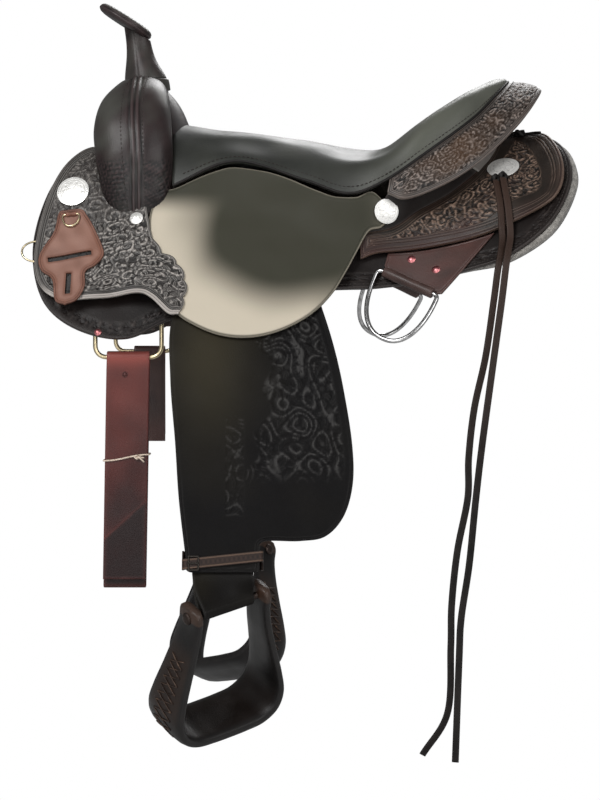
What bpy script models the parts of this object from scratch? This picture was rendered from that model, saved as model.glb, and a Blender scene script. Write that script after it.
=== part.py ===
"""A western trail saddle, built in metres: +Z up, +X towards the horse's tail, -Y the near side.

The origin is the underside of the fleece over the horse's spine. Two base surfaces carry the
leather. The back form is the skirts' outer face: a sheet over the horse's back, read at (x, s), where
s runs down the side from the spine, and held as flat triangles so that leather in layers keeps
its gap. The flank is the flat part of that face, with coordinates (x, v, n): v runs down, n out.
"""

import math

import bmesh
import bpy
import numpy as np
from mathutils import Matrix, Vector

# Clearances
GAP = 0.0004
RUNNING_GAP = 0.00035
SEAM_GAP = 0.0012

# The horse's back, as the skirts' outer face
FACET = 0.034
FIRST_COLUMN, COLUMNS, ROWS = -11, 23, 13
SPINE_RISE = 0.0153
SPINE_SLOPE = math.radians(18.0)
FLANK_SLOPE = math.radians(62.0)
REAR_SLOPE = math.radians(46.0)
CURVED_GIRTH = 0.185
REAR_FLARE_START, REAR_FLARE_LENGTH = 0.09, 0.25
WITHERS_RISE, WITHERS_START, WITHERS_LENGTH = 0.034, 0.06, 0.22
LOIN_RISE, LOIN_LENGTH = 0.052, 0.242

# Leather and fleece thicknesses
SKIRT_THICKNESS = 0.0046
FLEECE_THICKNESS = 0.0095
JOCKEY_THICKNESS = 0.004
STRAP_LEATHER = 0.004
FENDER_LEATHER = 0.004
SEAT_PADDING = 0.010
GROUND_SEAT_THICKNESS, GROUND_SEAT_HALF = 0.004, 0.064
CANTLE_LEATHER = 0.003
ROLL_THICKNESS = 0.007
COVER_LEATHER = 0.003

# Tree bars
BAR_INNER, BAR_OUTER = 0.050, 0.150
BAR_FRONT, BAR_REAR = -0.255, 0.270
BAR_DEPTH, BAR_REAR_DEPTH = 0.024, 0.012
BAR_FACE = 0.014
FOOT_SUNK = 0.002

# Stirrup leather and the place it hangs from
STRAP_WIDTH = 0.076
PIVOT_X, PIVOT_V = -0.062, 0.125
CREST_RADIUS = 0.020
SWING_FORWARD = 14.0
BAR_IN_SLOT = 0.0066
STRAP_ON_BAR_END, STRAP_JOINED = 0.046, 0.064
STRAP_LEAN_FROM, TWIST_START, TWIST_STEPS = 0.189, 0.6125, 12
CREST_V = PIVOT_V - CREST_RADIUS - 0.0005
HOBBLE_WIDTH, HOBBLE_LEATHER = 0.014, 0.0026

# Fender
FENDER_BEND_START, FENDER_BEND_LENGTH = 0.30, 0.16
NECK_X, NECK_V, NECK_HALF = -0.096, 0.597, 0.0475
FENDER_BOTTOM_SLOPE = math.radians(80.0)
FENDER_OUTLINE = [
    (-0.100, 0.192), (-0.135, 0.215), (-0.163, 0.290), (-0.163, 0.370), (-0.156, 0.450), (-0.151, 0.520),
    (-0.1425, 0.590), (-0.1400, 0.610), (-0.1200, 0.6115), (-0.0720, 0.6115), (-0.0520, 0.610),
    (-0.0505, 0.592), (-0.046, 0.574), (0.000, 0.573), (0.032, 0.567), (0.055, 0.541),
    (0.066, 0.500), (0.065, 0.450), (0.055, 0.385), (0.044, 0.332), (0.030, 0.280), (0.012, 0.225),
    (-0.020, 0.192),
]

# Stirrup
STIRRUP_YAW, STIRRUP_ROLL, STIRRUP_SWING = math.radians(35.0), math.radians(12.0), math.radians(-26.0)
BOLT_CENTRE = (-0.092, -0.287, -0.541)
BOLT_RADIUS, BOLT_HEAD_RADIUS, BOLT_HEAD = 0.0045, 0.008, 0.004
EAR_SPACING, EAR_ABOVE_BOLT = 0.092, 0.014
STIRRUP_WALL, TREAD_THICKNESS = 0.011, 0.016

# Rings and the leather that holds them
REAR_DEE_WIDTH, REAR_DEE_DROP, REAR_DEE_WIRE, REAR_DEE_SKEW = 0.090, 0.084, 0.0060, 0.012
FRONT_DEE_WIDTH, FRONT_DEE_DROP, FRONT_DEE_WIRE = 0.085, 0.056, 0.0060
BREAST_DEE_WIDTH, BREAST_DEE_DROP, BREAST_DEE_WIRE = 0.030, 0.024, 0.0026
KEEPER_DEE_WIDTH, KEEPER_DEE_DROP, KEEPER_DEE_WIRE = 0.022, 0.018, 0.0024
LOOP_LEATHER = 0.0030
REAR_ROLL = (0.1085, 0.2193, 0.1710, 0.2652)
FRONT_ROLL = (-0.255, -0.185, 0.269)
BREAST_ROLL = (-0.335, 0.175, -0.335, 0.199)
KEEPER_ROLL_CENTRE = (-0.2955, 0.1462)

# Latigo and off billet
LATIGO_WIDTH, LATIGO_LENGTH, LATIGO_THICKNESS = 0.055, 0.297, 0.0044
BILLET_WIDTH, BILLET_LENGTH, BILLET_SHIFT = 0.044, 0.128, 0.006
LAYER_GAP = 0.0005
LATIGO_LEAN = -0.02
TIE_DROP, TIE_RADIUS = 0.123, 0.0012

# Fork and horn
HORN_POST_RADIUS = 0.010
HORN_NECK_TOP, HORN_NECK_BASE = 0.0155, 0.0285
HORN_CAP_LENGTH, HORN_CAP_WIDTH, HORN_CAP_THICKNESS = 0.080, 0.070, 0.013
HORN_CAP_TILT = math.radians(-32.0)
HORN_CAP_CENTRE = (-0.2345, 0.0, 0.2110)
HORN_FOOT, HORN_NECK_END = (-0.2070, 0.0, 0.130), (-0.2180, 0.0, 0.190)

# Silver
FRONT_CONCHO, SIDE_CONCHO, REAR_CONCHO = 0.021, 0.016, 0.021
CONCHO_THICKNESS = 0.003
SIDE_CONCHO_PLACE = (0.1125, 0.149)

# Rear lace
LACE_X, LACE_WIDTH, LACE_THICKNESS, LACE_RISE = (0.272, 0.302), 0.030, 0.0025, 0.42

# Saddle strings
STRING_DIAMETER = 0.006
STRING_STEP = 0.018
STRING_LIFT = 0.0016

COLLECTION = "trail_saddle"


def unit(vector):
    """The vector scaled to length one."""
    vector = np.asarray(vector, float)
    return vector / np.linalg.norm(vector)


def smooth(value):
    """A ramp from 0 to 1 with level ends."""
    value = np.clip(value, 0.0, 1.0)
    return value * value * (3.0 - 2.0 * value)


def spline(keys, places, to_centre=False):
    """Points of a smooth curve (Catmull-Rom) through the keys; places run from 0 to 1.

    With to_centre the curve ends on the centre plane and runs on into its own mirror image.
    """
    keys = np.asarray(keys, float)
    last = len(keys) - 1
    beyond = keys[-2] * (1, -1, 1) if to_centre else 2 * keys[-1] - keys[-2]
    padded = np.vstack([2 * keys[0] - keys[1], keys, beyond])
    at = np.clip(np.asarray(places, float), 0.0, 1.0) * last
    k = np.minimum(at.astype(int), last - 1)
    f = (at - k)[:, None]
    a, b, c, d = padded[k], padded[k + 1], padded[k + 2], padded[k + 3]
    return 0.5 * (2 * b + (c - a) * f + (2 * a - 5 * b + 4 * c - d) * f**2 + (3 * b - a - 3 * c + d) * f**3)


def closed_spline(keys, per_key):
    """A closed smooth curve through the keys, with this many points for each."""
    keys = [np.asarray(key, float) for key in keys]
    count = len(keys)
    points = []
    for k in range(count):
        a, b, c, d = (keys[(k + shift) % count] for shift in (-1, 0, 1, 2))
        for step in range(per_key):
            f = step / per_key
            points.append(0.5 * (2 * b + (c - a) * f + (2 * a - 5 * b + 4 * c - d) * f**2
                                 + (3 * b - a - 3 * c + d) * f**3))
    return np.array(points)


# The back form


def back_slope(x, s):
    """How steeply the back falls away at (x, s), from the horizontal."""
    side = FLANK_SLOPE + (REAR_SLOPE - FLANK_SLOPE) * smooth((x - REAR_FLARE_START) / REAR_FLARE_LENGTH)
    return SPINE_SLOPE + (side - SPINE_SLOPE) * np.minimum(s / CURVED_GIRTH, 1.0)


def back_rise(x, s):
    """Height added over the withers, where it fades out down the side, and over the loin."""
    withers = WITHERS_RISE * smooth((-x - WITHERS_START) / WITHERS_LENGTH) * (1.0 - smooth(s / CURVED_GIRTH))
    return withers + LOIN_RISE * (np.maximum(x - REAR_FLARE_START, 0.0) / LOIN_LENGTH) ** 2


def exact_back(x, s):
    """The curved back itself, by adding up short steps down the side."""
    x, s = np.broadcast_arrays(np.asarray(x, float), np.asarray(s, float))
    steps = (np.arange(100) + 0.5) / 100
    slope = back_slope(x[..., None], s[..., None] * steps)
    y = -np.cos(slope).mean(-1) * s
    z = SPINE_RISE + back_rise(x, s) - np.sin(slope).mean(-1) * s
    return np.stack([x, y, z], -1)


def back_nodes():
    """Points and outward normals of the back form at its grid nodes."""
    x, s = np.meshgrid((FIRST_COLUMN + np.arange(COLUMNS)) * FACET, np.arange(ROWS) * FACET, indexing="ij")
    along = exact_back(x + 1e-4, s) - exact_back(x - 1e-4, s)
    down = exact_back(x, s + 1e-4) - exact_back(x, np.maximum(s - 1e-4, 0.0))
    normals = np.cross(along, -down)
    normals = normals / np.linalg.norm(normals, axis=-1, keepdims=True)
    return x, s, exact_back(x, s), normals


NODE_X, NODE_S, NODE_POINTS, NODE_NORMALS = back_nodes()


def on_facets(values, x, s):
    """Node values read at (x, s) as the flat triangle there gives them."""
    at_x = np.clip(np.asarray(x, float) / FACET - FIRST_COLUMN, 0, COLUMNS - 1.000001)
    at_s = np.clip(np.asarray(s, float) / FACET, 0, ROWS - 1.000001)
    i, j = at_x.astype(int), at_s.astype(int)
    a, b = (at_x - i)[..., None], (at_s - j)[..., None]
    here, beside, below, across = values[i, j], values[i + 1, j], values[i, j + 1], values[i + 1, j + 1]
    first = here + a * (beside - here) + b * (across - beside)
    second = here + b * (below - here) + a * (across - below)
    return np.where(a >= b, first, second)


def back_point(x, s, t):
    """The point at height t above the back form."""
    x, s, t = np.broadcast_arrays(np.asarray(x, float), np.asarray(s, float), np.asarray(t, float))
    return on_facets(NODE_POINTS, x, s) + t[..., None] * on_facets(NODE_NORMALS, x, s)


def back_frame(x, s):
    """Unit vectors at (x, s): towards the tail, down the side and outwards."""
    out = unit(on_facets(NODE_NORMALS, x, s))
    tail = unit(np.array([1.0, 0.0, 0.0]) - out[0] * out)
    return tail, np.cross(tail, out), out


# The flank

FLANK_DOWN = np.array([0.0, -math.cos(FLANK_SLOPE), -math.sin(FLANK_SLOPE)])
FLANK_OUT = np.array([0.0, -math.sin(FLANK_SLOPE), math.cos(FLANK_SLOPE)])
FLANK_TOP = exact_back(0.0, CURVED_GIRTH)


def flank_point(x, v, n):
    """The point at (x, v, n) of the flank, whose v equals s where the back form is flat."""
    x, v, n = np.broadcast_arrays(np.asarray(x, float), np.asarray(v, float), np.asarray(n, float))
    tail = x[..., None] * np.array([1.0, 0.0, 0.0])
    return FLANK_TOP + tail + (v[..., None] - CURVED_GIRTH) * FLANK_DOWN + n[..., None] * FLANK_OUT


def flank_height(points):
    """How far out of the flank plane the points lie."""
    return (np.asarray(points, float) - FLANK_TOP) @ FLANK_OUT


def flank_depth(points):
    """How far down the flank the points lie."""
    return CURVED_GIRTH + (np.asarray(points, float) - FLANK_TOP) @ FLANK_DOWN


# Heights of the layers that lie on the flank, outwards from the skirt
INNER_LEG = GAP + STRAP_LEATHER / 2
BAR_SLOT_BOTTOM = GAP + STRAP_LEATHER + GAP
BAR_SLOT_TOP = BAR_SLOT_BOTTOM + BAR_IN_SLOT
OUTER_LEG_ON_BAR = BAR_SLOT_TOP + GAP + STRAP_LEATHER / 2
OUTER_LEG = INNER_LEG + STRAP_LEATHER + GAP
FENDER_LEVEL = OUTER_LEG + STRAP_LEATHER / 2 + GAP
SEAT_JOCKEY_LEVEL = OUTER_LEG_ON_BAR + STRAP_LEATHER / 2 + GAP
FRONT_JOCKEY_OVERLAP = SEAT_JOCKEY_LEVEL + JOCKEY_THICKNESS + GAP


def level_over_back(height_of):
    """Heights above the back form, at its nodes, of a surface given by height_of(x, v) over the flank."""
    heights = np.zeros(NODE_X.shape)
    for _ in range(12):
        points = NODE_POINTS + heights[..., None] * NODE_NORMALS
        wanted = height_of(points[..., 0], flank_depth(points))
        heights = heights + (wanted - flank_height(points)) / np.maximum(NODE_NORMALS @ FLANK_OUT, 0.3)
    return heights


def flat_bar_face(x, _):
    """The bars' outer face over the flank."""
    return np.full(np.shape(x), BAR_FACE)


def bar_top_level():
    """The bars' upper face above the back form: the flank's height in front, thinner at the rear."""
    front = np.minimum(level_over_back(flat_bar_face), BAR_DEPTH)
    rear = smooth((NODE_X - 0.034) / 0.06)
    return front + (BAR_REAR_DEPTH - front) * rear


BAR_TOP = bar_top_level()

# Seat stations, front to rear: on the centre line, on the shoulder or crest, and on the seam
SEAT_CENTRE = [
    (-0.171, 0.0, 0.074), (-0.080, 0.0, 0.060), (0.010, 0.0, 0.049), (0.066, 0.0, 0.040),
    (0.096, 0.0, 0.0375), (0.116, 0.0, 0.0385), (0.132, 0.0, 0.042), (0.142, 0.0, 0.045),
]
SEAT_CREST = [
    (-0.167, -0.080, 0.044), (-0.082, -0.078, 0.047), (0.007, -0.095, 0.035), (0.064, -0.114, 0.019),
    (0.112, -0.121, 0.028), (0.160, -0.111, 0.068), (0.218, -0.083, 0.106), (0.275, 0.0, 0.134),
]
SEAT_SEAM = [
    (-0.166, -0.119, -0.015), (-0.085, -0.118, 0.017), (0.005, -0.138, -0.008), (0.060, -0.151, -0.026),
    (0.105, -0.151, -0.012), (0.163, -0.137, 0.027), (0.228, -0.099, 0.076), (0.2795, 0.0, 0.1295),
]
SHOULDER_PITCH = [42.0, 38.0, 30.0, 18.0, 8.0, 2.0, 0.0, 8.0]
SEAT_STATIONS = 13
DISH_COLUMNS, EDGE_COLUMNS = 5, 3

# The roll behind the cantle: its outer edge, from its front tip to the centre
ROLL_EDGE = [
    (0.112, -0.160, -0.026), (0.135, -0.166, -0.033), (0.174, -0.160, -0.020), (0.216, -0.144, 0.003),
    (0.259, -0.119, 0.039), (0.302, -0.077, 0.086), (0.326, 0.0, 0.1185),
]
ROLL_STATIONS = 10
ROLL_START = 0.60


def bezier(a, b, c, d, places):
    """Points of a cubic curve from its four controls."""
    f = np.asarray(places, float)[:, None]
    return a * (1 - f) ** 3 + 3 * b * f * (1 - f) ** 2 + 3 * c * f**2 * (1 - f) + d * f**3


def seat_section(place):
    """One station of the seat's upper face, from the centre line over the crest to the seam."""
    centre = spline(SEAT_CENTRE, [place])[0]
    crest = spline(SEAT_CREST, [place], True)[0]
    seam = spline(SEAT_SEAM, [place], True)[0]
    pitch = math.radians(float(spline(np.array(SHOULDER_PITCH)[:, None], [place])[0, 0]))
    across = unit((crest - centre) * (1, 1, 0))
    reach = np.linalg.norm((crest - centre)[:2])
    over = across * math.cos(pitch) - np.array([0, 0, math.sin(pitch)])
    edge = np.linalg.norm(seam - crest)
    down = unit((seam - crest) + np.array([0, 0, -0.6 * edge]))
    dish = bezier(centre, centre + across * reach * 0.42, crest - over * reach * 0.34, crest,
                  np.linspace(0, 1, DISH_COLUMNS + 1))
    side = bezier(crest, crest + over * edge * 0.36, seam - down * edge * 0.34, seam,
                  np.linspace(0, 1, EDGE_COLUMNS + 1))
    return np.vstack([dish, side[1:]])


def grid_normals(grid):
    """Unit normals of a grid of points, from the differences along both of its directions."""
    along = np.gradient(grid, axis=0)
    across = np.gradient(grid, axis=1)
    normals = np.cross(across, along)
    return normals / np.maximum(np.linalg.norm(normals, axis=-1, keepdims=True), 1e-12)


def seat_grid():
    """The near half of the seat's upper face, and its outward normals."""
    grid = np.array([seat_section(k / (SEAT_STATIONS - 1)) for k in range(SEAT_STATIONS)])
    normals = grid_normals(grid)
    normals[:, 0] *= (1, 0, 1)
    normals[-1] *= (1, 0, 1)
    normals[-1, 0] = normals[-1, 1]
    normals /= np.linalg.norm(normals, axis=-1, keepdims=True)
    return grid, normals * np.sign(normals[SEAT_STATIONS // 2, 2, 2])


# Mesh helpers


def principled(name, colour, roughness, metallic=0.0):
    """A plain material with this colour, roughness and metallic value."""
    material = bpy.data.materials.new(name)
    material.use_nodes = True
    shader = material.node_tree.nodes["Principled BSDF"]
    shader.inputs["Base Color"].default_value = (*colour, 1.0)
    shader.inputs["Roughness"].default_value = roughness
    shader.inputs["Metallic"].default_value = metallic
    material.diffuse_color = (*colour, 1.0)
    return material


COLOURS = {
    "dark_leather": ((0.026, 0.018, 0.015), 0.45, 0.0),
    "tooled_leather": ((0.035, 0.022, 0.018), 0.50, 0.0),
    "seat_leather": ((0.022, 0.023, 0.018), 0.35, 0.0),
    "jockey_leather": ((0.120, 0.110, 0.085), 0.35, 0.0),
    "latigo_leather": ((0.130, 0.022, 0.016), 0.45, 0.0),
    "keeper_leather": ((0.230, 0.110, 0.075), 0.55, 0.0),
    "fleece": ((0.500, 0.480, 0.430), 0.95, 0.0),
    "wood": ((0.300, 0.190, 0.100), 0.60, 0.0),
    "silver": ((0.800, 0.790, 0.760), 0.22, 1.0),
    "steel": ((0.620, 0.630, 0.640), 0.25, 1.0),
    "brass": ((0.700, 0.520, 0.260), 0.30, 1.0),
    "cord": ((0.600, 0.520, 0.400), 0.80, 0.0),
}


def finish(obj, name, look):
    """Names the object, gives it its own material and puts it in the saddle's collection."""
    obj.name = name
    obj.data.name = name
    obj.data.materials.clear()
    obj.data.materials.append(principled(name, *COLOURS[look]))
    for collection in list(obj.users_collection):
        collection.objects.unlink(obj)
    bpy.data.collections[COLLECTION].objects.link(obj)
    return obj


def mesh_object(name, points, faces, look=None):
    """An object from points and faces, with its faces turned outwards."""
    mesh = bpy.data.meshes.new(name)
    mesh.from_pydata([tuple(map(float, point)) for point in points], [], [tuple(map(int, f)) for f in faces])
    bm = bmesh.new()
    bm.from_mesh(mesh)
    bmesh.ops.remove_doubles(bm, verts=bm.verts, dist=1e-5)
    bmesh.ops.delete(bm, geom=[vert for vert in bm.verts if not vert.link_faces], context="VERTS")
    bmesh.ops.recalc_face_normals(bm, faces=bm.faces)
    bm.to_mesh(mesh)
    bm.free()
    obj = bpy.data.objects.new(name, mesh)
    bpy.context.scene.collection.objects.link(obj)
    return finish(obj, name, look) if look else obj


def loft(rings, closed=False, caps=True):
    """Points and faces of a skin over rings of as many points each."""
    rings = np.asarray(rings, float)
    rows, count = rings.shape[:2]
    faces = []
    for i in range(rows if closed else rows - 1):
        for j in range(count):
            a, b = i * count + j, i * count + (j + 1) % count
            c, d = ((i + 1) % rows) * count + (j + 1) % count, ((i + 1) % rows) * count + j
            faces += [(a, b, c), (a, c, d)]
    if caps and not closed:
        faces.append(tuple(range(count)))
        faces.append(tuple(range((rows - 1) * count, rows * count))[::-1])
    return rings.reshape(-1, 3), faces


def slab(top, bottom, open_edges=()):
    """Points and faces between two grids, with walls on the edges that aren't left open."""
    rows, count = top.shape[:2]
    points = np.concatenate([top.reshape(-1, 3), bottom.reshape(-1, 3)])
    under = rows * count
    faces = []
    for i in range(rows - 1):
        for j in range(count - 1):
            a, b, c, d = i * count + j, i * count + j + 1, (i + 1) * count + j + 1, (i + 1) * count + j
            faces += [(a, b, c), (a, c, d)]
            faces += [(under + c, under + b, under + a), (under + d, under + c, under + a)]
    edges = {
        "first_row": [(j, j + 1) for j in range(count - 1)],
        "last_row": [((rows - 1) * count + j, (rows - 1) * count + j + 1) for j in range(count - 1)],
        "first_column": [(i * count, (i + 1) * count) for i in range(rows - 1)],
        "last_column": [(i * count + count - 1, (i + 1) * count + count - 1) for i in range(rows - 1)],
    }
    for edge, pairs in edges.items():
        if edge not in open_edges:
            faces += [(a, b, under + b, under + a) for a, b in pairs]
    return points, faces


def mirrored(name, points, faces, look=None):
    """A solid from a near half that is open at the centre plane, closed by its mirror image."""
    points = np.asarray(points, float)
    points = np.where(np.abs(points) < 2e-5, 0.0, points)
    faces = [face for face in faces if np.abs(points[list(face), 1]).max() > 0]
    other = points * (1, -1, 1)
    count = len(points)
    flipped = [tuple(count + k for k in face[::-1]) for face in faces]
    return mesh_object(name, np.concatenate([points, other]), list(faces) + flipped, look)


def off_side(obj, name, look):
    """The same piece mirrored to the off side."""
    mesh = evaluated_mesh(obj)
    bm = bmesh.new()
    bm.from_mesh(mesh)
    bmesh.ops.transform(bm, matrix=Matrix.Scale(-1, 4, Vector((0, 1, 0))), verts=bm.verts)
    bmesh.ops.reverse_faces(bm, faces=bm.faces)
    bm.to_mesh(mesh)
    bm.free()
    other = bpy.data.objects.new(name, mesh)
    bpy.context.scene.collection.objects.link(other)
    return finish(other, name, look)


def evaluated_mesh(obj):
    """A new mesh of the object as its modifiers leave it, in world coordinates."""
    bpy.context.view_layer.update()
    graph = bpy.context.evaluated_depsgraph_get()
    mesh = bpy.data.meshes.new_from_object(obj.evaluated_get(graph), depsgraph=graph)
    mesh.transform(obj.matrix_world)
    return mesh


def apply_modifiers(obj):
    """Fixes the modifiers into the mesh and removes loose doubles."""
    mesh = evaluated_mesh(obj)
    bm = bmesh.new()
    bm.from_mesh(mesh)
    bmesh.ops.remove_doubles(bm, verts=bm.verts, dist=2e-6)
    bmesh.ops.dissolve_degenerate(bm, edges=bm.edges, dist=2e-6)
    bm.to_mesh(mesh)
    bm.free()
    obj.modifiers.clear()
    obj.data = mesh
    obj.matrix_world = Matrix.Identity(4)
    return obj


def combine(obj, other, operation):
    """Cuts, joins or intersects the object with another, which is then removed."""
    modifier = obj.modifiers.new(operation.lower(), "BOOLEAN")
    modifier.operation = operation
    modifier.solver = "EXACT"
    modifier.object = other
    apply_modifiers(obj)
    bpy.data.objects.remove(other)
    return obj


def cut(obj, *cutters):
    """Takes the cutters away from the object."""
    for cutter in cutters:
        combine(obj, cutter, "DIFFERENCE")
    return obj


def helper(obj):
    """Marks the object as a cutter or guide that isn't part of the saddle."""
    obj.hide_render = True
    obj.display_type = "WIRE"
    for collection in list(obj.users_collection):
        collection.objects.unlink(obj)
    bpy.data.collections[COLLECTION + "_cutters"].objects.link(obj)
    return obj


def copy_of(obj, name):
    """A free copy of the object's mesh, for use as a cutter."""
    copy = bpy.data.objects.new(name, obj.data.copy())
    bpy.context.scene.collection.objects.link(copy)
    copy.matrix_world = obj.matrix_world
    return helper(copy)


def blank(outline, cuts):
    """A flat face with this outline, split along the cut lines, as a bmesh in pattern space."""
    bm = bmesh.new()
    verts = [bm.verts.new((float(u), float(w), 0.0)) for u, w in outline]
    bm.faces.new(verts)
    for normal, distance in cuts:
        geometry = bm.verts[:] + bm.edges[:] + bm.faces[:]
        place = (normal[0] * distance, normal[1] * distance, 0.0)
        bmesh.ops.bisect_plane(bm, geom=geometry, dist=1e-6, plane_co=place, plane_no=(*normal, 0.0))
    bmesh.ops.remove_doubles(bm, verts=bm.verts, dist=2e-4)
    return bm


def facet_cuts(outline):
    """The lines of the back form's triangles that cross an outline."""
    low, high = np.min(outline, axis=0), np.max(outline, axis=0)
    cuts = []
    for k in range(math.floor(low[0] / FACET), math.ceil(high[0] / FACET) + 1):
        cuts.append(((1.0, 0.0), k * FACET))
    for k in range(math.floor(low[1] / FACET), math.ceil(high[1] / FACET) + 1):
        cuts.append(((0.0, 1.0), k * FACET))
    half = math.sqrt(0.5)
    first = math.floor((low[0] - high[1]) / FACET)
    for k in range(first, math.ceil((high[0] - low[1]) / FACET) + 1):
        cuts.append(((half, -half), k * FACET * half))
    return cuts


def bent_sheet(name, outline, lower, upper, cuts, look=None):
    """A blank bent in space: lower(u, w) and upper(u, w) give the points of its two faces."""
    bm = blank(outline, cuts)
    bm.verts.index_update()
    flat = np.array([vert.co[:2] for vert in bm.verts])
    count = len(flat)
    faces = [tuple(vert.index for vert in face.verts) for face in bm.faces]
    rim = [(edge.verts[0].index, edge.verts[1].index) for edge in bm.edges if len(edge.link_faces) == 1]
    bm.free()
    points = np.concatenate([upper(flat[:, 0], flat[:, 1]), lower(flat[:, 0], flat[:, 1])])
    faces = faces + [tuple(count + k for k in face[::-1]) for face in faces]
    faces += [(a, b, count + b, count + a) for a, b in rim]
    return mesh_object(name, points, faces, look)


def back_sheet(name, outline, level, thickness, look=None):
    """Leather laid on the back form, its underside at this level (a number, or heights at the nodes)."""
    heights = np.broadcast_to(np.asarray(level, float), NODE_X.shape)[..., None]
    depth = np.broadcast_to(np.asarray(thickness, float), NODE_X.shape)[..., None]

    def lower(x, s):
        return back_point(x, s, on_facets(heights, x, s)[:, 0])

    def upper(x, s):
        return back_point(x, s, on_facets(heights + depth, x, s)[:, 0])

    return bent_sheet(name, outline, lower, upper, facet_cuts(outline), look)


def flank_prism(name, outline, low, high):
    """A straight prism over the flank, for cutting: outline in (x, v), from height low to high."""
    count = len(outline)
    x, v = np.array(outline).T
    points = np.concatenate([flank_point(x, v, low), flank_point(x, v, high)])
    faces = [tuple(range(count)), tuple(range(count, 2 * count))[::-1]]
    faces += [(k, (k + 1) % count, count + (k + 1) % count, count + k) for k in range(count)]
    return helper(mesh_object(name, points, faces))


def strap(name, centres, widths, normals, width, thickness, closed=False, look=None):
    """A flat strap along centre points, with its width and thickness directions at each."""
    centres, widths, normals = (np.asarray(a, float) for a in (centres, widths, normals))
    width = np.broadcast_to(np.asarray(width, float), len(centres))[:, None] / 2
    half = thickness / 2
    rings = np.stack([
        centres + widths * width + normals * half, centres - widths * width + normals * half,
        centres - widths * width - normals * half, centres + widths * width - normals * half,
    ], axis=1)
    return mesh_object(name, *loft(rings, closed), look)


def tube(name, start, end, radius, sides=16, bore=0.0, look=None):
    """A round bar, or a tube with this bore, between two points."""
    start, end = np.asarray(start, float), np.asarray(end, float)
    along = unit(end - start)
    across = unit(np.cross(along, (0.3, 0.2, 1.0)))
    other = np.cross(along, across)
    angles = np.arange(sides) * 2 * math.pi / sides
    circle = np.cos(angles)[:, None] * across + np.sin(angles)[:, None] * other
    if not bore:
        return mesh_object(name, *loft([start + circle * radius, end + circle * radius]), look)
    rings = [start + circle * radius, end + circle * radius, end + circle * bore, start + circle * bore]
    return mesh_object(name, *loft(rings, closed=True), look)


def wire_ring(name, outline, wire, matrix, look):
    """A closed wire along an outline in its own x-y plane, placed by a matrix."""
    curve = bpy.data.curves.new(name, "CURVE")
    curve.dimensions = "3D"
    curve.bevel_depth = wire / 2
    curve.bevel_resolution = 2
    line = curve.splines.new("POLY")
    line.points.add(len(outline) - 1)
    for point, (x, y) in zip(line.points, outline):
        point.co = (x, y, 0.0, 1.0)
    line.use_cyclic_u = True
    obj = bpy.data.objects.new(name, curve)
    bpy.context.scene.collection.objects.link(obj)
    obj.matrix_world = matrix
    bpy.context.view_layer.update()
    return finish(obj, name, look)


def dee_outline(width, drop, corner, square, skew=0.0):
    """A D: a straight bar along x, then down and round; square sets how full its lower corners are."""
    half = width / 2
    points = [(-half + corner, 0.0), (half - corner, 0.0)]
    points += [(half - corner + corner * math.sin(a), -corner + corner * math.cos(a))
               for a in np.radians([30, 60, 90])]
    lower = []
    for a in np.radians(np.linspace(0, 180, 13)[1:-1]):
        reach, fall = math.cos(a), math.sin(a)
        scale = (abs(reach) ** square + fall**square) ** (-1 / square)
        lower.append((half * reach * scale + skew * fall, -corner - (drop - corner) * fall * scale))
    points += lower
    points += [(-half + corner - corner * math.sin(a), -corner + corner * math.cos(a))
               for a in np.radians([90, 60, 30])]
    return points


def placed(origin, x_axis, y_axis):
    """A matrix that puts an object's x and y axes along these directions."""
    x_axis = unit(x_axis)
    z_axis = unit(np.cross(x_axis, y_axis))
    y_axis = np.cross(z_axis, x_axis)
    matrix = Matrix.Identity(4)
    for column, axis in enumerate((x_axis, y_axis, z_axis, origin)):
        for row in range(3):
            matrix[row][column] = float(axis[row])
    return matrix


def turned(name, profile, matrix, steps, look, stretch=1.0):
    """A turned solid: a profile (radius, height) from the axis down its outer side and back."""
    angles = np.arange(steps) * 2 * math.pi / steps
    points = [(0.0, 0.0, profile[0][1])]
    faces = []
    for radius, height in profile[1:-1]:
        points += [(radius * math.cos(a), radius * math.sin(a) * stretch, height) for a in angles]
    points.append((0.0, 0.0, profile[-1][1]))
    for k in range(steps):
        after = (k + 1) % steps
        faces.append((0, 1 + k, 1 + after))
        for ring in range(len(profile) - 3):
            a, b = 1 + ring * steps + k, 1 + ring * steps + after
            faces.append((a, a + steps, b + steps, b))
        last = 1 + (len(profile) - 3) * steps
        faces.append((len(points) - 1, last + after, last + k))
    obj = mesh_object(name, points, faces)
    obj.data.transform(matrix)
    return finish(obj, name, look)


# Skirts and fleece

SKIRT_EDGE = [
    (-0.262, 0.036), (-0.302, 0.053), (-0.333, 0.110), (-0.346, 0.183), (-0.330, 0.255), (-0.286, 0.296),
    (-0.222, 0.310), (-0.159, 0.281), (-0.040, 0.246), (0.108, 0.237), (0.202, 0.240), (0.264, 0.246),
    (0.318, 0.224), (0.348, 0.170), (0.350, 0.110), (0.336, 0.050), (0.312, 0.008),
]
FLEECE_EDGE = [
    (-0.258, 0.040), (-0.299, 0.058), (-0.329, 0.112), (-0.341, 0.183), (-0.322, 0.238), (-0.283, 0.258),
    (-0.222, 0.262), (-0.159, 0.260), (-0.040, 0.248), (0.108, 0.242), (0.202, 0.246), (0.264, 0.252),
    (0.322, 0.230), (0.354, 0.172), (0.354, 0.110), (0.338, 0.050), (0.312, 0.008),
]
CHANNEL_EDGE = [(0.244, 0.008), (0.226, 0.040)]


def open_outline(keys, per_key, corners=()):
    """A smooth edge through the keys, closed by straight lines through the corners."""
    curve = spline(keys, np.linspace(0, 1, (len(keys) - 1) * per_key + 1))
    return [tuple(point) for point in curve] + list(corners)


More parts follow.
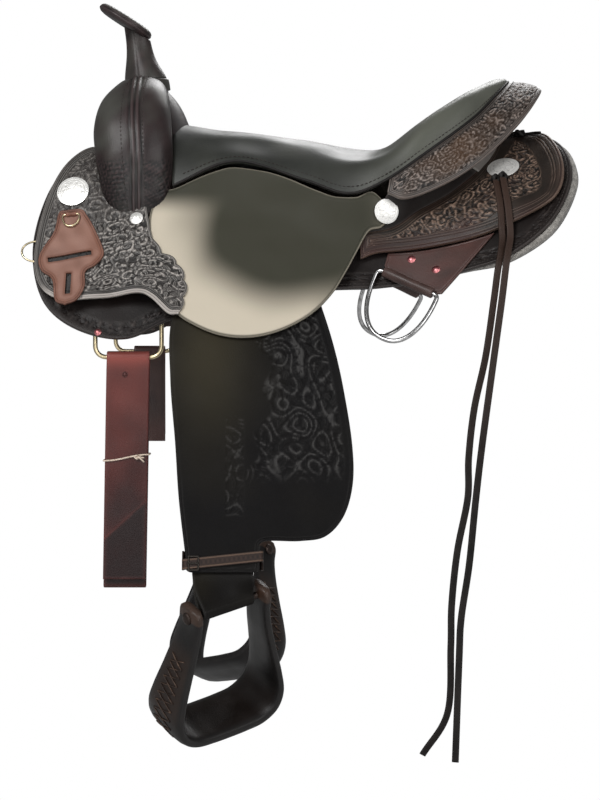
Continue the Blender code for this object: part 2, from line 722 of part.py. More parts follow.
def make_skirts():
    """Both skirts and the fleece under them."""
    skirt = back_sheet("skirt_near", open_outline(SKIRT_EDGE, 2, CHANNEL_EDGE), -SKIRT_THICKNESS,
                       SKIRT_THICKNESS, "dark_leather")
    off_side(skirt, "skirt_off", "dark_leather")
    fleece = back_sheet("fleece_near", open_outline(FLEECE_EDGE, 2, CHANNEL_EDGE),
                        -SKIRT_THICKNESS - GAP - FLEECE_THICKNESS, FLEECE_THICKNESS, "fleece")
    off_side(fleece, "fleece_off", "fleece")


# Tree bars


def crest_profile(reach):
    """The bar's crest under the stirrup leather: an arc about the pivot, then slopes beside it."""
    limit = math.radians(SWING_FORWARD + 1.0)
    round_part = [(CREST_RADIUS * math.sin(a), -CREST_RADIUS * math.cos(a))
                  for a in np.linspace(-limit, limit, 9)]
    end = round_part[-1]
    fall = (reach - end[0]) * math.tan(limit)
    return [(-reach, end[1] + fall)] + round_part + [(reach, end[1] + fall)]


def bar_outline(grow):
    """The bars' outline in (x, s), grown all round."""
    front, rear, inner, outer = BAR_FRONT - grow, BAR_REAR + grow, BAR_INNER - grow, BAR_OUTER + grow
    return [(front, inner + 0.012), (front + 0.02, inner), (rear - 0.04, inner), (rear, inner + 0.03),
            (rear, outer - 0.03), (rear - 0.03, outer), (front + 0.03, outer), (front, outer - 0.02)]


def bar_rooms():
    """Room for both bars, with the gap round them, for cutting what stands on them."""
    near = back_sheet("bar_room_near", bar_outline(GAP), -GAP, BAR_TOP + 2 * GAP)
    off = bpy.data.objects.new("bar_room_off", near.data.copy())
    off.data.transform(Matrix.Scale(-1, 4, Vector((0, 1, 0))))
    off.data.flip_normals()
    bpy.context.scene.collection.objects.link(off)
    return helper(near), helper(off)


def make_bars():
    """The two bars of the tree, each with its slot for the stirrup leather."""
    bar = back_sheet("tree_bar_near", bar_outline(0.0), GAP, BAR_TOP - GAP, "wood")
    reach = STRAP_WIDTH / 2 + 0.0085
    crest = [(PIVOT_X + x, PIVOT_V + v) for x, v in crest_profile(reach)]
    notch = [(PIVOT_X + reach, 0.0), (PIVOT_X - reach, 0.0)] + crest
    below = BAR_OUTER + 0.02
    sweep = [(PIVOT_X - reach - 0.001, 0.0), (PIVOT_X + reach + 0.001, 0.0), (PIVOT_X + reach + 0.001, PIVOT_V),
             (PIVOT_X + reach + 0.014, below), (PIVOT_X - reach - 0.014, below),
             (PIVOT_X - reach - 0.001, PIVOT_V)]
    cut(bar,
        flank_prism("bar_notch", notch, -0.08, 0.08),
        flank_prism("bar_groove", sweep, -0.08, BAR_SLOT_BOTTOM),
        flank_prism("bar_relief", sweep, BAR_SLOT_TOP, 0.08))
    finish(bar, "tree_bar_near", "wood")
    off_side(bar, "tree_bar_off", "wood")


# Jockeys


def girth_under(points):
    """For each point, the s of the back form's place under it."""
    found = []
    places = np.linspace(0.0, (ROWS - 1) * FACET, 600)
    for point in np.atleast_2d(points):
        here = back_point(point[0], places, 0.0)
        out = on_facets(NODE_NORMALS, np.full(places.shape, point[0]), places)
        away = np.linalg.norm(np.cross(point - here, out), axis=1)
        found.append(places[np.argmin(away)])
    return np.array(found)


SEAM_PLACES = np.linspace(0.0, 0.64, 41)
SEAM_POINTS = spline(SEAT_SEAM, SEAM_PLACES)
SEAM_DROP = 0.075
JOCKEY_FALL = [
    (0.122, 0.150), (0.106, 0.164), (0.088, 0.170), (0.071, 0.200), (0.059, 0.224), (0.041, 0.256),
    (0.014, 0.286), (-0.024, 0.309), (-0.063, 0.319), (-0.100, 0.316), (-0.133, 0.302), (-0.157, 0.284),
    (-0.178, 0.250), (-0.188, 0.195), (-0.186, 0.150), (-0.172, 0.118),
]
FRONT_JOCKEY_EDGE = [
    (-0.245, 0.066), (-0.276, 0.058), (-0.306, 0.078), (-0.328, 0.118), (-0.340, 0.168), (-0.341, 0.215),
    (-0.328, 0.247), (-0.300, 0.262), (-0.255, 0.262), (-0.209, 0.257), (-0.190, 0.264), (-0.168, 0.286),
    (-0.154, 0.288), (-0.147, 0.266), (-0.146, 0.240), (-0.158, 0.212), (-0.176, 0.198), (-0.190, 0.176),
    (-0.196, 0.152), (-0.204, 0.120), (-0.215, 0.090),
]
REAR_JOCKEY_EDGE = [
    (0.262, 0.007), (0.300, 0.007), (0.326, 0.034), (0.339, 0.085), (0.344, 0.140), (0.336, 0.180),
    (0.312, 0.197), (0.247, 0.202), (0.170, 0.195), (0.105, 0.192), (0.078, 0.200),
]
REAR_JOCKEY_INNER = [(0.080, 0.166), (0.122, 0.158), (0.155, 0.138), (0.200, 0.118), (0.236, 0.090),
                     (0.256, 0.046)]


def seat_jockey_height(x, v):
    """The seat jockey over the flank: flat below, and rising steeply to the seam."""
    seam_x = SEAM_POINTS[:, 0]
    seam_v = np.interp(x, seam_x, flank_depth(SEAM_POINTS))
    seam_n = np.interp(x, seam_x, flank_height(SEAM_POINTS))
    rise = np.clip((seam_v + SEAM_DROP - v) / SEAM_DROP, 0.0, 1.15) ** 2
    return SEAT_JOCKEY_LEVEL + (seam_n - JOCKEY_THICKNESS - SEAT_JOCKEY_LEVEL) * rise


def front_jockey_height():
    """The front jockey's underside above the back form, at its nodes."""
    columns = np.array([-0.374, -0.340, -0.306, -0.272, -0.238, -0.204])
    heights = np.array([0.0060, 0.0070, 0.0100, 0.0148, 0.0148, FRONT_JOCKEY_OVERLAP])
    over_flank = np.interp(NODE_X, columns, heights)
    flat = level_over_back(lambda x, v: np.interp(x, columns, heights))
    return np.minimum(flat, over_flank + (BAR_DEPTH - BAR_FACE) + GAP)


def rear_jockey_height():
    """The rear jockey's underside: over the bar, and down to the rigging strap beside it."""
    strap_top = LOOP_LEATHER + 2 * GAP + 0.0008
    along = np.clip((0.306 - NODE_X) / FACET, 0.0, 1.0)
    down = np.interp(NODE_S, [0.0, FACET, 5 * FACET, 6 * FACET], [0.0, 1.0, 1.0, 0.0])
    level = strap_top + (BAR_REAR_DEPTH + GAP - strap_top) * along * down
    return np.where((NODE_S < 0.18) & (NODE_X < 0.12), np.maximum(level, BAR_TOP + GAP), level)


def make_jockeys(fork_cutter):
    """Seat, front and rear jockeys of both sides."""
    top_x = np.linspace(-0.160, 0.098, 12)
    seam_s = np.interp(top_x, SEAM_POINTS[:, 0], girth_under(SEAM_POINTS))
    top = [(x, s + 0.006) for x, s in zip(top_x, seam_s)]
    seat = back_sheet("seat_jockey_near", top + open_outline(JOCKEY_FALL, 2),
                      level_over_back(seat_jockey_height), JOCKEY_THICKNESS)
    front = back_sheet("front_jockey_near", [tuple(p) for p in closed_spline(FRONT_JOCKEY_EDGE, 2)],
                       front_jockey_height(), JOCKEY_THICKNESS)
    cut(front, copy_of(fork_cutter, "fork_room_front"))
    cut(seat, copy_of(fork_cutter, "fork_room_seat"))
    rear = back_sheet("rear_jockey_near", open_outline(REAR_JOCKEY_EDGE, 2, REAR_JOCKEY_INNER),
                      rear_jockey_height(), JOCKEY_THICKNESS)
    for obj, name, look in ((seat, "seat_jockey", "jockey_leather"), (front, "front_jockey", "tooled_leather"),
                            (rear, "rear_jockey", "tooled_leather")):
        finish(obj, name + "_near", look)
        off_side(obj, name + "_off", look)


# Seat, ground seat and cantle

SEAT_POINTS, SEAT_NORMALS = seat_grid()
SEAT_EDGE = 0.006
CANTLE_ROW = 6


def under_seat(extra):
    """The seat's underside, this much lower: even padding, thinner at the seam and where the edge is short."""
    first = DISH_COLUMNS
    depth = np.full(SEAT_POINTS.shape[:2], SEAT_PADDING)
    depth[:, first:] = np.linspace(SEAT_PADDING, SEAT_EDGE, EDGE_COLUMNS + 1)
    offset = SEAT_POINTS - SEAT_NORMALS * (depth + extra)[..., None]
    crest, seam = SEAT_POINTS[:, first], SEAT_POINTS[:, -1]
    edge = np.linalg.norm(seam - crest, axis=1)[:, None]
    full = np.clip((edge - 0.012) / 0.020, 0.0, 1.0)
    low_seam = offset[:, first] + (seam - crest) * 0.6 - unit((0, 0, 1.0)) * 0.001
    low_seam = low_seam + (offset[:, -1] - low_seam) * full
    for column in range(first + 1, first + EDGE_COLUMNS + 1):
        share = (column - first) / EDGE_COLUMNS
        straight = offset[:, first] + (low_seam - offset[:, first]) * share
        offset[:, column] = straight + (offset[:, column] - straight) * full
    return offset


def make_seat(fork_room):
    """The padded seat and the ground seat that carries it on the bars."""
    points, faces = slab(SEAT_POINTS, under_seat(0.0), ("first_column", "last_row"))
    cover = mirrored("seat_cover", points, faces)
    finish(cut(cover, copy_of(fork_room, "fork_room_cover")), "seat_cover", "seat_leather")

    sheets = []
    for extra in (GAP, GAP + GROUND_SEAT_THICKNESS):
        rows = under_seat(extra)[:CANTLE_ROW + 1, :DISH_COLUMNS + 1]
        sheets.append(np.array([[(np.interp(y, -row[:, 1], row[:, 0]), -y, np.interp(y, -row[:, 1], row[:, 2]))
                                 for y in np.linspace(0.0, GROUND_SEAT_HALF, 5)] for row in rows]))
    top, bottom = sheets
    foot_x = top[:, -1, 0]
    rest = on_facets(BAR_TOP[..., None], foot_x, np.full(foot_x.shape, 0.070))[:, 0] - FOOT_SUNK
    top = np.concatenate([top, back_point(foot_x, 0.0745, rest)[:, None]], axis=1)
    bottom = np.concatenate([bottom, back_point(foot_x, 0.0690, rest)[:, None]], axis=1)
    points, faces = slab(top, bottom, ("first_column",))
    sheet = mirrored("ground_seat", points, faces)
    cut(sheet, *bar_rooms(), copy_of(fork_room, "fork_room_ground"))
    finish(sheet, "ground_seat", "dark_leather")


def back_height(x, y, rise):
    """A point over the back at (x, y), this much above its surface, measured along the normal."""
    places = np.linspace(0.0, 0.3, 301)
    here = back_point(x, places, 0.0)
    s = float(np.interp(-y, -here[:, 1], places))
    slope = float(back_slope(x, s))
    z = float(np.interp(s, places, here[:, 2]))
    return np.array([x, y, z + rise / math.cos(slope)])


def bar_rise(x, y):
    """The bars' height above the back near (x, y), less what is cut off again to fit."""
    return float(on_facets(BAR_TOP[..., None], x, min(-y * 1.15, 0.14))[0]) - FOOT_SUNK


def make_cantle():
    """The wooden cantle, a wedge between the seat and the rear of the bars."""
    face = under_seat(GAP)[CANTLE_ROW:, 1:DISH_COLUMNS + 1]
    face[0] += (face[1] - face[0]) * 0.06
    face[:, -1] = face[:, -2] + (face[:, -1] - face[:, -2]) * 0.85
    rings = []
    for row in face:
        inner, crest = row[0], row[-1]
        away = unit((crest - inner) * (1, 1, 0))
        heel = crest + away * 0.003 - np.array([0, 0, 0.012])
        base, toe = inner + (crest - inner) * 0.80, inner.copy()
        base = back_height(*base[:2], bar_rise(*base[:2]))
        toe = back_height(*toe[:2], bar_rise(*toe[:2]))
        toe[2] = min(toe[2], inner[2] - 0.002)
        rings.append(np.vstack([row, heel, base, toe]))
    points, faces = loft(rings, caps=False)
    faces.append(tuple(range(len(rings[0]))))
    block = mirrored("tree_cantle", points, faces)
    finish(cut(block, *bar_rooms()), "tree_cantle", "wood")


def roll_grid():
    """The roll's upper face from the seam to its outer edge, and its outward normals."""
    places = np.linspace(0.0, 1.0, ROLL_STATIONS)
    seam = spline(SEAT_SEAM, ROLL_START + (1 - ROLL_START) * places, True)
    edge = spline(ROLL_EDGE, places, True)
    rows = []
    for inner, outer in zip(seam, edge):
        out = unit(outer - inner)
        start = inner + out * SEAM_GAP
        width = np.linalg.norm(outer - inner)
        bulge = np.array([0.0, 0.0, 0.1 * width])
        if abs(inner[1]) > 1e-6:
            bulge = bulge + unit((inner - (0.05, 0, 0)) * (1, 1, 0)) * 0.06 * width
        across = outer - start
        rows.append([start, start + across * 0.35 + bulge * 0.8, start + across * 0.7 + bulge * 0.8, outer])
    grid = np.array(rows)
    normals = grid_normals(grid)
    normals[-1] *= (1, 0, 1)
    normals /= np.linalg.norm(normals, axis=-1, keepdims=True)
    return grid, normals * np.sign(normals[-1, 1, 2])


def make_roll():
    """The tooled roll round the cantle, and the cantle's leather back under it."""
    grid, normals = roll_grid()
    points, faces = slab(grid, grid - normals * ROLL_THICKNESS, ("last_row",))
    mirrored("cheyenne_roll", points, faces, "tooled_leather")

    first = 5
    under = grid - normals * (ROLL_THICKNESS + GAP)
    top = (under[first:, 1] + under[first:, 2]) / 2 - np.array([0, 0, 0.0012])
    foot = np.array([(0.236, -0.092), (0.252, -0.072), (0.262, -0.048), (0.267, -0.024), (0.269, 0.0)])
    foot = np.array([back_height(x, y, BAR_REAR_DEPTH + JOCKEY_THICKNESS + 0.0020) for x, y in foot])
    outer = np.stack([top, (top + foot) / 2 + (top - foot) * (0, 0, 0.04), foot], axis=1)
    inward = grid_normals(outer)
    inward = inward * -np.sign(inward[-1, 1, 0])
    inward[-1] *= (1, 0, 1)
    inner = outer + inward * CANTLE_LEATHER
    inner[:, 0, 2] = outer[:, 0, 2] - 0.0008
    points, faces = slab(outer, inner, ("last_row",))
    mirrored("cantle_back", points, faces, "tooled_leather")


# Fork and horn

# Each ring across the fork, from the near leg's foot to the top: centre (x, y, z), half its length
# fore and aft, half its thickness, and its thickness direction in the y-z plane in degrees from -y.
FORK_RINGS = [
    ((-0.2120, -0.1120, -0.060), 0.0300, 0.022, 8.0),
    ((-0.2125, -0.1090, -0.036), 0.0430, 0.028, 4.0),
    ((-0.2140, -0.1065, -0.008), 0.0475, 0.031, 2.0),
    ((-0.2165, -0.1030, 0.024), 0.0505, 0.033, 10.0),
    ((-0.2185, -0.0920, 0.056), 0.0510, 0.034, 30.0),
    ((-0.2175, -0.0700, 0.083), 0.0470, 0.035, 52.0),
    ((-0.2120, -0.0380, 0.098), 0.0380, 0.035, 74.0),
    ((-0.2080, 0.0, 0.1010), 0.0320, 0.035, 90.0),
]
FORK_SIDES = 14


def fork_rings(offset):
    """The fork's rings, grown by the offset all round."""
    rings = []
    for centre, half_length, half_thick, lean in FORK_RINGS:
        out = np.array([0.0, -math.cos(math.radians(lean)), math.sin(math.radians(lean))])
        angles = np.arange(FORK_SIDES) * 2 * math.pi / FORK_SIDES
        square = 2.4
        ring = []
        for a in angles:
            c, s = math.cos(a), math.sin(a)
            scale = (abs(c) ** square + abs(s) ** square) ** (-1 / square)
            ring.append(np.array(centre) + np.array([1.0, 0, 0]) * c * scale * (half_length + offset)
                        + out * s * scale * (half_thick + offset))
        rings.append(ring)
    rings = np.array(rings)
    rings[-1][:, 1] = 0.0
    return rings


def fork_solid(name, offset, look=None):
    """The whole fork, grown by the offset, closed at its feet."""
    rings = fork_rings(offset)
    points, faces = loft(rings, caps=False)
    faces.append(tuple(range(FORK_SIDES)))
    return mirrored(name, points, faces, look)


def flank_block(name, low, side):
    """A block that fills the space under height `low` of a flank, for cutting; side is -1 near, 1 off."""
    block = flank_prism(name, [(-0.32, -0.01), (-0.12, -0.01), (-0.12, 0.22), (-0.32, 0.22)], -0.12, low)
    if side > 0:
        block.data.transform(Matrix.Scale(-1, 4, Vector((0, 1, 0))))
        block.data.flip_normals()
    return block


def make_fork():
    """The wooden fork and its leather cover, both standing on the bars; returns room for its neighbours."""
    core = fork_solid("tree_fork", -COVER_LEATHER - GAP)
    cut(core, flank_block("fork_foot_near", BAR_FACE + GAP, -1), flank_block("fork_foot_off", BAR_FACE + GAP, 1))
    finish(core, "tree_fork", "wood")
    cover = fork_solid("fork_cover", 0.0)
    inside = helper(fork_solid("fork_inside", -COVER_LEATHER))
    cut(cover, inside)
    clear = BAR_FACE + 2 * GAP
    cut(cover, flank_block("cover_foot_near", clear, -1), flank_block("cover_foot_off", clear, 1))
    finish(cover, "fork_cover", "tooled_leather")
    return helper(fork_solid("fork_room", 0.0008))


def make_horn():
    """The horn: a post on the fork, its leather wrap and its oval cap."""
    foot, top = np.array(HORN_FOOT), np.array(HORN_CAP_CENTRE)
    lean = unit(np.array(HORN_NECK_END) - foot)
    cap_up = np.array([-math.sin(HORN_CAP_TILT), 0.0, math.cos(HORN_CAP_TILT)])
    under_cap = top - cap_up * (HORN_CAP_THICKNESS / 2 + GAP)
    reach = float((under_cap - foot) @ cap_up / (lean @ cap_up))

    def clipped(name, obj, grown):
        keep_below = helper(mesh_object(name + "_cap_room", *cap_block(top, cap_up)))
        room = helper(fork_solid(name + "_fork_room", grown))
        cut(obj, keep_below, room)

    post = tube("horn_post", foot - lean * 0.030, foot + lean * (reach + 0.02), HORN_POST_RADIUS)
    clipped("post", post, -COVER_LEATHER)
    finish(post, "horn_post", "steel")
    hole = helper(tube("horn_hole", foot - lean * 0.040, foot + lean * 0.05, HORN_POST_RADIUS + GAP))
    cover = bpy.data.objects["fork_cover"]
    cut(cover, hole)
    finish(cover, "fork_cover", "tooled_leather")

    places = np.linspace(-0.012, reach + 0.02, 8)
    rings = []
    across, side = np.cross((0, 1.0, 0), lean), np.array([0.0, 1.0, 0.0])
    for place in places:
        share = max(0.0, min(1.0, place / reach))
        radius = HORN_NECK_TOP + (HORN_NECK_BASE - HORN_NECK_TOP) * (1 - smooth(share)) ** 1.5
        angles = np.arange(16) * 2 * math.pi / 16
        rings.append([foot + lean * place + across * radius * math.cos(a) + side * radius * 0.92 * math.sin(a)
                      for a in angles])
    wrap = mesh_object("horn_neck_wrap", *loft(rings))
    cut(wrap, helper(tube("neck_bore", foot - lean * 0.05, foot + lean * 0.15, HORN_POST_RADIUS + GAP)))
    clipped("neck", wrap, GAP)
    finish(wrap, "horn_neck_wrap", "tooled_leather")

    half, thick = HORN_CAP_LENGTH / 2, HORN_CAP_THICKNESS
    profile = [(0.0, thick / 2), (half - 0.014, thick / 2), (half - 0.005, thick / 2 - 0.0012), (half, 0.001),
               (half - 0.001, -0.0025), (half - 0.006, -thick / 2 + 0.0004), (half - 0.012, -thick / 2),
               (0.0, -thick / 2)]
    matrix = placed(top, (math.cos(HORN_CAP_TILT), 0, math.sin(HORN_CAP_TILT)), (0, 1, 0))
    turned("horn_cap", profile, matrix, 24, "dark_leather", HORN_CAP_WIDTH / HORN_CAP_LENGTH)


def cap_block(top, cap_up):
    """A block that fills the cap's space and everything above it."""
    along = unit(np.cross(cap_up, (0, 1, 0)))
    side = np.array([0.0, 1.0, 0.0])
    low = top - cap_up * (HORN_CAP_THICKNESS / 2 + GAP)
    corners = [(-0.08, -0.08), (0.08, -0.08), (0.08, 0.08), (-0.08, 0.08)]
    rings = [[low + along * a + side * b for a, b in corners],
             [low + cap_up * 0.08 + along * a + side * b for a, b in corners]]
    return loft(rings)


# Fender, stirrup leather and hobble strap

FENDER_LINES = [FENDER_BEND_START + 0.032 * k for k in range(6)]


def fender_slope(v):
    """The fender's slope: flat on the flank, then bending down."""
    return FLANK_SLOPE + (FENDER_BOTTOM_SLOPE - FLANK_SLOPE) * np.clip(
        (v - FENDER_BEND_START) / FENDER_BEND_LENGTH, 0.0, 1.0)


def fender_profile():
    """Points and normals of the fender's bend, at its fold lines and beyond."""
    places = [CURVED_GIRTH - 0.12] + FENDER_LINES + [0.70]
    points, normals = [], []
    for v in places:
        steps = CURVED_GIRTH + (v - CURVED_GIRTH) * (np.arange(200) + 0.5) / 200
        slope = fender_slope(steps)
        run = (v - CURVED_GIRTH)
        points.append(FLANK_TOP + run * np.array([0.0, -np.cos(slope).mean(), -np.sin(slope).mean()]))
        here = float(fender_slope(v))
        normals.append((0.0, -math.sin(here), math.cos(here)))
    return np.array(places), np.array(points), np.array(normals)


FENDER_PLACES, FENDER_POINTS, FENDER_NORMALS = fender_profile()


def fender_point(x, v, n):
    """The point at (x, v, n) of the fender's bent sheet."""
    x, v, n = np.broadcast_arrays(np.asarray(x, float), np.asarray(v, float), np.asarray(n, float))
    base = np.stack([np.interp(v, FENDER_PLACES, FENDER_POINTS[:, k]) for k in range(3)], -1)
    out = np.stack([np.interp(v, FENDER_PLACES, FENDER_NORMALS[:, k]) for k in range(3)], -1)
    return base + x[..., None] * np.array([1.0, 0, 0]) + n[..., None] * out


def stirrup_axes():
    """The bolt's direction (near end to far end), the band's width direction and the way down."""
    bolt = np.array([math.cos(STIRRUP_YAW) * math.cos(STIRRUP_ROLL),
                     math.sin(STIRRUP_YAW) * math.cos(STIRRUP_ROLL), math.sin(STIRRUP_ROLL)])
    level = unit(np.cross((0, 0, 1), bolt))
    hang = unit(np.cross(level, bolt))
    hang = hang if hang[2] < 0 else -hang
    width = math.cos(STIRRUP_SWING) * level + math.sin(STIRRUP_SWING) * hang
    drop = math.cos(STIRRUP_SWING) * hang - math.sin(STIRRUP_SWING) * level
    return bolt, width, drop


def make_fender():
    """The near fender and its mirror image."""
    outline = [tuple(p) for p in closed_spline(FENDER_OUTLINE, 2)]
    cuts = [((0.0, 1.0), v) for v in FENDER_LINES]
    fender = bent_sheet("fender_near", outline, lambda x, v: fender_point(x, v, FENDER_LEVEL),
                        lambda x, v: fender_point(x, v, FENDER_LEVEL + FENDER_LEATHER), cuts, "tooled_leather")
    off_side(fender, "fender_off", "tooled_leather")


def strap_centre_x(v):
    """The stirrup leather leans forward between its crest and the fender's neck."""
    return PIVOT_X + (NECK_X - PIVOT_X) * np.clip((v - STRAP_LEAN_FROM) / (NECK_V - STRAP_LEAN_FROM), 0.0, 1.0)


def leg_stations(level_on_bar, level):
    """Centres, widths and normals down one leg of the stirrup leather, from the crest to the neck."""
    stations = []
    on_bar, joined = PIVOT_V + STRAP_ON_BAR_END, PIVOT_V + STRAP_JOINED
    for v, n in [(CREST_V, level_on_bar), (on_bar, level_on_bar), (joined, level)] + [
            (v, level) for v in FENDER_LINES + [NECK_V, TWIST_START]]:
        out = np.array([np.interp(v, FENDER_PLACES, FENDER_NORMALS[:, k]) for k in range(3)])
        stations.append((fender_point(strap_centre_x(v), v, n), np.array([1.0, 0.0, 0.0]), out))
    return stations


def make_stirrup_leather():
    """The stirrup leather: a closed band over the bar's crest and round the stirrup bolt."""
    outer, inner = leg_stations(OUTER_LEG_ON_BAR, OUTER_LEG), leg_stations(INNER_LEG, INNER_LEG)
    bolt, _, _ = stirrup_axes()
    centre = np.array(BOLT_CENTRE)
    start_out, last = outer[-1][2], (outer[-1][0] + inner[-1][0]) / 2
    radius = BOLT_RADIUS + LAYER_GAP + STRAP_LEATHER / 2
    axis_out = unit(np.cross(bolt, unit(last - centre)))
    axis_out = axis_out if axis_out[1] < 0 else -axis_out
    axis_up = unit(np.cross(axis_out, bolt))
    axis_up = axis_up if axis_up[2] > 0 else -axis_up
    half_apart = (OUTER_LEG - INNER_LEG) / 2

    def twisted(share, side):
        f = float(smooth(share))
        width = unit((1 - f) * np.array([1.0, 0, 0]) + f * bolt)
        out = (1 - f) * start_out + f * axis_out
        out = unit(out - (out @ width) * width)
        middle = last + (centre - last) * share
        apart = half_apart + (radius - half_apart) * share
        return middle + side * apart * out, width, out

    shares = np.linspace(1 / TWIST_STEPS, 1.0, TWIST_STEPS)
    down = [twisted(share, 1.0) for share in shares]
    round_bolt = []
    for a in np.radians([30, 60, 90, 120, 150]):
        out = math.cos(a) * axis_out - math.sin(a) * axis_up
        round_bolt.append((centre + radius * out, bolt, out))
    up = [(c, w, -o) for c, w, o in (twisted(share, -1.0) for share in shares[::-1])]
    over = []
    middle = (OUTER_LEG_ON_BAR + INNER_LEG) / 2
    fold = (OUTER_LEG_ON_BAR - INNER_LEG) / 2
    for a in np.radians([30, 60, 90, 120, 150]):
        place = flank_point(PIVOT_X, CREST_V - fold * math.sin(a), middle - fold * math.cos(a))
        over.append((place, np.array([1.0, 0, 0]), -math.cos(a) * FLANK_OUT - math.sin(a) * FLANK_DOWN))
    inner = [(c, w, -o) for c, w, o in inner]
    stations = outer + down + round_bolt + up + inner[::-1] + over
    centres, widths, normals = zip(*stations)
    band = strap("stirrup_leather_near", centres, widths, normals, STRAP_WIDTH, STRAP_LEATHER, True,
                 "dark_leather")
    off_side(band, "stirrup_leather_off", "dark_leather")


def make_hobble_strap():
    """The hobble strap, a closed band round the fender's neck and the stirrup leather."""
    low, high = -HOBBLE_LEATHER / 2, FENDER_LEVEL + FENDER_LEATHER + GAP + HOBBLE_LEATHER / 2
    front, rear = (NECK_X + side * (NECK_HALF + GAP + HOBBLE_LEATHER / 2) for side in (-1, 1))
    corner = 0.0016
    corners = [(front, low + corner), (front + corner, low), (rear - corner, low), (rear, low + corner),
               (rear, high - corner), (rear - corner, high), (front + corner, high), (front, high - corner)]
    v = NECK_V
    rings = []
    for k, (x, n) in enumerate(corners):
        before, after = corners[k - 1], corners[(k + 1) % 8]
        along = unit((after[0] - before[0], after[1] - before[1]))
        out = np.array([along[1], -along[0]])
        thick, wide = HOBBLE_LEATHER / 2, HOBBLE_WIDTH / 2
        rings.append([fender_point(x + out[0] * a, v + b, n + out[1] * a)
                      for a, b in ((thick, -wide), (thick, wide), (-thick, wide), (-thick, -wide))])
    band = mesh_object("hobble_strap_near", *loft(rings, closed=True), "dark_leather")
    off_side(band, "hobble_strap_off", "dark_leather")


# Stirrup and bolt

# The stirrup's band from the top of one ear to the middle of the tread, in the stirrup's own frame:
# place along the bolt, drop below the bolt, half depth of the band, thickness.
STIRRUP_BAND = [
    (EAR_SPACING / 2 + STIRRUP_WALL / 2, -EAR_ABOVE_BOLT, 0.0150, STIRRUP_WALL),
    (EAR_SPACING / 2 + STIRRUP_WALL / 2, -0.006, 0.0210, STIRRUP_WALL),
    (EAR_SPACING / 2 + STIRRUP_WALL / 2, 0.014, 0.0215, STIRRUP_WALL),
    (0.0560, 0.042, 0.0240, STIRRUP_WALL),
    (0.0650, 0.078, 0.0280, STIRRUP_WALL),
    (0.0735, 0.112, 0.0330, STIRRUP_WALL),
    (0.0765, 0.138, 0.0365, 0.0125),
    (0.0690, 0.160, 0.0380, 0.0145),
    (0.0500, 0.173, 0.0380, TREAD_THICKNESS),
    (0.0250, 0.176, 0.0380, TREAD_THICKNESS),
    (0.0000, 0.1765, 0.0380, TREAD_THICKNESS),
]


def make_stirrup():
    """The bell stirrup and the bolt it hangs from."""
    bolt, width, drop = stirrup_axes()
    centre = np.array(BOLT_CENTRE)
    half = [(-u, d, w, t) for u, d, w, t in STIRRUP_BAND]
    band = half + [(-u, d, w, t) for u, d, w, t in half[-2::-1]]
    rings = []
    for k, (u, d, deep, thick) in enumerate(band):
        before, after = band[max(k - 1, 0)], band[min(k + 1, len(band) - 1)]
        along = unit((after[0] - before[0], after[1] - before[1]))
        out = np.array([-along[1], along[0]])
        chamfer = thick * 0.28
        ring = []
        wall, edge, end = thick / 2, thick / 2 - chamfer, deep - chamfer
        for a, b in ((wall, end), (edge, deep), (-edge, deep), (-wall, end), (-wall, -end), (-edge, -deep),
                     (edge, -deep), (wall, -end)):
            ring.append(centre + bolt * (u + out[0] * a) + drop * (d + out[1] * a) + width * b)
        rings.append(ring)
    stirrup = mesh_object("stirrup_near", *loft(rings))
    reach = EAR_SPACING / 2 + STIRRUP_WALL
    cut(stirrup, helper(tube("bolt_hole", centre - bolt * (reach + 0.02), centre + bolt * (reach + 0.02),
                             BOLT_RADIUS + RUNNING_GAP)))
    finish(stirrup, "stirrup_near", "dark_leather")
    off_side(stirrup, "stirrup_off", "dark_leather")
    inner = reach + RUNNING_GAP
    outer = inner + BOLT_HEAD
    head = [(0.0, outer), (BOLT_HEAD_RADIUS * 0.7, outer), (BOLT_HEAD_RADIUS, outer - 0.0015),
            (BOLT_HEAD_RADIUS, inner), (BOLT_RADIUS, inner)]
    profile = head + [(radius, -place) for radius, place in reversed(head)]
    pin = turned("stirrup_bolt_near", profile, placed(centre, width, drop), 12, "steel")
    off_side(pin, "stirrup_bolt_off", "steel")


# Rigging: straps, loops and rings


def sheet_point(x, s, t):
    """One point of the back form as a plain array."""
    return back_point(x, s, t).reshape(3)


def loop_tube(obj, start, end, radius, bore, look, name):
    """Joins a hollow roll of leather to a plate and bores it through."""
    along = unit(end - start)
    combine(obj, helper(tube(name + "_roll", start, end, radius, 16)), "UNION")
    cut(obj, helper(tube(name + "_bore", start - along * 0.02, end + along * 0.02, bore, 16)))
    return finish(obj, name, look)


def hinge_line(x_start, s_start, x_end, s_end, level, radius):
    """The ends of a roll's axis, laid so that the roll just clears the back form's level under it."""
    shares = np.linspace(0, 1, 25)
    xs, ss = x_start + (x_end - x_start) * shares, s_start + (s_end - s_start) * shares
    lift = radius
    for _ in range(20):
        a, b = sheet_point(x_start, s_start, level + lift), sheet_point(x_end, s_end, level + lift)
        axis = a + (b - a) * shares[:, None]
        base, out = back_point(xs, ss, level), on_facets(NODE_NORMALS, xs, ss)
        room = ((axis - base) * out).sum(1) / np.linalg.norm(out, axis=1)
        short = radius - room.min()
        if abs(short) < 1e-6:
            break
        lift += short
    return a, b


ROLL_RADIUS = REAR_DEE_WIRE / 2 + RUNNING_GAP + 0.0033
SMALL_ROLL_RADIUS = BREAST_DEE_WIRE / 2 + RUNNING_GAP + 0.0013


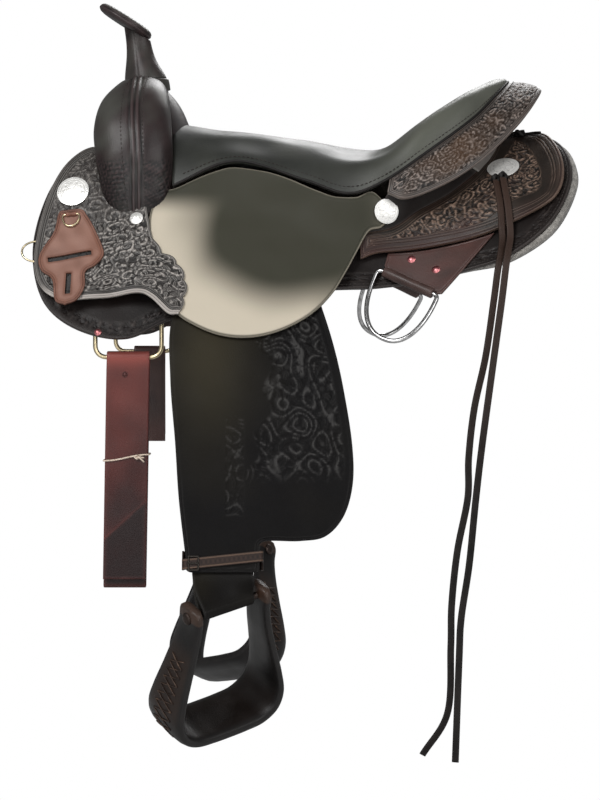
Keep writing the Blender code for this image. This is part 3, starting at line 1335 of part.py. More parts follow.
def make_rear_rigging():
    """The rear rigging straps with their rolls, and the dees in them."""
    level = GAP + 0.0001
    start, end = hinge_line(*REAR_ROLL, level, ROLL_RADIUS)
    outline = [(0.109, 0.208), (0.114, 0.190), (0.180, 0.196), (0.250, 0.203), (0.212, 0.238), (0.181, 0.266),
               (0.174, 0.264), (0.112, 0.219)]
    plate = back_sheet("rear_rigging_strap_near", outline, level, LOOP_LEATHER)
    loop_tube(plate, start, end, ROLL_RADIUS, REAR_DEE_WIRE / 2 + RUNNING_GAP, "dark_leather",
              "rear_rigging_strap_near")
    off_side(plate, "rear_rigging_strap_off", "dark_leather")
    middle, axis = (start + end) / 2, unit(end - start)
    _, _, normal = back_frame((REAR_ROLL[0] + REAR_ROLL[2]) / 2, (REAR_ROLL[1] + REAR_ROLL[3]) / 2)
    down = unit(np.cross(unit(normal - (normal @ axis) * axis), axis))
    down = down if down[2] < 0 else -down
    shape = dee_outline(REAR_DEE_WIDTH, REAR_DEE_DROP, 0.0045, 2.3, REAR_DEE_SKEW)
    dee = wire_ring("rear_dee_near", shape, REAR_DEE_WIRE, placed(middle, axis, -down), "steel")
    mirror_curve(dee, "rear_dee_off", "steel")


def mirror_curve(obj, name, look):
    """The off side's copy of a near-side wire ring, with its own origin on its mirrored axis."""
    other = bpy.data.objects.new(name, obj.data.copy())
    bpy.context.scene.collection.objects.link(other)
    near = obj.matrix_world
    flip = Matrix.Scale(-1, 4, Vector((0, 1, 0)))
    other.matrix_world = flip @ near @ Matrix.Scale(-1, 4, Vector((0, 0, 1)))
    bpy.context.view_layer.update()
    return finish(other, name, look)


def rounded_outline(width, drop, top, bottom):
    """A rectangle hanging below the x axis, with these corner radii."""
    half = width / 2
    points = []
    for x, y, radius, first in ((half, 0.0, top, 90), (half, -drop, bottom, 0), (-half, -drop, bottom, -90),
                                (-half, 0.0, top, -180)):
        inward = -1 if x > 0 else 1
        centre = (x + inward * radius, y - radius if y == 0.0 else y + radius)
        for a in np.radians(np.linspace(first, first - 90, 5)):
            points.append((centre[0] + radius * math.cos(a), centre[1] + radius * math.sin(a)))
    return points


def make_front_rigging():
    """The front rigging loops under the skirts, with the dees that hang in them."""
    x_start, x_end, s = FRONT_ROLL
    level = -SKIRT_THICKNESS - GAP
    outline = [(x_start, s + 0.001), (x_start, s + 0.026), (x_end, s + 0.026), (x_end, s + 0.001)]
    plate = back_sheet("front_rigging_loop_near", outline, level - LOOP_LEATHER, LOOP_LEATHER)
    start, end = (sheet_point(x, s, level - ROLL_RADIUS) for x in (x_start, x_end))
    loop_tube(plate, start, end, ROLL_RADIUS, FRONT_DEE_WIRE / 2 + RUNNING_GAP, "dark_leather",
              "front_rigging_loop_near")
    off_side(plate, "front_rigging_loop_off", "dark_leather")
    middle = (start + end) / 2
    outline = rounded_outline(FRONT_DEE_WIDTH, FRONT_DEE_DROP, 0.0055, 0.0138)
    dee = wire_ring("front_dee_near", outline, FRONT_DEE_WIRE, placed(middle, (1, 0, 0), (0, 0, 1)), "brass")
    mirror_curve(dee, "front_dee_off", "brass")
    return middle


def make_breast_rings():
    """The small rings at the front edge for a breast collar."""
    start, end = hinge_line(*BREAST_ROLL, GAP, SMALL_ROLL_RADIUS)
    x, s0, _, s1 = BREAST_ROLL
    outline = [(x - 0.0005, s0 + 0.003), (x + 0.030, s0 + 0.004), (x + 0.036, (s0 + s1) / 2),
               (x + 0.030, s1 - 0.004), (x - 0.0005, s1 - 0.003)]
    plate = back_sheet("breast_loop_near", outline, GAP, 0.0013)
    loop_tube(plate, start, end, SMALL_ROLL_RADIUS, BREAST_DEE_WIRE / 2 + RUNNING_GAP, "dark_leather",
              "breast_loop_near")
    off_side(plate, "breast_loop_off", "dark_leather")
    middle, axis = (start + end) / 2, unit(end - start)
    _, _, normal = back_frame(x, (s0 + s1) / 2)
    forward = unit(np.cross(normal, axis))
    forward = forward if forward[0] < 0 else -forward
    dee = wire_ring("breast_dee_near", dee_outline(BREAST_DEE_WIDTH, BREAST_DEE_DROP, 0.003, 2.2),
                    BREAST_DEE_WIRE, placed(middle, axis, -forward), "brass")
    mirror_curve(dee, "breast_dee_off", "brass")


# Latigo and billet


def make_latigo(dee_middle):
    """The latigo, folded over the near front dee's lower bar, its tie, and the off side's billet."""
    bar = dee_middle - np.array([0, 0, FRONT_DEE_DROP])
    step = LATIGO_THICKNESS + LAYER_GAP
    over = FRONT_DEE_WIRE / 2 + GAP + LATIGO_THICKNESS / 2
    outer = 1.5 * step + 0.00005
    path = [(-outer, LATIGO_LENGTH - 0.012), (-outer, 0.235), (-outer, 0.110), (-outer, 0.030), (-over, 0.004)]
    path += [(-over * math.cos(a), -over * math.sin(a)) for a in np.radians([0, 36, 72, 108, 144, 180])]
    path += [(over, 0.004), (outer, 0.030), (outer, 0.110), (outer, 0.235), (outer, LATIGO_LENGTH - 0.008)]
    path += turn(LATIGO_LENGTH - 0.004, 1.0, outer)
    path += [(step / 2, LATIGO_LENGTH - 0.008), (step / 2, 0.235), (step / 2, 0.110), (step / 2, 0.040)]
    path += turn(0.036, -1.0, step / 2)
    path += [(-step / 2, 0.040), (-step / 2, 0.110), (-step / 2, 0.235), (-step / 2, LATIGO_LENGTH - 0.016)]
    hang_strap("latigo", bar, path, LATIGO_WIDTH, LATIGO_LEAN)
    middle = bar + np.array([LATIGO_LEAN * TIE_DROP, 0.0, -TIE_DROP])
    half_w = LATIGO_WIDTH / 2 + 2 * GAP + TIE_RADIUS
    half_t = outer + LATIGO_THICKNESS / 2 + 2 * GAP + TIE_RADIUS
    corner = 0.003
    outline = []
    for x, y, first in ((half_w, half_t, 90), (half_w, -half_t, 0), (-half_w, -half_t, -90),
                        (-half_w, half_t, -180)):
        for a in np.radians(np.linspace(first, first - 90, 4)):
            outline.append((x - math.copysign(corner, x) + corner * math.cos(a),
                            y - math.copysign(corner, y) + corner * math.sin(a)))
    wire_ring("latigo_tie", outline, 2 * TIE_RADIUS, placed(middle, (1, 0, 0), (0, 1, 0)), "cord")
    make_billet(bar * (1, -1, 1), over)


def hang_strap(name, bar, path, width, lean):
    """A strap that hangs from a bar, along a path of places outwards and drops below the bar."""
    centres, normals = [], []
    for k, (u, d) in enumerate(path):
        before, after = path[max(k - 1, 0)], path[min(k + 1, len(path) - 1)]
        along = unit((after[0] - before[0], after[1] - before[1]))
        centres.append(bar + np.array([lean * max(d, 0.0), u, -d]))
        normals.append(np.array([0.0, along[1], along[0]]))
    widths = [np.array([1.0, 0.0, 0.0])] * len(path)
    return strap(name, centres, widths, normals, width, LATIGO_THICKNESS, look="latigo_leather")


def turn(drop, way, start):
    """A half turn of a strap to its next layer; way is 1 at the bottom and -1 at the top."""
    half = (LATIGO_THICKNESS + LAYER_GAP) / 2
    angles = np.radians([0, 60, 120, 180])
    return [(start - half + half * math.cos(a), drop + way * half * math.sin(a)) for a in angles]


def make_billet(bar, over):
    """The off billet: one strap folded over the off dee's lower bar, its two ends together."""
    apart = LATIGO_THICKNESS / 2 + LAYER_GAP / 2
    path = [(-apart, BILLET_LENGTH), (-apart, 0.060), (-apart, 0.030), (-over, 0.004)]
    path += [(-over * math.cos(a), -over * math.sin(a)) for a in np.radians([0, 36, 72, 108, 144, 180])]
    path += [(over, 0.004), (apart, 0.030), (apart, 0.060), (apart, BILLET_LENGTH - 0.010)]
    hang_strap("off_billet", bar + np.array([BILLET_SHIFT, 0.0, 0.0]), path, BILLET_WIDTH, 0.0)


# Keeper and silver

KEEPER_EDGE = [
    (-0.308, 0.1392), (-0.284, 0.1392), (-0.275, 0.148), (-0.266, 0.162), (-0.254, 0.188), (-0.252, 0.203),
    (-0.262, 0.217), (-0.274, 0.226), (-0.274, 0.247), (-0.283, 0.266), (-0.299, 0.272), (-0.312, 0.264),
    (-0.317, 0.234), (-0.331, 0.221), (-0.336, 0.205), (-0.331, 0.188), (-0.318, 0.166), (-0.313, 0.143),
]
KEEPER_SLOTS = [
    [(-0.324, 0.202), (-0.268, 0.195), (-0.267, 0.202), (-0.323, 0.209)],
    [(-0.2990, 0.226), (-0.2920, 0.226), (-0.2925, 0.257), (-0.2995, 0.257)],
]


def make_keeper(front_level):
    """The latigo keeper on the front jockey, with its slots, and the small ring at its top."""
    level = front_level + JOCKEY_THICKNESS + GAP
    keeper = back_sheet("latigo_keeper", [tuple(p) for p in closed_spline(KEEPER_EDGE, 1)], level, LOOP_LEATHER)
    for k, slot in enumerate(KEEPER_SLOTS):
        cut(keeper, flank_prism(f"keeper_slot_{k}", slot, -0.004, 0.034))
    x, s = KEEPER_ROLL_CENTRE
    radius = KEEPER_DEE_WIRE / 2 + RUNNING_GAP + 0.0013
    centre, tail, down = seat_disc(x, s, level + LOOP_LEATHER, KEEPER_DEE_DROP * 0.8)
    middle = centre + np.cross(tail, down) * np.sign(np.cross(tail, down)[2]) * (radius - 0.0014)
    start, end = middle - tail * 0.0070, middle + tail * 0.0070
    loop_tube(keeper, start, end, radius, KEEPER_DEE_WIRE / 2 + RUNNING_GAP, "keeper_leather", "latigo_keeper")
    wire_ring("keeper_dee", dee_outline(KEEPER_DEE_WIDTH, KEEPER_DEE_DROP, 0.003, 2.2), KEEPER_DEE_WIRE,
              placed(middle, tail, -down), "brass")


def sheet_frame(x, s, level):
    """Unit vectors at (x, s) of a sheet at this level: towards the tail, down the side and outwards."""
    step = 0.012
    xs, ss = np.array([x + step, x - step, x, x]), np.array([s, s, s + step, s - step])
    ends = back_point(xs, ss, on_facets(level[..., None], xs, ss)[:, 0])
    tail, down = unit(ends[0] - ends[1]), ends[2] - ends[3]
    down = unit(down - (down @ tail) * tail)
    return tail, down, np.cross(tail, down) * np.sign(np.cross(tail, down)[2])


def seat_disc(x, s, level, radius):
    """A disc's centre and axes, so that it just clears the surface at this level under it."""
    tail, down, out = sheet_frame(x, s, level)
    centre = sheet_point(x, s, float(on_facets(level[..., None], x, s)[0]))
    rise = 0.0
    for share in (0.35, 0.7, 1.0):
        for a in np.arange(16) * math.pi / 8:
            u, w = radius * share * math.cos(a), radius * share * math.sin(a)
            beside = back_point(x + u, s + w, on_facets(level[..., None], x + u, s + w)[0])
            rise = max(rise, float((beside.reshape(3) - centre) @ out))
    return centre + out * (rise + 0.0003), tail, down


def concho(name, x, s, level, radius, look="silver", stretch=1.0, tilt=0.0):
    """A domed disc of engraved silver on the leather, both sides."""
    centre, tail, down = seat_disc(x, s, level, radius)
    long_way = math.cos(tilt) * tail + math.sin(tilt) * down
    cross_way = math.cos(tilt) * down - math.sin(tilt) * tail
    thick = CONCHO_THICKNESS
    dome = [(0.0, 1.0), (0.45, 0.9), (0.80, 0.62), (0.97, 0.42), (1.0, 0.25), (0.98, 0.0), (0.0, 0.0)]
    profile = [(radius * share, thick * height) for share, height in dome]
    outward = np.cross(long_way, cross_way)[2] > 0
    matrix = placed(centre, long_way, cross_way if outward else -cross_way)
    disc = turned(name + "_near", profile, matrix, 20, look, stretch)
    off_side(disc, name + "_off", look)


# Rear lace and saddle strings


def make_rear_lace():
    """The lace band that ties the rear jockeys together over the loin."""
    top = rear_jockey_height() + JOCKEY_THICKNESS
    half = LACE_WIDTH / 2
    rings = []
    for x in LACE_X:
        lift = float(on_facets(top[..., None], x, half)[0]) + GAP
        edge = sheet_point(x, half, lift)
        thick = np.array([0.0, 0.0, LACE_THICKNESS])
        ridge = np.array([x, 0.0, edge[2] - edge[1] * LACE_RISE])
        rings.append([edge, ridge, ridge + thick, edge + thick])
    rings = np.array(rings)
    top_grid, bottom_grid = rings[:, [2, 3]], rings[:, [1, 0]]
    points, faces = slab(top_grid, bottom_grid, ("first_column",))
    mirrored("rear_lace", points, faces, "dark_leather")


# Each string: its places (x, s) on the leather, then its points in the air.
STRING_ON_LEATHER = {
    "saddle_string_long_near": [
        (0.2600, 0.1325), (0.2615, 0.155), (0.2630, 0.178), (0.2620, 0.202), (0.2600, 0.224), (0.2570, 0.2455),
    ],
    "saddle_string_short_near": [
        (0.2690, 0.1325), (0.2705, 0.155), (0.2720, 0.178), (0.2720, 0.202), (0.2700, 0.224), (0.2665, 0.2455),
    ],
}
STRING_IN_AIR = {
    "saddle_string_long_near": [
        (0.2500, -0.2050, -0.127), (0.2450, -0.2065, -0.165), (0.2350, -0.2065, -0.235), (0.2210, -0.2065, -0.300),
        (0.2140, -0.2065, -0.363), (0.2130, -0.2065, -0.414), (0.2000, -0.2065, -0.482),
        (0.1930, -0.2065, -0.550), (0.1920, -0.2065, -0.605), (0.1880, -0.2065, -0.689),
        (0.1560, -0.2065, -0.743),
    ],
    "saddle_string_short_near": [
        (0.2600, -0.2060, -0.124), (0.2550, -0.2080, -0.165), (0.2450, -0.2080, -0.240),
        (0.2310, -0.2080, -0.346), (0.2230, -0.2080, -0.417), (0.2150, -0.2080, -0.499),
        (0.2050, -0.2080, -0.568), (0.2025, -0.2080, -0.620), (0.1980, -0.2080, -0.752),
    ],
}


def resampled(keys, step):
    """Points at equal steps along a smooth curve through the keys."""
    curve = spline(keys, np.linspace(0, 1, 400))
    run = np.concatenate([[0], np.cumsum(np.linalg.norm(np.diff(curve, axis=0), axis=1))])
    count = max(2, int(round(run[-1] / step)) + 1)
    places = np.linspace(0, run[-1], count)
    return np.stack([np.interp(places, run, curve[:, k]) for k in range(3)], -1)


def make_strings():
    """The two saddle strings that hang from the near rear concho."""
    top = rear_jockey_height() + JOCKEY_THICKNESS
    for name, places in STRING_ON_LEATHER.items():
        keys = []
        for x, s in places:
            under = float(on_facets(top[..., None], x, s)[0]) if s < 0.21 else STRING_LIFT
            keys.append(sheet_point(x, s, under + STRING_DIAMETER / 2 + STRING_LIFT))
        points = resampled(keys + STRING_IN_AIR[name], STRING_STEP)
        curve = bpy.data.curves.new(name, "CURVE")
        curve.dimensions = "3D"
        curve.bevel_depth = STRING_DIAMETER / 2
        curve.bevel_resolution = 2
        curve.use_fill_caps = True
        line = curve.splines.new("POLY")
        line.points.add(len(points) - 1)
        for place, (x, y, z) in zip(line.points, points):
            place.co = (x, y, z, 1.0)
        obj = bpy.data.objects.new(name, curve)
        bpy.context.scene.collection.objects.link(obj)
        finish(obj, name, "dark_leather")


def move_origin(place, name):
    """Puts an object's origin at a place on the axis it swings about, without moving its shape."""
    shift = Vector([float(value) for value in place])
    obj = bpy.data.objects[name]
    obj.data.transform(Matrix.Translation(-shift))
    obj.matrix_world = Matrix.Translation(shift)


def hang_from(place, *names):
    """Puts the origins of the near and off pieces of these names on the axis they swing about."""
    for name in names:
        move_origin(place, name + "_near")
        move_origin(np.asarray(place) * (1, -1, 1), name + "_off")


def clear_scene():
    """Empties the scene and makes the collections for the saddle and for its cutters."""
    for obj in list(bpy.data.objects):
        bpy.data.objects.remove(obj)
    for name in (COLLECTION, COLLECTION + "_cutters"):
        collection = bpy.data.collections.new(name)
        bpy.context.scene.collection.children.link(collection)
    bpy.data.collections[COLLECTION + "_cutters"].hide_render = True


def main():
    """Builds the saddle from the inside out."""
    clear_scene()
    make_bars()
    make_skirts()
    room = make_fork()
    make_jockeys(room)
    make_seat(room)
    bpy.data.objects.remove(room)
    make_horn()
    make_cantle()
    make_roll()
    make_fender()
    make_stirrup_leather()
    make_hobble_strap()
    make_stirrup()
    make_rear_rigging()
    dee = make_front_rigging()
    make_breast_rings()
    make_latigo(dee)
    hang_from(flank_point(PIVOT_X, PIVOT_V, 0.0), "fender", "stirrup_leather", "hobble_strap")
    hang_from(BOLT_CENTRE, "stirrup", "stirrup_bolt")
    move_origin(dee - np.array([0, 0, FRONT_DEE_DROP]), "latigo")
    move_origin((dee - np.array([0, 0, FRONT_DEE_DROP])) * (1, -1, 1), "off_billet")
    front, rear = front_jockey_height(), rear_jockey_height()
    make_keeper(front)
    seat_level = level_over_back(seat_jockey_height)
    concho("front_concho", -0.295, 0.1165, front + JOCKEY_THICKNESS, FRONT_CONCHO, tilt=0.1)
    concho("side_concho", *SIDE_CONCHO_PLACE, seat_level + JOCKEY_THICKNESS, SIDE_CONCHO)
    concho("rear_concho", 0.270, 0.107, rear + JOCKEY_THICKNESS, REAR_CONCHO)
    make_rear_lace()
    make_strings()


main()
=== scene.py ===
"""Looks of a western trail saddle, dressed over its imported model.

Metres, +X towards the horse's tail, -Y the near side, +Z up. The leather lies on the same two base
surfaces as the solids: the back form, read at (x, s) with s running down the side from the spine,
and the flank, read at (x, v). Every piece is worked out on a grid with numpy and rides its body.
"""

import logging
import math
from dataclasses import dataclass, field
from enum import Enum
from typing import Callable, Optional, Sequence

import bmesh
import bpy
import numpy as np
from mathutils import Matrix, Vector


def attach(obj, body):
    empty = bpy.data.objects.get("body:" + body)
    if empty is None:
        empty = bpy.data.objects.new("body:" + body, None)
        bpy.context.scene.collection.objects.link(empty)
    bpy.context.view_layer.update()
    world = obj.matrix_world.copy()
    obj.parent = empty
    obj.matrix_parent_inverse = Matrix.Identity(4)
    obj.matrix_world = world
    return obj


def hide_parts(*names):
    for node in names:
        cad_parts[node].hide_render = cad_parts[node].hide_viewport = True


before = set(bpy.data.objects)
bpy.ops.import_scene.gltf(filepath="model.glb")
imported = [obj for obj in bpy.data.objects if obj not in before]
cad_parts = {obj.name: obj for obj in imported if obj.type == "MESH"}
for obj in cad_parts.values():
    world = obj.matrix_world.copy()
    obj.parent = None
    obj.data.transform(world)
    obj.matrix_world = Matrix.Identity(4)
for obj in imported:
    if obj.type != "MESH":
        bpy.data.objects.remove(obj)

log = logging.getLogger("saddle")
Array = np.ndarray
GAP = 0.0004
RUNNING_GAP = 0.00035
TAIL = np.array([1.0, 0.0, 0.0])


def unit(vectors: Array) -> Array:
    """Vectors scaled to length one along their last axis."""
    vectors = np.asarray(vectors, float)
    return vectors / np.maximum(np.linalg.norm(vectors, axis=-1, keepdims=True), 1e-12)


def smooth(value: Array) -> Array:
    """A ramp from 0 to 1 with level ends: 3t^2 - 2t^3."""
    value = np.clip(value, 0.0, 1.0)
    return value * value * (3.0 - 2.0 * value)


def cubic(a: Array, b: Array, c: Array, d: Array, f: Array) -> Array:
    """The Catmull-Rom cubic between b and c, with a and d as the keys beside them."""
    return 0.5 * (2 * b + (c - a) * f + (2 * a - 5 * b + 4 * c - d) * f**2 + (3 * b - a - 3 * c + d) * f**3)


def spline(keys: Sequence, places: Array, to_centre: bool = False) -> Array:
    """Points of a smooth open curve through the keys; to_centre runs on into its mirror image."""
    keys = np.asarray(keys, float)
    last = len(keys) - 1
    beyond = keys[-2] * (1, -1, 1) if to_centre else 2 * keys[-1] - keys[-2]
    padded = np.vstack([2 * keys[0] - keys[1], keys, beyond])
    at = np.clip(np.asarray(places, float), 0.0, 1.0) * last
    k = np.minimum(at.astype(int), last - 1)
    return cubic(padded[k], padded[k + 1], padded[k + 2], padded[k + 3], (at - k)[:, None])


def even(keys: Sequence, count: int, closed: bool = False, sharp: bool = False) -> Array:
    """Points at equal steps along a smooth curve (or, when sharp, along straight lines) through the keys."""
    keys = np.asarray(keys, float)
    if closed:
        keys = np.vstack([keys, keys[:1]])
    if sharp:
        curve = keys
    elif closed:
        ring = np.vstack([keys[-2], keys, keys[1]])
        at = np.linspace(0, len(keys) - 1, 40 * len(keys))
        k = np.minimum(at.astype(int), len(keys) - 2)
        curve = cubic(ring[k], ring[k + 1], ring[k + 2], ring[k + 3], (at - k)[:, None])
    else:
        curve = spline(keys, np.linspace(0, 1, 40 * len(keys)))
    run = np.concatenate([[0], np.cumsum(np.linalg.norm(np.diff(curve, axis=0), axis=1))])
    places = np.linspace(0, run[-1], count + (1 if closed else 0))
    points = np.stack([np.interp(places, run, curve[:, k]) for k in range(curve.shape[1])], -1)
    return points[:-1] if closed else points


def noise(points: Array, scale: float, seed: int = 0) -> Array:
    """Smooth noise from -1 to 1: a seeded sum of eight plane waves about this wavelength."""
    rng = np.random.default_rng(seed)
    points = np.asarray(points, float)
    total = np.zeros(points.shape[:-1])
    for _ in range(8):
        way = unit(rng.normal(size=points.shape[-1]))
        total += np.sin(points @ way * (2 * math.pi / scale) * rng.uniform(0.7, 1.5) + rng.uniform(0, 6.28))
    return total / 4.0


# The base surfaces


@dataclass(frozen=True)
class BackForm:
    """The skirts' outer face over the horse's back, as nodes read smoothly at (x, s)."""

    facet: float = 0.034
    first: int = -11
    columns: int = 23
    rows: int = 13
    spine_rise: float = 0.0153
    spine_slope: float = math.radians(18.0)
    flank_slope: float = math.radians(62.0)
    rear_slope: float = math.radians(46.0)
    girth: float = 0.185

    def slope(self, x: Array, s: Array) -> Array:
        """How steeply the back falls away: from the spine's slope to the side's over the curved girth."""
        side = self.flank_slope + (self.rear_slope - self.flank_slope) * smooth((x - 0.09) / 0.25)
        return self.spine_slope + (side - self.spine_slope) * np.minimum(s / self.girth, 1.0)

    def exact(self, x: Array, s: Array) -> Array:
        """The back's points, by adding up the slope down the side, plus the withers' and the loin's rise."""
        x, s = np.broadcast_arrays(np.asarray(x, float), np.asarray(s, float))
        steps = (np.arange(100) + 0.5) / 100
        slope = self.slope(x[..., None], s[..., None] * steps)
        withers = 0.034 * smooth((-x - 0.06) / 0.22) * (1.0 - smooth(s / self.girth))
        rise = withers + 0.052 * (np.maximum(x - 0.09, 0.0) / 0.242) ** 2
        return np.stack([x, -np.cos(slope).mean(-1) * s,
                         self.spine_rise + rise - np.sin(slope).mean(-1) * s], -1)

    def nodes(self) -> tuple[Array, Array, Array, Array]:
        """The nodes' x, s, points and outward normals."""
        x, s = np.meshgrid((self.first + np.arange(self.columns)) * self.facet,
                           np.arange(self.rows) * self.facet, indexing="ij")
        along = self.exact(x + 1e-4, s) - self.exact(x - 1e-4, s)
        down = self.exact(x, s + 1e-4) - self.exact(x, np.maximum(s - 1e-4, 0.0))
        return x, s, self.exact(x, s), unit(np.cross(along, -down))

    def read(self, values: Array, x: Array, s: Array) -> Array:
        """Node values read at (x, s) by cubics along both directions."""
        wide = np.concatenate([2 * values[:1] - values[1:2], values, 2 * values[-1:] - values[-2:-1]], 0)
        wide = np.concatenate([2 * wide[:, :1] - wide[:, 1:2], wide, 2 * wide[:, -1:] - wide[:, -2:-1]], 1)
        at_x = np.clip(np.asarray(x, float) / self.facet - self.first, 0, self.columns - 1.000001)
        at_s = np.clip(np.asarray(s, float) / self.facet, 0, self.rows - 1.000001)
        i, j = at_x.astype(int), at_s.astype(int)
        pad = (...,) + (None,) * (values.ndim - 2)
        f, g = (at_x - i)[pad], (at_s - j)[pad]
        lines = [cubic(wide[i, j + k], wide[i + 1, j + k], wide[i + 2, j + k], wide[i + 3, j + k], f)
                 for k in range(4)]
        return cubic(*lines, g)


BACK = BackForm()
NODE_X, NODE_S, NODE_POINTS, NODE_NORMALS = BACK.nodes()
FLANK_DOWN = np.array([0.0, -math.cos(BACK.flank_slope), -math.sin(BACK.flank_slope)])
FLANK_OUT = np.array([0.0, -math.sin(BACK.flank_slope), math.cos(BACK.flank_slope)])
FLANK_TOP = BACK.exact(0.0, BACK.girth)


def back_point(x: Array, s: Array, t: Array) -> Array:
    """The point at height t above the back form."""
    x, s, t = np.broadcast_arrays(np.asarray(x, float), np.asarray(s, float), np.asarray(t, float))
    return BACK.read(NODE_POINTS, x, s) + t[..., None] * BACK.read(NODE_NORMALS, x, s)


def flank_point(x: Array, v: Array, n: Array) -> Array:
    """The point at (x, v, n) of the flat flank: v down, n outwards."""
    x, v, n = np.broadcast_arrays(np.asarray(x, float), np.asarray(v, float), np.asarray(n, float))
    return FLANK_TOP + x[..., None] * TAIL + (v[..., None] - BACK.girth) * FLANK_DOWN + n[..., None] * FLANK_OUT


def flank_height(points: Array) -> Array:
    """How far out of the flank plane the points lie."""
    return (np.asarray(points, float) - FLANK_TOP) @ FLANK_OUT


def flank_depth(points: Array) -> Array:
    """How far down the flank the points lie."""
    return BACK.girth + (np.asarray(points, float) - FLANK_TOP) @ FLANK_DOWN


def level_over_back(height_of: Callable[[Array, Array], Array]) -> Array:
    """Node heights above the back form of a surface given by height_of(x, v) over the flank."""
    heights = np.zeros(NODE_X.shape)
    for _ in range(12):
        points = NODE_POINTS + heights[..., None] * NODE_NORMALS
        wanted = height_of(points[..., 0], flank_depth(points))
        heights = heights + (wanted - flank_height(points)) / np.maximum(NODE_NORMALS @ FLANK_OUT, 0.3)
    return heights


@dataclass(frozen=True)
class Leathers:
    """Thicknesses of the leather layers and the heights that they lie at on the flank."""

    skirt: float = 0.0046
    fleece: float = 0.0095
    jockey: float = 0.004
    strap: float = 0.004
    fender: float = 0.004
    loop: float = 0.0030
    bar_face: float = 0.014
    bar_depth: float = 0.024
    bar_rear: float = 0.012

    @property
    def inner_leg(self) -> float:
        """Middle of the stirrup leather's inner leg."""
        return GAP + self.strap / 2

    @property
    def outer_leg_on_bar(self) -> float:
        """Middle of its outer leg where it lies on the bar."""
        return 2 * GAP + self.strap + 0.0066 + GAP + self.strap / 2

    @property
    def outer_leg(self) -> float:
        """Middle of its outer leg below the bar."""
        return self.inner_leg + self.strap + GAP

    @property
    def fender_level(self) -> float:
        """Underside of the fender."""
        return self.outer_leg + self.strap / 2 + GAP

    @property
    def seat_jockey_level(self) -> float:
        """Underside of the seat jockey on the flank."""
        return self.outer_leg_on_bar + self.strap / 2 + GAP


LEATHER = Leathers()

# Seat stations, front to rear: on the centre line, on the shoulder or crest, and on the seam
SEAT_CENTRE = [
    (-0.171, 0.0, 0.074), (-0.080, 0.0, 0.060), (0.010, 0.0, 0.049), (0.066, 0.0, 0.040),
    (0.096, 0.0, 0.0375), (0.116, 0.0, 0.0385), (0.132, 0.0, 0.042), (0.142, 0.0, 0.045),
]
SEAT_CREST = [
    (-0.167, -0.080, 0.044), (-0.082, -0.078, 0.047), (0.007, -0.095, 0.035), (0.064, -0.114, 0.019),
    (0.112, -0.121, 0.028), (0.160, -0.111, 0.068), (0.218, -0.083, 0.106), (0.275, 0.0, 0.134),
]
SEAT_SEAM = [
    (-0.166, -0.119, -0.015), (-0.085, -0.118, 0.017), (0.005, -0.138, -0.008), (0.060, -0.151, -0.026),
    (0.105, -0.151, -0.012), (0.163, -0.137, 0.027), (0.228, -0.099, 0.076), (0.2795, 0.0, 0.1295),
]
SHOULDER_PITCH = [42.0, 38.0, 30.0, 18.0, 8.0, 2.0, 0.0, 8.0]
ROLL_EDGE = [
    (0.112, -0.160, -0.026), (0.135, -0.166, -0.033), (0.174, -0.160, -0.020), (0.216, -0.144, 0.003),
    (0.259, -0.119, 0.039), (0.302, -0.077, 0.086), (0.326, 0.0, 0.1185),
]
SEAM_LINE = spline(SEAT_SEAM, np.linspace(0.0, 0.64, 41))


def seat_jockey_height(x: Array, v: Array) -> Array:
    """The seat jockey over the flank: flat below, and rising with the square of the way to the seam."""
    seam_v = np.interp(x, SEAM_LINE[:, 0], flank_depth(SEAM_LINE))
    seam_n = np.interp(x, SEAM_LINE[:, 0], flank_height(SEAM_LINE))
    rise = np.clip((seam_v + 0.075 - v) / 0.075, 0.0, 1.15) ** 2
    return LEATHER.seat_jockey_level + (seam_n - LEATHER.jockey - LEATHER.seat_jockey_level) * rise


def bar_top() -> Array:
    """Node heights of the bars' upper face."""
    front = np.minimum(level_over_back(lambda x, v: np.full(np.shape(x), LEATHER.bar_face)), LEATHER.bar_depth)
    return front + (LEATHER.bar_rear - front) * smooth((NODE_X - 0.034) / 0.06)


def front_jockey_level() -> Array:
    """Node heights of the front jockey's underside."""
    columns = np.array([-0.374, -0.340, -0.306, -0.272, -0.238, -0.204])
    overlap = LEATHER.seat_jockey_level + LEATHER.jockey + GAP
    heights = np.array([0.0060, 0.0070, 0.0100, 0.0148, 0.0148, overlap])
    flat = level_over_back(lambda x, v: np.interp(x, columns, heights))
    return np.minimum(flat, np.interp(NODE_X, columns, heights) + LEATHER.bar_depth - LEATHER.bar_face + GAP)


def rear_jockey_level() -> Array:
    """Node heights of the rear jockey's underside: over the bar, and down to the rigging strap."""
    strap_top = LEATHER.loop + 2 * GAP + 0.0008
    along = np.clip((0.306 - NODE_X) / BACK.facet, 0.0, 1.0)
    down = np.interp(NODE_S, np.array([0.0, 1.0, 5.0, 6.0]) * BACK.facet, [0.0, 1.0, 1.0, 0.0])
    level = strap_top + (LEATHER.bar_rear + GAP - strap_top) * along * down
    return np.where((NODE_S < 0.18) & (NODE_X < 0.12), np.maximum(level, bar_top() + GAP), level)


SEAT_JOCKEY_LEVEL = level_over_back(seat_jockey_height)
FRONT_JOCKEY_LEVEL = front_jockey_level()
REAR_JOCKEY_LEVEL = rear_jockey_level()


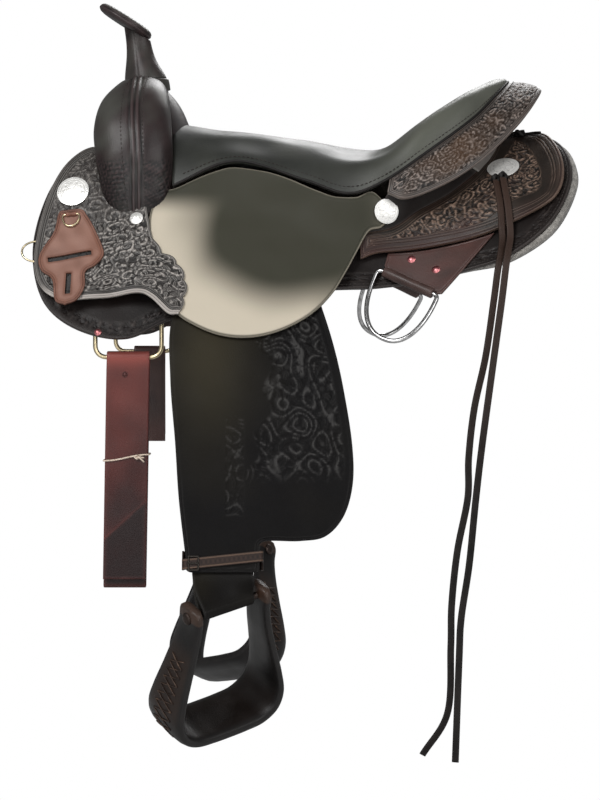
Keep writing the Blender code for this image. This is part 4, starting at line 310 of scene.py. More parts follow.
class FenderForm:
    """The fender's bent sheet: flat on the flank, then turning down; read at (x, v, n)."""

    bend_start, bend_length = 0.30, 0.16
    bottom_slope = math.radians(80.0)

    def __init__(self) -> None:
        """Adds up the slope in steps of 1 mm down the sheet."""
        self.places = np.arange(0.060, 0.700, 0.001)
        share = smooth((self.places - self.bend_start + 0.01) / (self.bend_length + 0.02))
        slope = BACK.flank_slope + (self.bottom_slope - BACK.flank_slope) * share
        self.normals = np.stack([0 * slope, -np.sin(slope), np.cos(slope)], -1)
        steps = np.stack([0 * slope, -np.cos(slope), -np.sin(slope)], -1) * 0.001
        run = np.cumsum(steps, axis=0)
        self.points = FLANK_TOP + run - run[int(round((BACK.girth - 0.060) / 0.001))]

    def frame_at(self, v: Array) -> tuple[Array, Array]:
        """The sheet's middle line and its outward normal at v."""
        base = np.stack([np.interp(v, self.places, self.points[:, k]) for k in range(3)], -1)
        out = np.stack([np.interp(v, self.places, self.normals[:, k]) for k in range(3)], -1)
        return base, out

    def point(self, x: Array, v: Array, n: Array) -> Array:
        """The point at (x, v, n)."""
        x, v, n = np.broadcast_arrays(np.asarray(x, float), np.asarray(v, float), np.asarray(n, float))
        base, out = self.frame_at(v)
        return base + x[..., None] * TAIL + n[..., None] * out


FENDER = FenderForm()


# Finishes


class Finish:
    """A material with its node tree, made once and shared by the pieces that wear it."""

    made: dict[str, bpy.types.Material] = {}

    def material(self) -> bpy.types.Material:
        """The finish as a Blender material."""
        key = repr(self)
        if key not in Finish.made:
            mat = bpy.data.materials.new(self.name)
            mat.use_nodes = True
            self.build(mat.node_tree, mat.node_tree.nodes["Principled BSDF"])
            Finish.made[key] = mat
        return Finish.made[key]


def link(tree: bpy.types.NodeTree, kind: str, inputs: dict, **settings) -> bpy.types.Node:
    """Adds a node; an input is a value, or an (earlier node, output name) pair to link from."""
    node = tree.nodes.new(kind)
    for key, value in settings.items():
        setattr(node, key, value)
    for key, value in inputs.items():
        socket = node.inputs[key]
        if isinstance(value, tuple) and isinstance(value[0], bpy.types.Node):
            tree.links.new(value[0].outputs[value[1]], socket)
        else:
            socket.default_value = value
    return node


def ramp(tree: bpy.types.NodeTree, source: tuple, stops: Sequence) -> bpy.types.Node:
    """A colour ramp with (place, colour or grey) stops, fed by a (node, output) pair."""
    node = link(tree, "ShaderNodeValToRGB", {"Fac": source})
    band = node.color_ramp
    while len(band.elements) < len(stops):
        band.elements.new(0.5)
    for element, (place, colour) in zip(band.elements, stops):
        element.position = place
        rgb = colour if isinstance(colour, tuple) else (colour,) * 3
        element.color = (*rgb, 1.0)
    return node


@dataclass(frozen=True)
class Leather(Finish):
    """Oiled leather: low and high colours by relief and wear, fine pores, and beaded ground where tooled."""

    name: str
    low: tuple
    high: tuple
    other: tuple
    rough: float = 0.42
    pores: float = 0.25
    coat: float = 0.15
    bead: float = 0.6
    edge: float = 0.25
    blotch: float = 0.35
    shine: float = 0.42

    def build(self, tree: bpy.types.NodeTree, shader: bpy.types.Node) -> None:
        """Mixes colours by the relief, tone and edge attributes, and bumps by pores and ground beads."""
        where = link(tree, "ShaderNodeTexCoord", {})
        coords = (where, "Object")
        relief = link(tree, "ShaderNodeAttribute", {}, attribute_name="relief")
        tone = link(tree, "ShaderNodeAttribute", {}, attribute_name="tone")
        ground = link(tree, "ShaderNodeAttribute", {}, attribute_name="ground")
        cloud = link(tree, "ShaderNodeTexNoise", {"Vector": coords, "Scale": 22.0, "Detail": 4.0,
                                                   "Roughness": 0.6})
        fine = link(tree, "ShaderNodeTexNoise", {"Vector": coords, "Scale": 330.0, "Detail": 3.0})
        spread = link(tree, "ShaderNodeMapRange", {"Value": (cloud, "Fac"), "From Min": 0.3, "From Max": 0.7,
                                                    "To Min": -self.blotch, "To Max": self.blotch})
        amount = link(tree, "ShaderNodeMath", {0: (relief, "Fac"), 1: (spread, "Result")}, operation="ADD",
                      use_clamp=True)
        colour = link(tree, "ShaderNodeMix", {"Factor": (amount, "Value"), "A": (*self.low, 1.0),
                                               "B": (*self.high, 1.0)}, data_type="RGBA")
        toned = link(tree, "ShaderNodeMix", {"Factor": (tone, "Fac"), "A": (colour, "Result"),
                                              "B": (*self.other, 1.0)}, data_type="RGBA")
        worn = link(tree, "ShaderNodeNewGeometry", {})
        sharp = ramp(tree, (worn, "Pointiness"), [(0.50, 0.0), (0.56, 1.0)])
        edge = link(tree, "ShaderNodeMath", {0: (sharp, "Color"), 1: self.edge}, operation="MULTIPLY")
        final = link(tree, "ShaderNodeMix", {"Factor": (edge, "Value"), "A": (toned, "Result"),
                                              "B": (*[min(1.0, 2.4 * c + 0.05) for c in self.high], 1.0)},
                     data_type="RGBA")
        tree.links.new(final.outputs["Result"], shader.inputs["Base Color"])
        shine = link(tree, "ShaderNodeMapRange", {"Value": (cloud, "Fac"), "From Min": 0.25, "From Max": 0.75,
                                                   "To Min": self.rough - 0.07, "To Max": self.rough + 0.09})
        tree.links.new(shine.outputs["Result"], shader.inputs["Roughness"])
        cells = link(tree, "ShaderNodeTexVoronoi", {"Vector": coords, "Scale": 620.0})
        beads = link(tree, "ShaderNodeTexVoronoi", {"Vector": coords, "Scale": 420.0})
        grained = link(tree, "ShaderNodeMath", {0: (cells, "Distance"), 1: (fine, "Fac")}, operation="ADD")
        beaded = link(tree, "ShaderNodeMath", {0: (beads, "Distance"), 1: (ground, "Fac")},
                      operation="MULTIPLY")
        first = link(tree, "ShaderNodeBump", {"Height": (grained, "Value"), "Strength": self.pores,
                                               "Distance": 0.0004})
        second = link(tree, "ShaderNodeBump", {"Height": (beaded, "Value"), "Strength": self.bead,
                                                "Distance": 0.0012, "Normal": (first, "Normal")}, invert=True)
        tree.links.new(second.outputs["Normal"], shader.inputs["Normal"])
        shader.inputs["Coat Weight"].default_value = self.coat
        shader.inputs["Coat Roughness"].default_value = 0.28
        shader.inputs["Specular IOR Level"].default_value = self.shine


@dataclass(frozen=True)
class Metal(Finish):
    """Plated or polished metal with fine scratches, and dirt in its engraved low places."""

    name: str
    colour: tuple
    dirt: tuple = (0.05, 0.045, 0.04)
    rough: float = 0.22
    scratch: float = 0.12
    metallic: float = 1.0

    def build(self, tree: bpy.types.NodeTree, shader: bpy.types.Node) -> None:
        """Colour by the relief attribute, roughness by clouds, and a fine scratch bump."""
        where = link(tree, "ShaderNodeTexCoord", {})
        coords = (where, "Object")
        relief = link(tree, "ShaderNodeAttribute", {}, attribute_name="relief")
        cloud = link(tree, "ShaderNodeTexNoise", {"Vector": coords, "Scale": 60.0, "Detail": 3.0})
        colour = link(tree, "ShaderNodeMix", {"Factor": (relief, "Fac"), "A": (*self.dirt, 1.0),
                                               "B": (*self.colour, 1.0)}, data_type="RGBA")
        tree.links.new(colour.outputs["Result"], shader.inputs["Base Color"])
        shine = link(tree, "ShaderNodeMapRange", {"Value": (cloud, "Fac"), "From Min": 0.3, "From Max": 0.7,
                                                   "To Min": self.rough * 0.7, "To Max": self.rough * 1.4})
        tree.links.new(shine.outputs["Result"], shader.inputs["Roughness"])
        shader.inputs["Metallic"].default_value = self.metallic
        lines = link(tree, "ShaderNodeTexNoise", {"Vector": coords, "Scale": 900.0, "Detail": 2.0})
        bump = link(tree, "ShaderNodeBump", {"Height": (lines, "Fac"), "Strength": self.scratch,
                                              "Distance": 0.0002})
        tree.links.new(bump.outputs["Normal"], shader.inputs["Normal"])


@dataclass(frozen=True)
class Plain(Finish):
    """Thread, fleece, lace or wood: two colours in clouds or streaks, with a bump of their grain."""

    name: str
    low: tuple
    high: tuple
    rough: float = 0.8
    scale: float = 300.0
    stretch: tuple = (1.0, 1.0, 1.0)
    bump: float = 0.4
    depth: float = 0.0008
    sheen: float = 0.0

    def build(self, tree: bpy.types.NodeTree, shader: bpy.types.Node) -> None:
        """Noise on stretched Object coordinates drives colour and bump."""
        where = link(tree, "ShaderNodeTexCoord", {})
        pulled = link(tree, "ShaderNodeMapping", {"Vector": (where, "Object"), "Scale": self.stretch})
        grain = link(tree, "ShaderNodeTexNoise", {"Vector": (pulled, "Vector"), "Scale": self.scale,
                                                   "Detail": 5.0, "Roughness": 0.65})
        wide = link(tree, "ShaderNodeTexNoise", {"Vector": (pulled, "Vector"), "Scale": self.scale * 0.12,
                                                  "Detail": 2.0})
        both = link(tree, "ShaderNodeMath", {0: (grain, "Fac"), 1: (wide, "Fac")}, operation="MULTIPLY")
        colour = ramp(tree, (both, "Value"), [(0.10, self.low), (0.40, self.high)])
        tree.links.new(colour.outputs["Color"], shader.inputs["Base Color"])
        bump = link(tree, "ShaderNodeBump", {"Height": (grain, "Fac"), "Strength": self.bump,
                                              "Distance": self.depth})
        tree.links.new(bump.outputs["Normal"], shader.inputs["Normal"])
        shader.inputs["Roughness"].default_value = self.rough
        if self.sheen:
            shader.inputs["Sheen Weight"].default_value = self.sheen


# High on the tooled leathers and the roll is the pale colour of the painted highlights on the carving.
TOOLED = Leather("tooled_leather", (0.0055, 0.0045, 0.004), (0.420, 0.380, 0.350), (0.022, 0.016, 0.014),
                 rough=0.44, coat=0.08, blotch=0.03, shine=0.3)
TOOLED_BROWN = Leather("tooled_brown_leather", (0.0045, 0.0035, 0.0028), (0.260, 0.175, 0.130),
                       (0.030, 0.011, 0.009), rough=0.44, coat=0.08, blotch=0.03, shine=0.25)
# ROLL's other is the warm colour of the painted highlight round the roll's middle.
ROLL = Leather("roll_leather", (0.005, 0.0035, 0.003), (0.260, 0.215, 0.190), (0.070, 0.036, 0.018), rough=0.42,
               coat=0.08, blotch=0.05, shine=0.3)
SKIRT = Leather("skirt_leather", (0.004, 0.003, 0.003), (0.055, 0.045, 0.041), (0.012, 0.008, 0.007),
                blotch=0.06, coat=0.03, shine=0.2)
# FORK's other is the pale olive-grey used as painted sheen on the fork and the horn cap's top.
FORK = Leather("fork_leather", (0.004, 0.003, 0.003), (0.036, 0.021, 0.021), (0.052, 0.052, 0.045), coat=0.08,
               rough=0.42, shine=0.32, blotch=0.25)
# SEAT's other is the pale olive-grey of the painted highlight towards the cantle.
SEAT = Leather("seat_leather", (0.013, 0.014, 0.012), (0.036, 0.038, 0.033), (0.120, 0.124, 0.100),
               rough=0.42, pores=0.18, coat=0.06, edge=0.08, blotch=0.2, shine=0.42)
# JOCKEY's other is the pale beige of the painted reflection on the seat jockeys.
JOCKEY = Leather("jockey_leather", (0.034, 0.034, 0.023), (0.046, 0.044, 0.032), (0.56, 0.50, 0.40),
                 rough=0.56, pores=0.10, coat=0.0, blotch=0.12, edge=0.0, shine=0.16)
# FENDER_LOOK's other is the tone of the painted sheen at the fender's upper front.
FENDER_LOOK = Leather("fender_leather", (0.0018, 0.0014, 0.0016), (0.050, 0.048, 0.047), (0.030, 0.025, 0.014),
                      rough=0.50, blotch=0.005, bead=0.2, edge=0.1, coat=0.0, shine=0.1)
STIRRUP_LOOK = Leather("stirrup_leather", (0.003, 0.0026, 0.0026), (0.011, 0.0095, 0.009), (0.048, 0.026, 0.017),
                       rough=0.38, pores=0.3, coat=0.0, edge=0.15, shine=0.25)
HOBBLE = Leather("hobble_leather", (0.006, 0.004, 0.0035), (0.050, 0.027, 0.020), (0.170, 0.105, 0.070), coat=0.0,
                 blotch=0.1, edge=0.1, shine=0.2)
BROWN = Leather("brown_leather", (0.016, 0.008, 0.007), (0.055, 0.030, 0.025), (0.070, 0.027, 0.022), coat=0.05,
                shine=0.35)
LATIGO = Leather("latigo_leather", (0.012, 0.003, 0.003), (0.060, 0.012, 0.010), (0.240, 0.050, 0.038),
                 rough=0.40, pores=0.3, blotch=0.10, edge=0.5, coat=0.0, shine=0.28)
KEEPER = Leather("keeper_leather", (0.055, 0.022, 0.015), (0.22, 0.095, 0.062), (0.32, 0.18, 0.14), rough=0.5,
                 blotch=0.2, coat=0.0, shine=0.25)
LACE = Leather("lace_leather", (0.004, 0.0034, 0.003), (0.014, 0.011, 0.010), (0.050, 0.028, 0.020), rough=0.5,
               coat=0.0, edge=0.1, shine=0.2)
STEEL = Metal("polished_steel", (0.62, 0.62, 0.62), rough=0.16)
CREAM = Metal("cream_plate", (0.78, 0.66, 0.42), rough=0.30)
SILVER = Metal("engraved_silver", (0.90, 0.89, 0.86), (0.16, 0.15, 0.14), rough=0.34, metallic=0.55)
COPPER = Metal("copper", (0.66, 0.24, 0.25), rough=0.42)
DARK_STEEL = Metal("dark_steel", (0.06, 0.045, 0.040), rough=0.45)
FLEECE = Plain("fleece", (0.10, 0.095, 0.085), (0.38, 0.36, 0.33), rough=0.95, scale=160.0, bump=1.0, depth=0.004,
               sheen=0.3)
# Painted shade: the tree's wood shows only in gaps under the roll and at the fork's foot, made near black there.
WOOD_IN_PAINTED_SHADE = Plain("tree_wood", (0.010, 0.007, 0.005), (0.030, 0.022, 0.016), rough=0.6, scale=70.0,
             stretch=(0.15, 1.0, 1.0), bump=0.2)
THREAD = Plain("thread", (0.010, 0.008, 0.007), (0.040, 0.031, 0.026), rough=0.7, scale=1500.0, bump=0.3)
TWINE = Plain("twine", (0.55, 0.42, 0.32), (0.86, 0.74, 0.62), rough=0.8, scale=1400.0, bump=0.6)


# Meshes


def grid_faces(rows: int, columns: int, wrap: bool = False, first: int = 0) -> Array:
    """Quads of a grid of rows by columns; with wrap, the last column joins the first."""
    i, j = np.meshgrid(np.arange(rows - 1), np.arange(columns if wrap else columns - 1), indexing="ij")
    across = (j + 1) % columns
    quads = np.stack([i * columns + j, i * columns + across, (i + 1) * columns + across,
                      (i + 1) * columns + j], -1)
    return quads.reshape(-1, 4) + first


def enclosed(points: Array, quads: Array) -> float:
    """Six times the volume that the faces enclose: positive when they point outwards."""
    a, b, c, d = (points[quads[:, k]] for k in range(4))
    return float((np.cross(a, b) * c).sum() + (np.cross(a, c) * d).sum())


@dataclass
class Blank:
    """Points, quads and painted values of a piece before it becomes an object."""

    points: Array
    quads: Array
    paint: dict = field(default_factory=dict)

    def outward(self) -> "Blank":
        """The same, with its faces turned outwards."""
        if enclosed(self.points - self.points.mean(0), self.quads) < 0:
            self.quads = self.quads[:, ::-1]
        return self

    def mirrored(self) -> "Blank":
        """The off side's copy."""
        return Blank(self.points * (1, -1, 1), self.quads[:, ::-1], self.paint)

    def joined(self, *others: "Blank") -> "Blank":
        """This and others as one."""
        parts = (self, *others)
        starts = np.cumsum([0] + [len(part.points) for part in parts])
        paint = {}
        for key in {key for part in parts for key in part.paint}:
            paint[key] = np.concatenate([part.paint.get(key, np.zeros(len(part.points))) for part in parts])
        return Blank(np.concatenate([part.points for part in parts]),
                     np.concatenate([part.quads + start for part, start in zip(parts, starts)]), paint)


def place_piece(name: str, blank: Blank, finish: Finish, body: str, nodes: Sequence[str] = (),
                weld: float = 1e-6) -> bpy.types.Object:
    """Makes a blank an object, smooth shaded, with its finish and body, and hides the nodes that it replaces."""
    mesh = bpy.data.meshes.new(name)
    count, quads = len(blank.points), blank.quads
    mesh.vertices.add(count)
    mesh.vertices.foreach_set("co", np.ascontiguousarray(blank.points, np.float32).ravel())
    mesh.loops.add(len(quads) * 4)
    mesh.loops.foreach_set("vertex_index", np.ascontiguousarray(quads, np.int32).ravel())
    mesh.polygons.add(len(quads))
    mesh.polygons.foreach_set("loop_start", np.arange(0, len(quads) * 4, 4, dtype=np.int32))
    for key, values in blank.paint.items():
        layer = mesh.attributes.new(key, "FLOAT", "POINT")
        layer.data.foreach_set("value", np.ascontiguousarray(values, np.float32))
    mesh.update()
    mesh.validate()
    if weld:
        bm = bmesh.new()
        bm.from_mesh(mesh)
        bmesh.ops.remove_doubles(bm, verts=bm.verts, dist=weld)
        bmesh.ops.dissolve_degenerate(bm, edges=bm.edges, dist=weld)
        bm.to_mesh(mesh)
        bm.free()
    mesh.shade_smooth()
    mesh.materials.append(finish.material())
    obj = bpy.data.objects.new(name, mesh)
    bpy.context.scene.collection.objects.link(obj)
    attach(obj, body)
    if nodes:
        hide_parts(*nodes)
    log.info("%s: %d faces on %s", name, len(mesh.polygons), body)
    return obj


def place_pair(name: str, blank: Blank, finish: Finish, body: str, node: Optional[str] = None) -> None:
    """Places a near blank and its off copy; body and node take _near and _off unless body is the saddle."""
    for side, piece in (("_near", blank), ("_off", blank.mirrored())):
        place_piece(name + side, piece, finish, body if body == "saddle" else body + side,
                    (node + side,) if node else ())


def edge_distance(u: Array, w: Array, outline: Array) -> Array:
    """Distance of each (u, w) from a closed outline, worked out segment by segment."""
    a, b = outline, np.roll(outline, -1, axis=0)
    ab = b - a
    length = np.maximum((ab**2).sum(1), 1e-12)
    flat = np.stack([u.ravel(), w.ravel()], -1)
    best = np.full(len(flat), np.inf)
    for start in range(0, len(flat), 4000):
        p = flat[start:start + 4000, None, :]
        t = np.clip(((p - a) * ab).sum(-1) / length, 0, 1)
        best[start:start + 4000] = np.sqrt((((p - a) - t[..., None] * ab) ** 2).sum(-1).min(1))
    return best.reshape(u.shape)


@dataclass
class Sheet:
    """A leather sheet between two rails that share both ends, with rounded edges and a tooled face.

    Row i runs straight from the left rail to the right one. Each row is a closed loop: over the upper
    face, whose edge falls in a quarter round of this radius, and back along the underside.
    """

    left: Sequence
    right: Sequence
    thickness: float
    surface: Callable[[Array, Array, Array], Array]
    rows: int = 160
    columns: int = 80
    radius: float = 0.0018
    relief: Optional[Callable[[Array, Array, Array], dict]] = None
    sharp_left: bool = False
    sharp_right: bool = False

    def rails(self) -> tuple[Array, Array]:
        """Both rails at matching places."""
        places = np.linspace(0, 1, self.rows)
        rails = []
        for keys, sharp in ((self.left, self.sharp_left), (self.right, self.sharp_right)):
            keys = np.asarray(keys, float)
            if sharp:
                at = places * (len(keys) - 1)
                rails.append(np.stack([np.interp(at, np.arange(len(keys)), keys[:, k]) for k in (0, 1)], -1))
            else:
                rails.append(spline(keys, places))
        return rails[0], rails[1]

    def outline(self) -> Array:
        """The closed outline in pattern space."""
        left, right = self.rails()
        return np.vstack([left, right[-2:0:-1]])

    def blank(self) -> Blank:
        """The sheet's points, faces and painted values."""
        left, right = self.rails()
        span = np.linalg.norm(right - left, axis=1)
        band = np.array([0.0, 0.12, 0.35, 0.7, 1.0]) * self.radius
        fall = self.radius - np.sqrt(np.maximum(self.radius**2 - (self.radius - band) ** 2, 0.0))
        share = np.minimum(1.0, span / (4 * self.radius + 1e-9))
        middle = np.linspace(0, 1, self.columns)[1:-1]
        inset = band[None, :] * share[:, None]
        start = inset[:, -1:] + (span[:, None] - 2 * inset[:, -1:]) * middle
        top = np.concatenate([inset, start, span[:, None] - inset[:, ::-1]], 1)
        drop = np.concatenate([fall, 0 * middle, fall[::-1]])[None, :] * share[:, None]
        low = span[:, None] * np.linspace(1, 0, 14)[1:-1]
        under = np.concatenate([span[:, None] - inset[:, 1:2], low, inset[:, 1:2]], 1)
        across = np.concatenate([top, under], 1) / np.maximum(span[:, None], 1e-9)
        place = left[:, None] + (right - left)[:, None] * across[..., None]
        u, w = place[..., 0], place[..., 1]
        count = top.shape[1]
        height = np.zeros(u.shape)
        height[:, :count] = self.thickness - drop
        height[:, count:] = 0.0
        paint = {}
        if self.relief:
            away = edge_distance(u[:, :count], w[:, :count], self.outline())
            made = self.relief(u[:, :count], w[:, :count], away)
            height[:, :count] += made.pop("height", 0.0) * np.minimum(away / self.radius, 1.0)
            for key, values in made.items():
                paint[key] = np.zeros(u.shape)
                paint[key][:, :count] = values
                paint[key] = paint[key].ravel()
        points = self.surface(u, w, height).reshape(-1, 3)
        return Blank(points, grid_faces(self.rows, u.shape[1], wrap=True), paint).outward()


def swept(path: Array, sides: Array, ups: Array, profile: Array, closed: bool = False) -> Blank:
    """A profile of (side, up) offsets carried along a path; open ends are drawn in to a point."""
    path, sides, ups = (np.asarray(a, float) for a in (path, sides, ups))
    profile = np.asarray(profile, float)
    if profile.ndim == 2:
        profile = np.broadcast_to(profile, (len(path), *profile.shape))
    rings = path[:, None] + sides[:, None] * profile[..., :1] + ups[:, None] * profile[..., 1:]
    if closed:
        rings = np.concatenate([rings, rings[:1]])
    else:
        ends = rings.mean(1, keepdims=True)
        first, last = np.broadcast_to(ends[0], rings[0].shape), np.broadcast_to(ends[-1], rings[-1].shape)
        rings = np.concatenate([[first], rings, [last]])
    return Blank(rings.reshape(-1, 3), grid_faces(len(rings), rings.shape[1], wrap=True)).outward()


def frames(path: Array, up: Sequence = (0, 0, 1), closed: bool = False) -> tuple[Array, Array]:
    """Side and up directions along a path, as near to one up direction as they can be."""
    path = np.asarray(path, float)
    if closed:
        along = unit(np.roll(path, -1, 0) - np.roll(path, 1, 0))
    else:
        along = unit(np.gradient(path, axis=0))
    side = unit(np.cross(along, np.broadcast_to(np.asarray(up, float), along.shape)))
    return side, unit(np.cross(side, along))


def round_profile(radius: float, sides: int = 12, flat: float = 1.0) -> Array:
    """A circle of (side, up) offsets, its up axis scaled by flat."""
    a = np.arange(sides) * 2 * math.pi / sides
    return np.stack([np.cos(a), np.sin(a) * flat], -1) * radius


def strap_profile(width: float, thick: float, bevel: float = 0.0012, across: int = 8) -> Array:
    """A rectangle of (side, up) offsets with rounded corners: width along side, thick along up."""
    bevel = min(bevel, thick * 0.45, width * 0.45)
    points = []
    for cx, cy, start in ((1, 1, 0), (-1, 1, 90), (-1, -1, 180), (1, -1, 270)):
        for a in np.radians(np.linspace(start, start + 90, 4)):
            points.append((cx * (width / 2 - bevel) + bevel * math.cos(a),
                           cy * (thick / 2 - bevel) + bevel * math.sin(a)))
    loop = np.array(points)
    top = np.linspace(loop[3], loop[4], across)[1:-1]
    low = np.linspace(loop[11], loop[12], across)[1:-1]
    return np.vstack([loop[:4], top, loop[4:12], low, loop[12:]])


def turned(profile: Sequence, origin: Array, x_axis: Array, y_axis: Array, steps: int = 48,
           stretch: float = 1.0) -> Blank:
    """A profile of (radius, height) turned about the normal of the x and y axes at the origin."""
    x_axis, y_axis = unit(x_axis), unit(y_axis)
    z_axis = unit(np.cross(x_axis, y_axis))
    profile = np.asarray(profile, float)
    a = np.arange(steps) * 2 * math.pi / steps
    rings = (np.asarray(origin, float) + profile[:, None, :1] * (np.cos(a)[:, None] * x_axis
             + stretch * np.sin(a)[:, None] * y_axis) + profile[:, None, 1:] * z_axis)
    return Blank(rings.reshape(-1, 3), grid_faces(len(profile), steps, wrap=True)).outward()


def stitches(path: Array, normals: Array, length: float = 0.0042, gap: float = 0.0016,
             radius: float = 0.0006) -> Blank:
    """A row of thread stitches along a path: short six-sided spindles that dip into the leather."""
    path, normals = np.asarray(path, float), np.asarray(normals, float)
    run = np.concatenate([[0], np.cumsum(np.linalg.norm(np.diff(path, axis=0), axis=1))])
    count = max(1, int(run[-1] / (length + gap)))
    starts = (np.arange(count) + 0.5) * run[-1] / count
    shares = np.array([-0.5, -0.36, 0.0, 0.36, 0.5])
    size = np.array([0.15, 0.85, 1.0, 0.85, 0.15]) * radius
    rise = np.array([-0.6, 0.35, 0.7, 0.35, -0.6]) * radius
    at = starts[:, None] + shares * length
    centre = np.stack([np.interp(at, run, path[:, k]) for k in range(3)], -1)
    out = unit(np.stack([np.interp(at, run, normals[:, k]) for k in range(3)], -1))
    along = unit(centre[:, -1:] - centre[:, :1])
    side = unit(np.cross(along, out))
    a = np.arange(6) * math.pi / 3
    ring = (centre[:, :, None] + (rise[None, :, None, None] + 0 * out[:, :, None]) * out[:, :, None]
            + size[None, :, None, None] * (np.cos(a)[:, None] * side[:, :, None]
                                            + np.sin(a)[:, None] * out[:, :, None]))
    quads = grid_faces(5, 6, wrap=True)
    caps = np.array([[0, 1, 2, 3], [0, 3, 4, 5], [27, 26, 25, 24], [29, 28, 27, 24]])
    quads = np.vstack([quads, caps[:, ::-1]])
    every = (quads[None] + np.arange(count)[:, None, None] * 30).reshape(-1, 4)
    return Blank(ring.reshape(-1, 3), every).outward()


def shell(top: Array, bottom: Array, paint: Optional[dict] = None) -> Blank:
    """A closed skin between an upper and a lower grid: each row is a loop, and both ends are drawn shut."""
    rings = np.concatenate([top, bottom[:, ::-1]], 1)
    middle = (top + bottom) / 2
    ends = [np.concatenate([middle[k], middle[k, ::-1]])[None] for k in (0, -1)]
    made = {}
    for key, values in (paint or {}).items():
        values = np.concatenate([values, np.full(values.shape, 0.3)], 1)
        made[key] = np.concatenate([values[:1], values, values[-1:]]).ravel()
    rings = np.concatenate([ends[0], rings, ends[1]])
    return Blank(rings.reshape(-1, 3), grid_faces(len(rings), rings.shape[1], wrap=True), made).outward()


def grid_normals(grid: Array, sign_axis: int = 2) -> Array:
    """Unit normals of a grid of points, turned so that their mean along one axis is positive."""
    normals = unit(np.cross(np.gradient(grid, axis=0), np.gradient(grid, axis=1)))
    return normals * (1.0 if normals[..., sign_axis].mean() >= 0 else -1.0)


def tube_along(path: Array, radius: float, sides: int = 10, closed: bool = False, flat: float = 1.0,
               up: Sequence = (0.13, 0.31, 0.94)) -> Blank:
    """A round or flattened tube along a path."""
    side, rise = frames(path, up, closed)
    return swept(path, side, rise, round_profile(radius, sides, flat), closed)


# Tooling


def groove(value: Array, place: float, width: float) -> Array:
    """A bell of height one about a place: exp(-((value - place) / width)^2)."""
    return np.exp(-(((value - place) / width) ** 2))


def step(value: Array, start: float, length: float) -> Array:
    """A smooth step from 0 to 1 that begins at start."""
    return smooth((value - start) / length)


class Motif(Enum):
    """What a place in the tooled pattern holds."""

    FLOWER = 0
    LEAVES = 1
    SCROLL = 2


@dataclass
class Carving:
    """Traditional floral tooling: flowers and swirling leaves on a jittered triangular lattice.

    Each motif is a function of its own polar coordinates, and the highest motif wins at each point.
    """

    pitch: float = 0.026
    seed: int = 3
    reach: float = 0.62

    def motif(self, kind: Motif, r: Array, a: Array, hand: float) -> Array:
        """Height from 0 to 1 at radius r (1 at the motif's edge) and angle a; hand is the swirl's way."""
        if kind is Motif.FLOWER:
            lobe = np.cos(5 * a + 1.1 * hand * r)
            edge = 0.74 + 0.17 * lobe
            body = 0.50 + 0.30 * np.sqrt((lobe + 1) / 2) + 0.16 * np.sin(np.pi * np.minimum(r / edge, 1))
            body -= 0.55 * np.exp(-((lobe + 1) / 0.10)) * step(r, 0.24, 0.1)
            body -= 0.20 * groove(np.abs(np.sin(2.5 * a + 0.55 * hand * r)), 0.0, 0.10) * step(r, 0.34, 0.2)
            body += 0.22 * np.cos(25 * a + 3.0 * hand * r) * step(r, 0.28, 0.1)
            body = np.where(r < 0.25, 0.98 - 2.5 * r**2, body) - 0.6 * groove(r, 0.26, 0.035)
        else:
            count, wind = (6, 2.3) if kind is Motif.LEAVES else (4, 3.4)
            phase = count * a + hand * wind * r * 2
            lobe = np.cos(phase)
            edge = 0.84 + 0.26 * lobe + 0.03 * np.cos(5 * phase)
            body = 0.34 + 0.30 * (lobe + 1) / 2 + 0.12 * (1 - r)
            body += 0.34 * np.cos(4 * phase + 2.0 * r) * step(r, 0.16, 0.1)
            body -= 0.40 * np.exp(-((1 + lobe) / 0.06)) * step(r, 0.12, 0.1)
            body = np.where(r < 0.13, 0.95, body) - 0.45 * groove(r, 0.15, 0.03)
        return np.where(r < edge, np.clip(body, 0.10, 1.0), 0.0) * step(edge - r, -0.001, 0.05)

    def height(self, u: Array, w: Array, where: Array) -> Array:
        """The pattern's height at each (u, w) that where picks."""
        rng = np.random.default_rng(self.seed)
        result = np.zeros(u.shape)
        uu, ww = u[where], w[where]
        total = np.zeros(uu.shape)
        if not len(uu):
            return result
        p = self.pitch
        for j, row in enumerate(np.arange(ww.min() - p / 2, ww.max() + p, p * 0.87)):
            for i, column in enumerate(np.arange(uu.min() - p / 2, uu.max() + p, p) + (j % 2) * p / 2):
                du = uu - column - rng.uniform(-0.13, 0.13) * p
                dw = ww - row - rng.uniform(-0.13, 0.13) * p
                turn, hand = rng.uniform(0, 6.28), 1.0 if rng.random() < 0.5 else -1.0
                kind = Motif((i + 2 * j) % 3) if rng.random() < 0.8 else Motif.LEAVES
                near = du * du + dw * dw < (self.reach * 1.15 * p) ** 2
                if near.any():
                    r = np.hypot(du[near], dw[near]) / (p * self.reach)
                    made = self.motif(kind, r, np.arctan2(dw[near], du[near]) + turn, hand)
                    total[near] = np.maximum(total[near], made)
        result[where] = total
        return result

    def strokes(self, u: Array, w: Array, apart: float) -> Array:
        """Fine flowing cuts: a narrow ridge at each even level of smooth noise, about this far apart."""
        wave = 1.7 * self.pitch
        level = noise(np.stack([u, w], -1), wave, self.seed + 40) * wave / (4.6 * apart)
        return np.exp(-((np.sin(math.pi * level) / 0.42) ** 2))


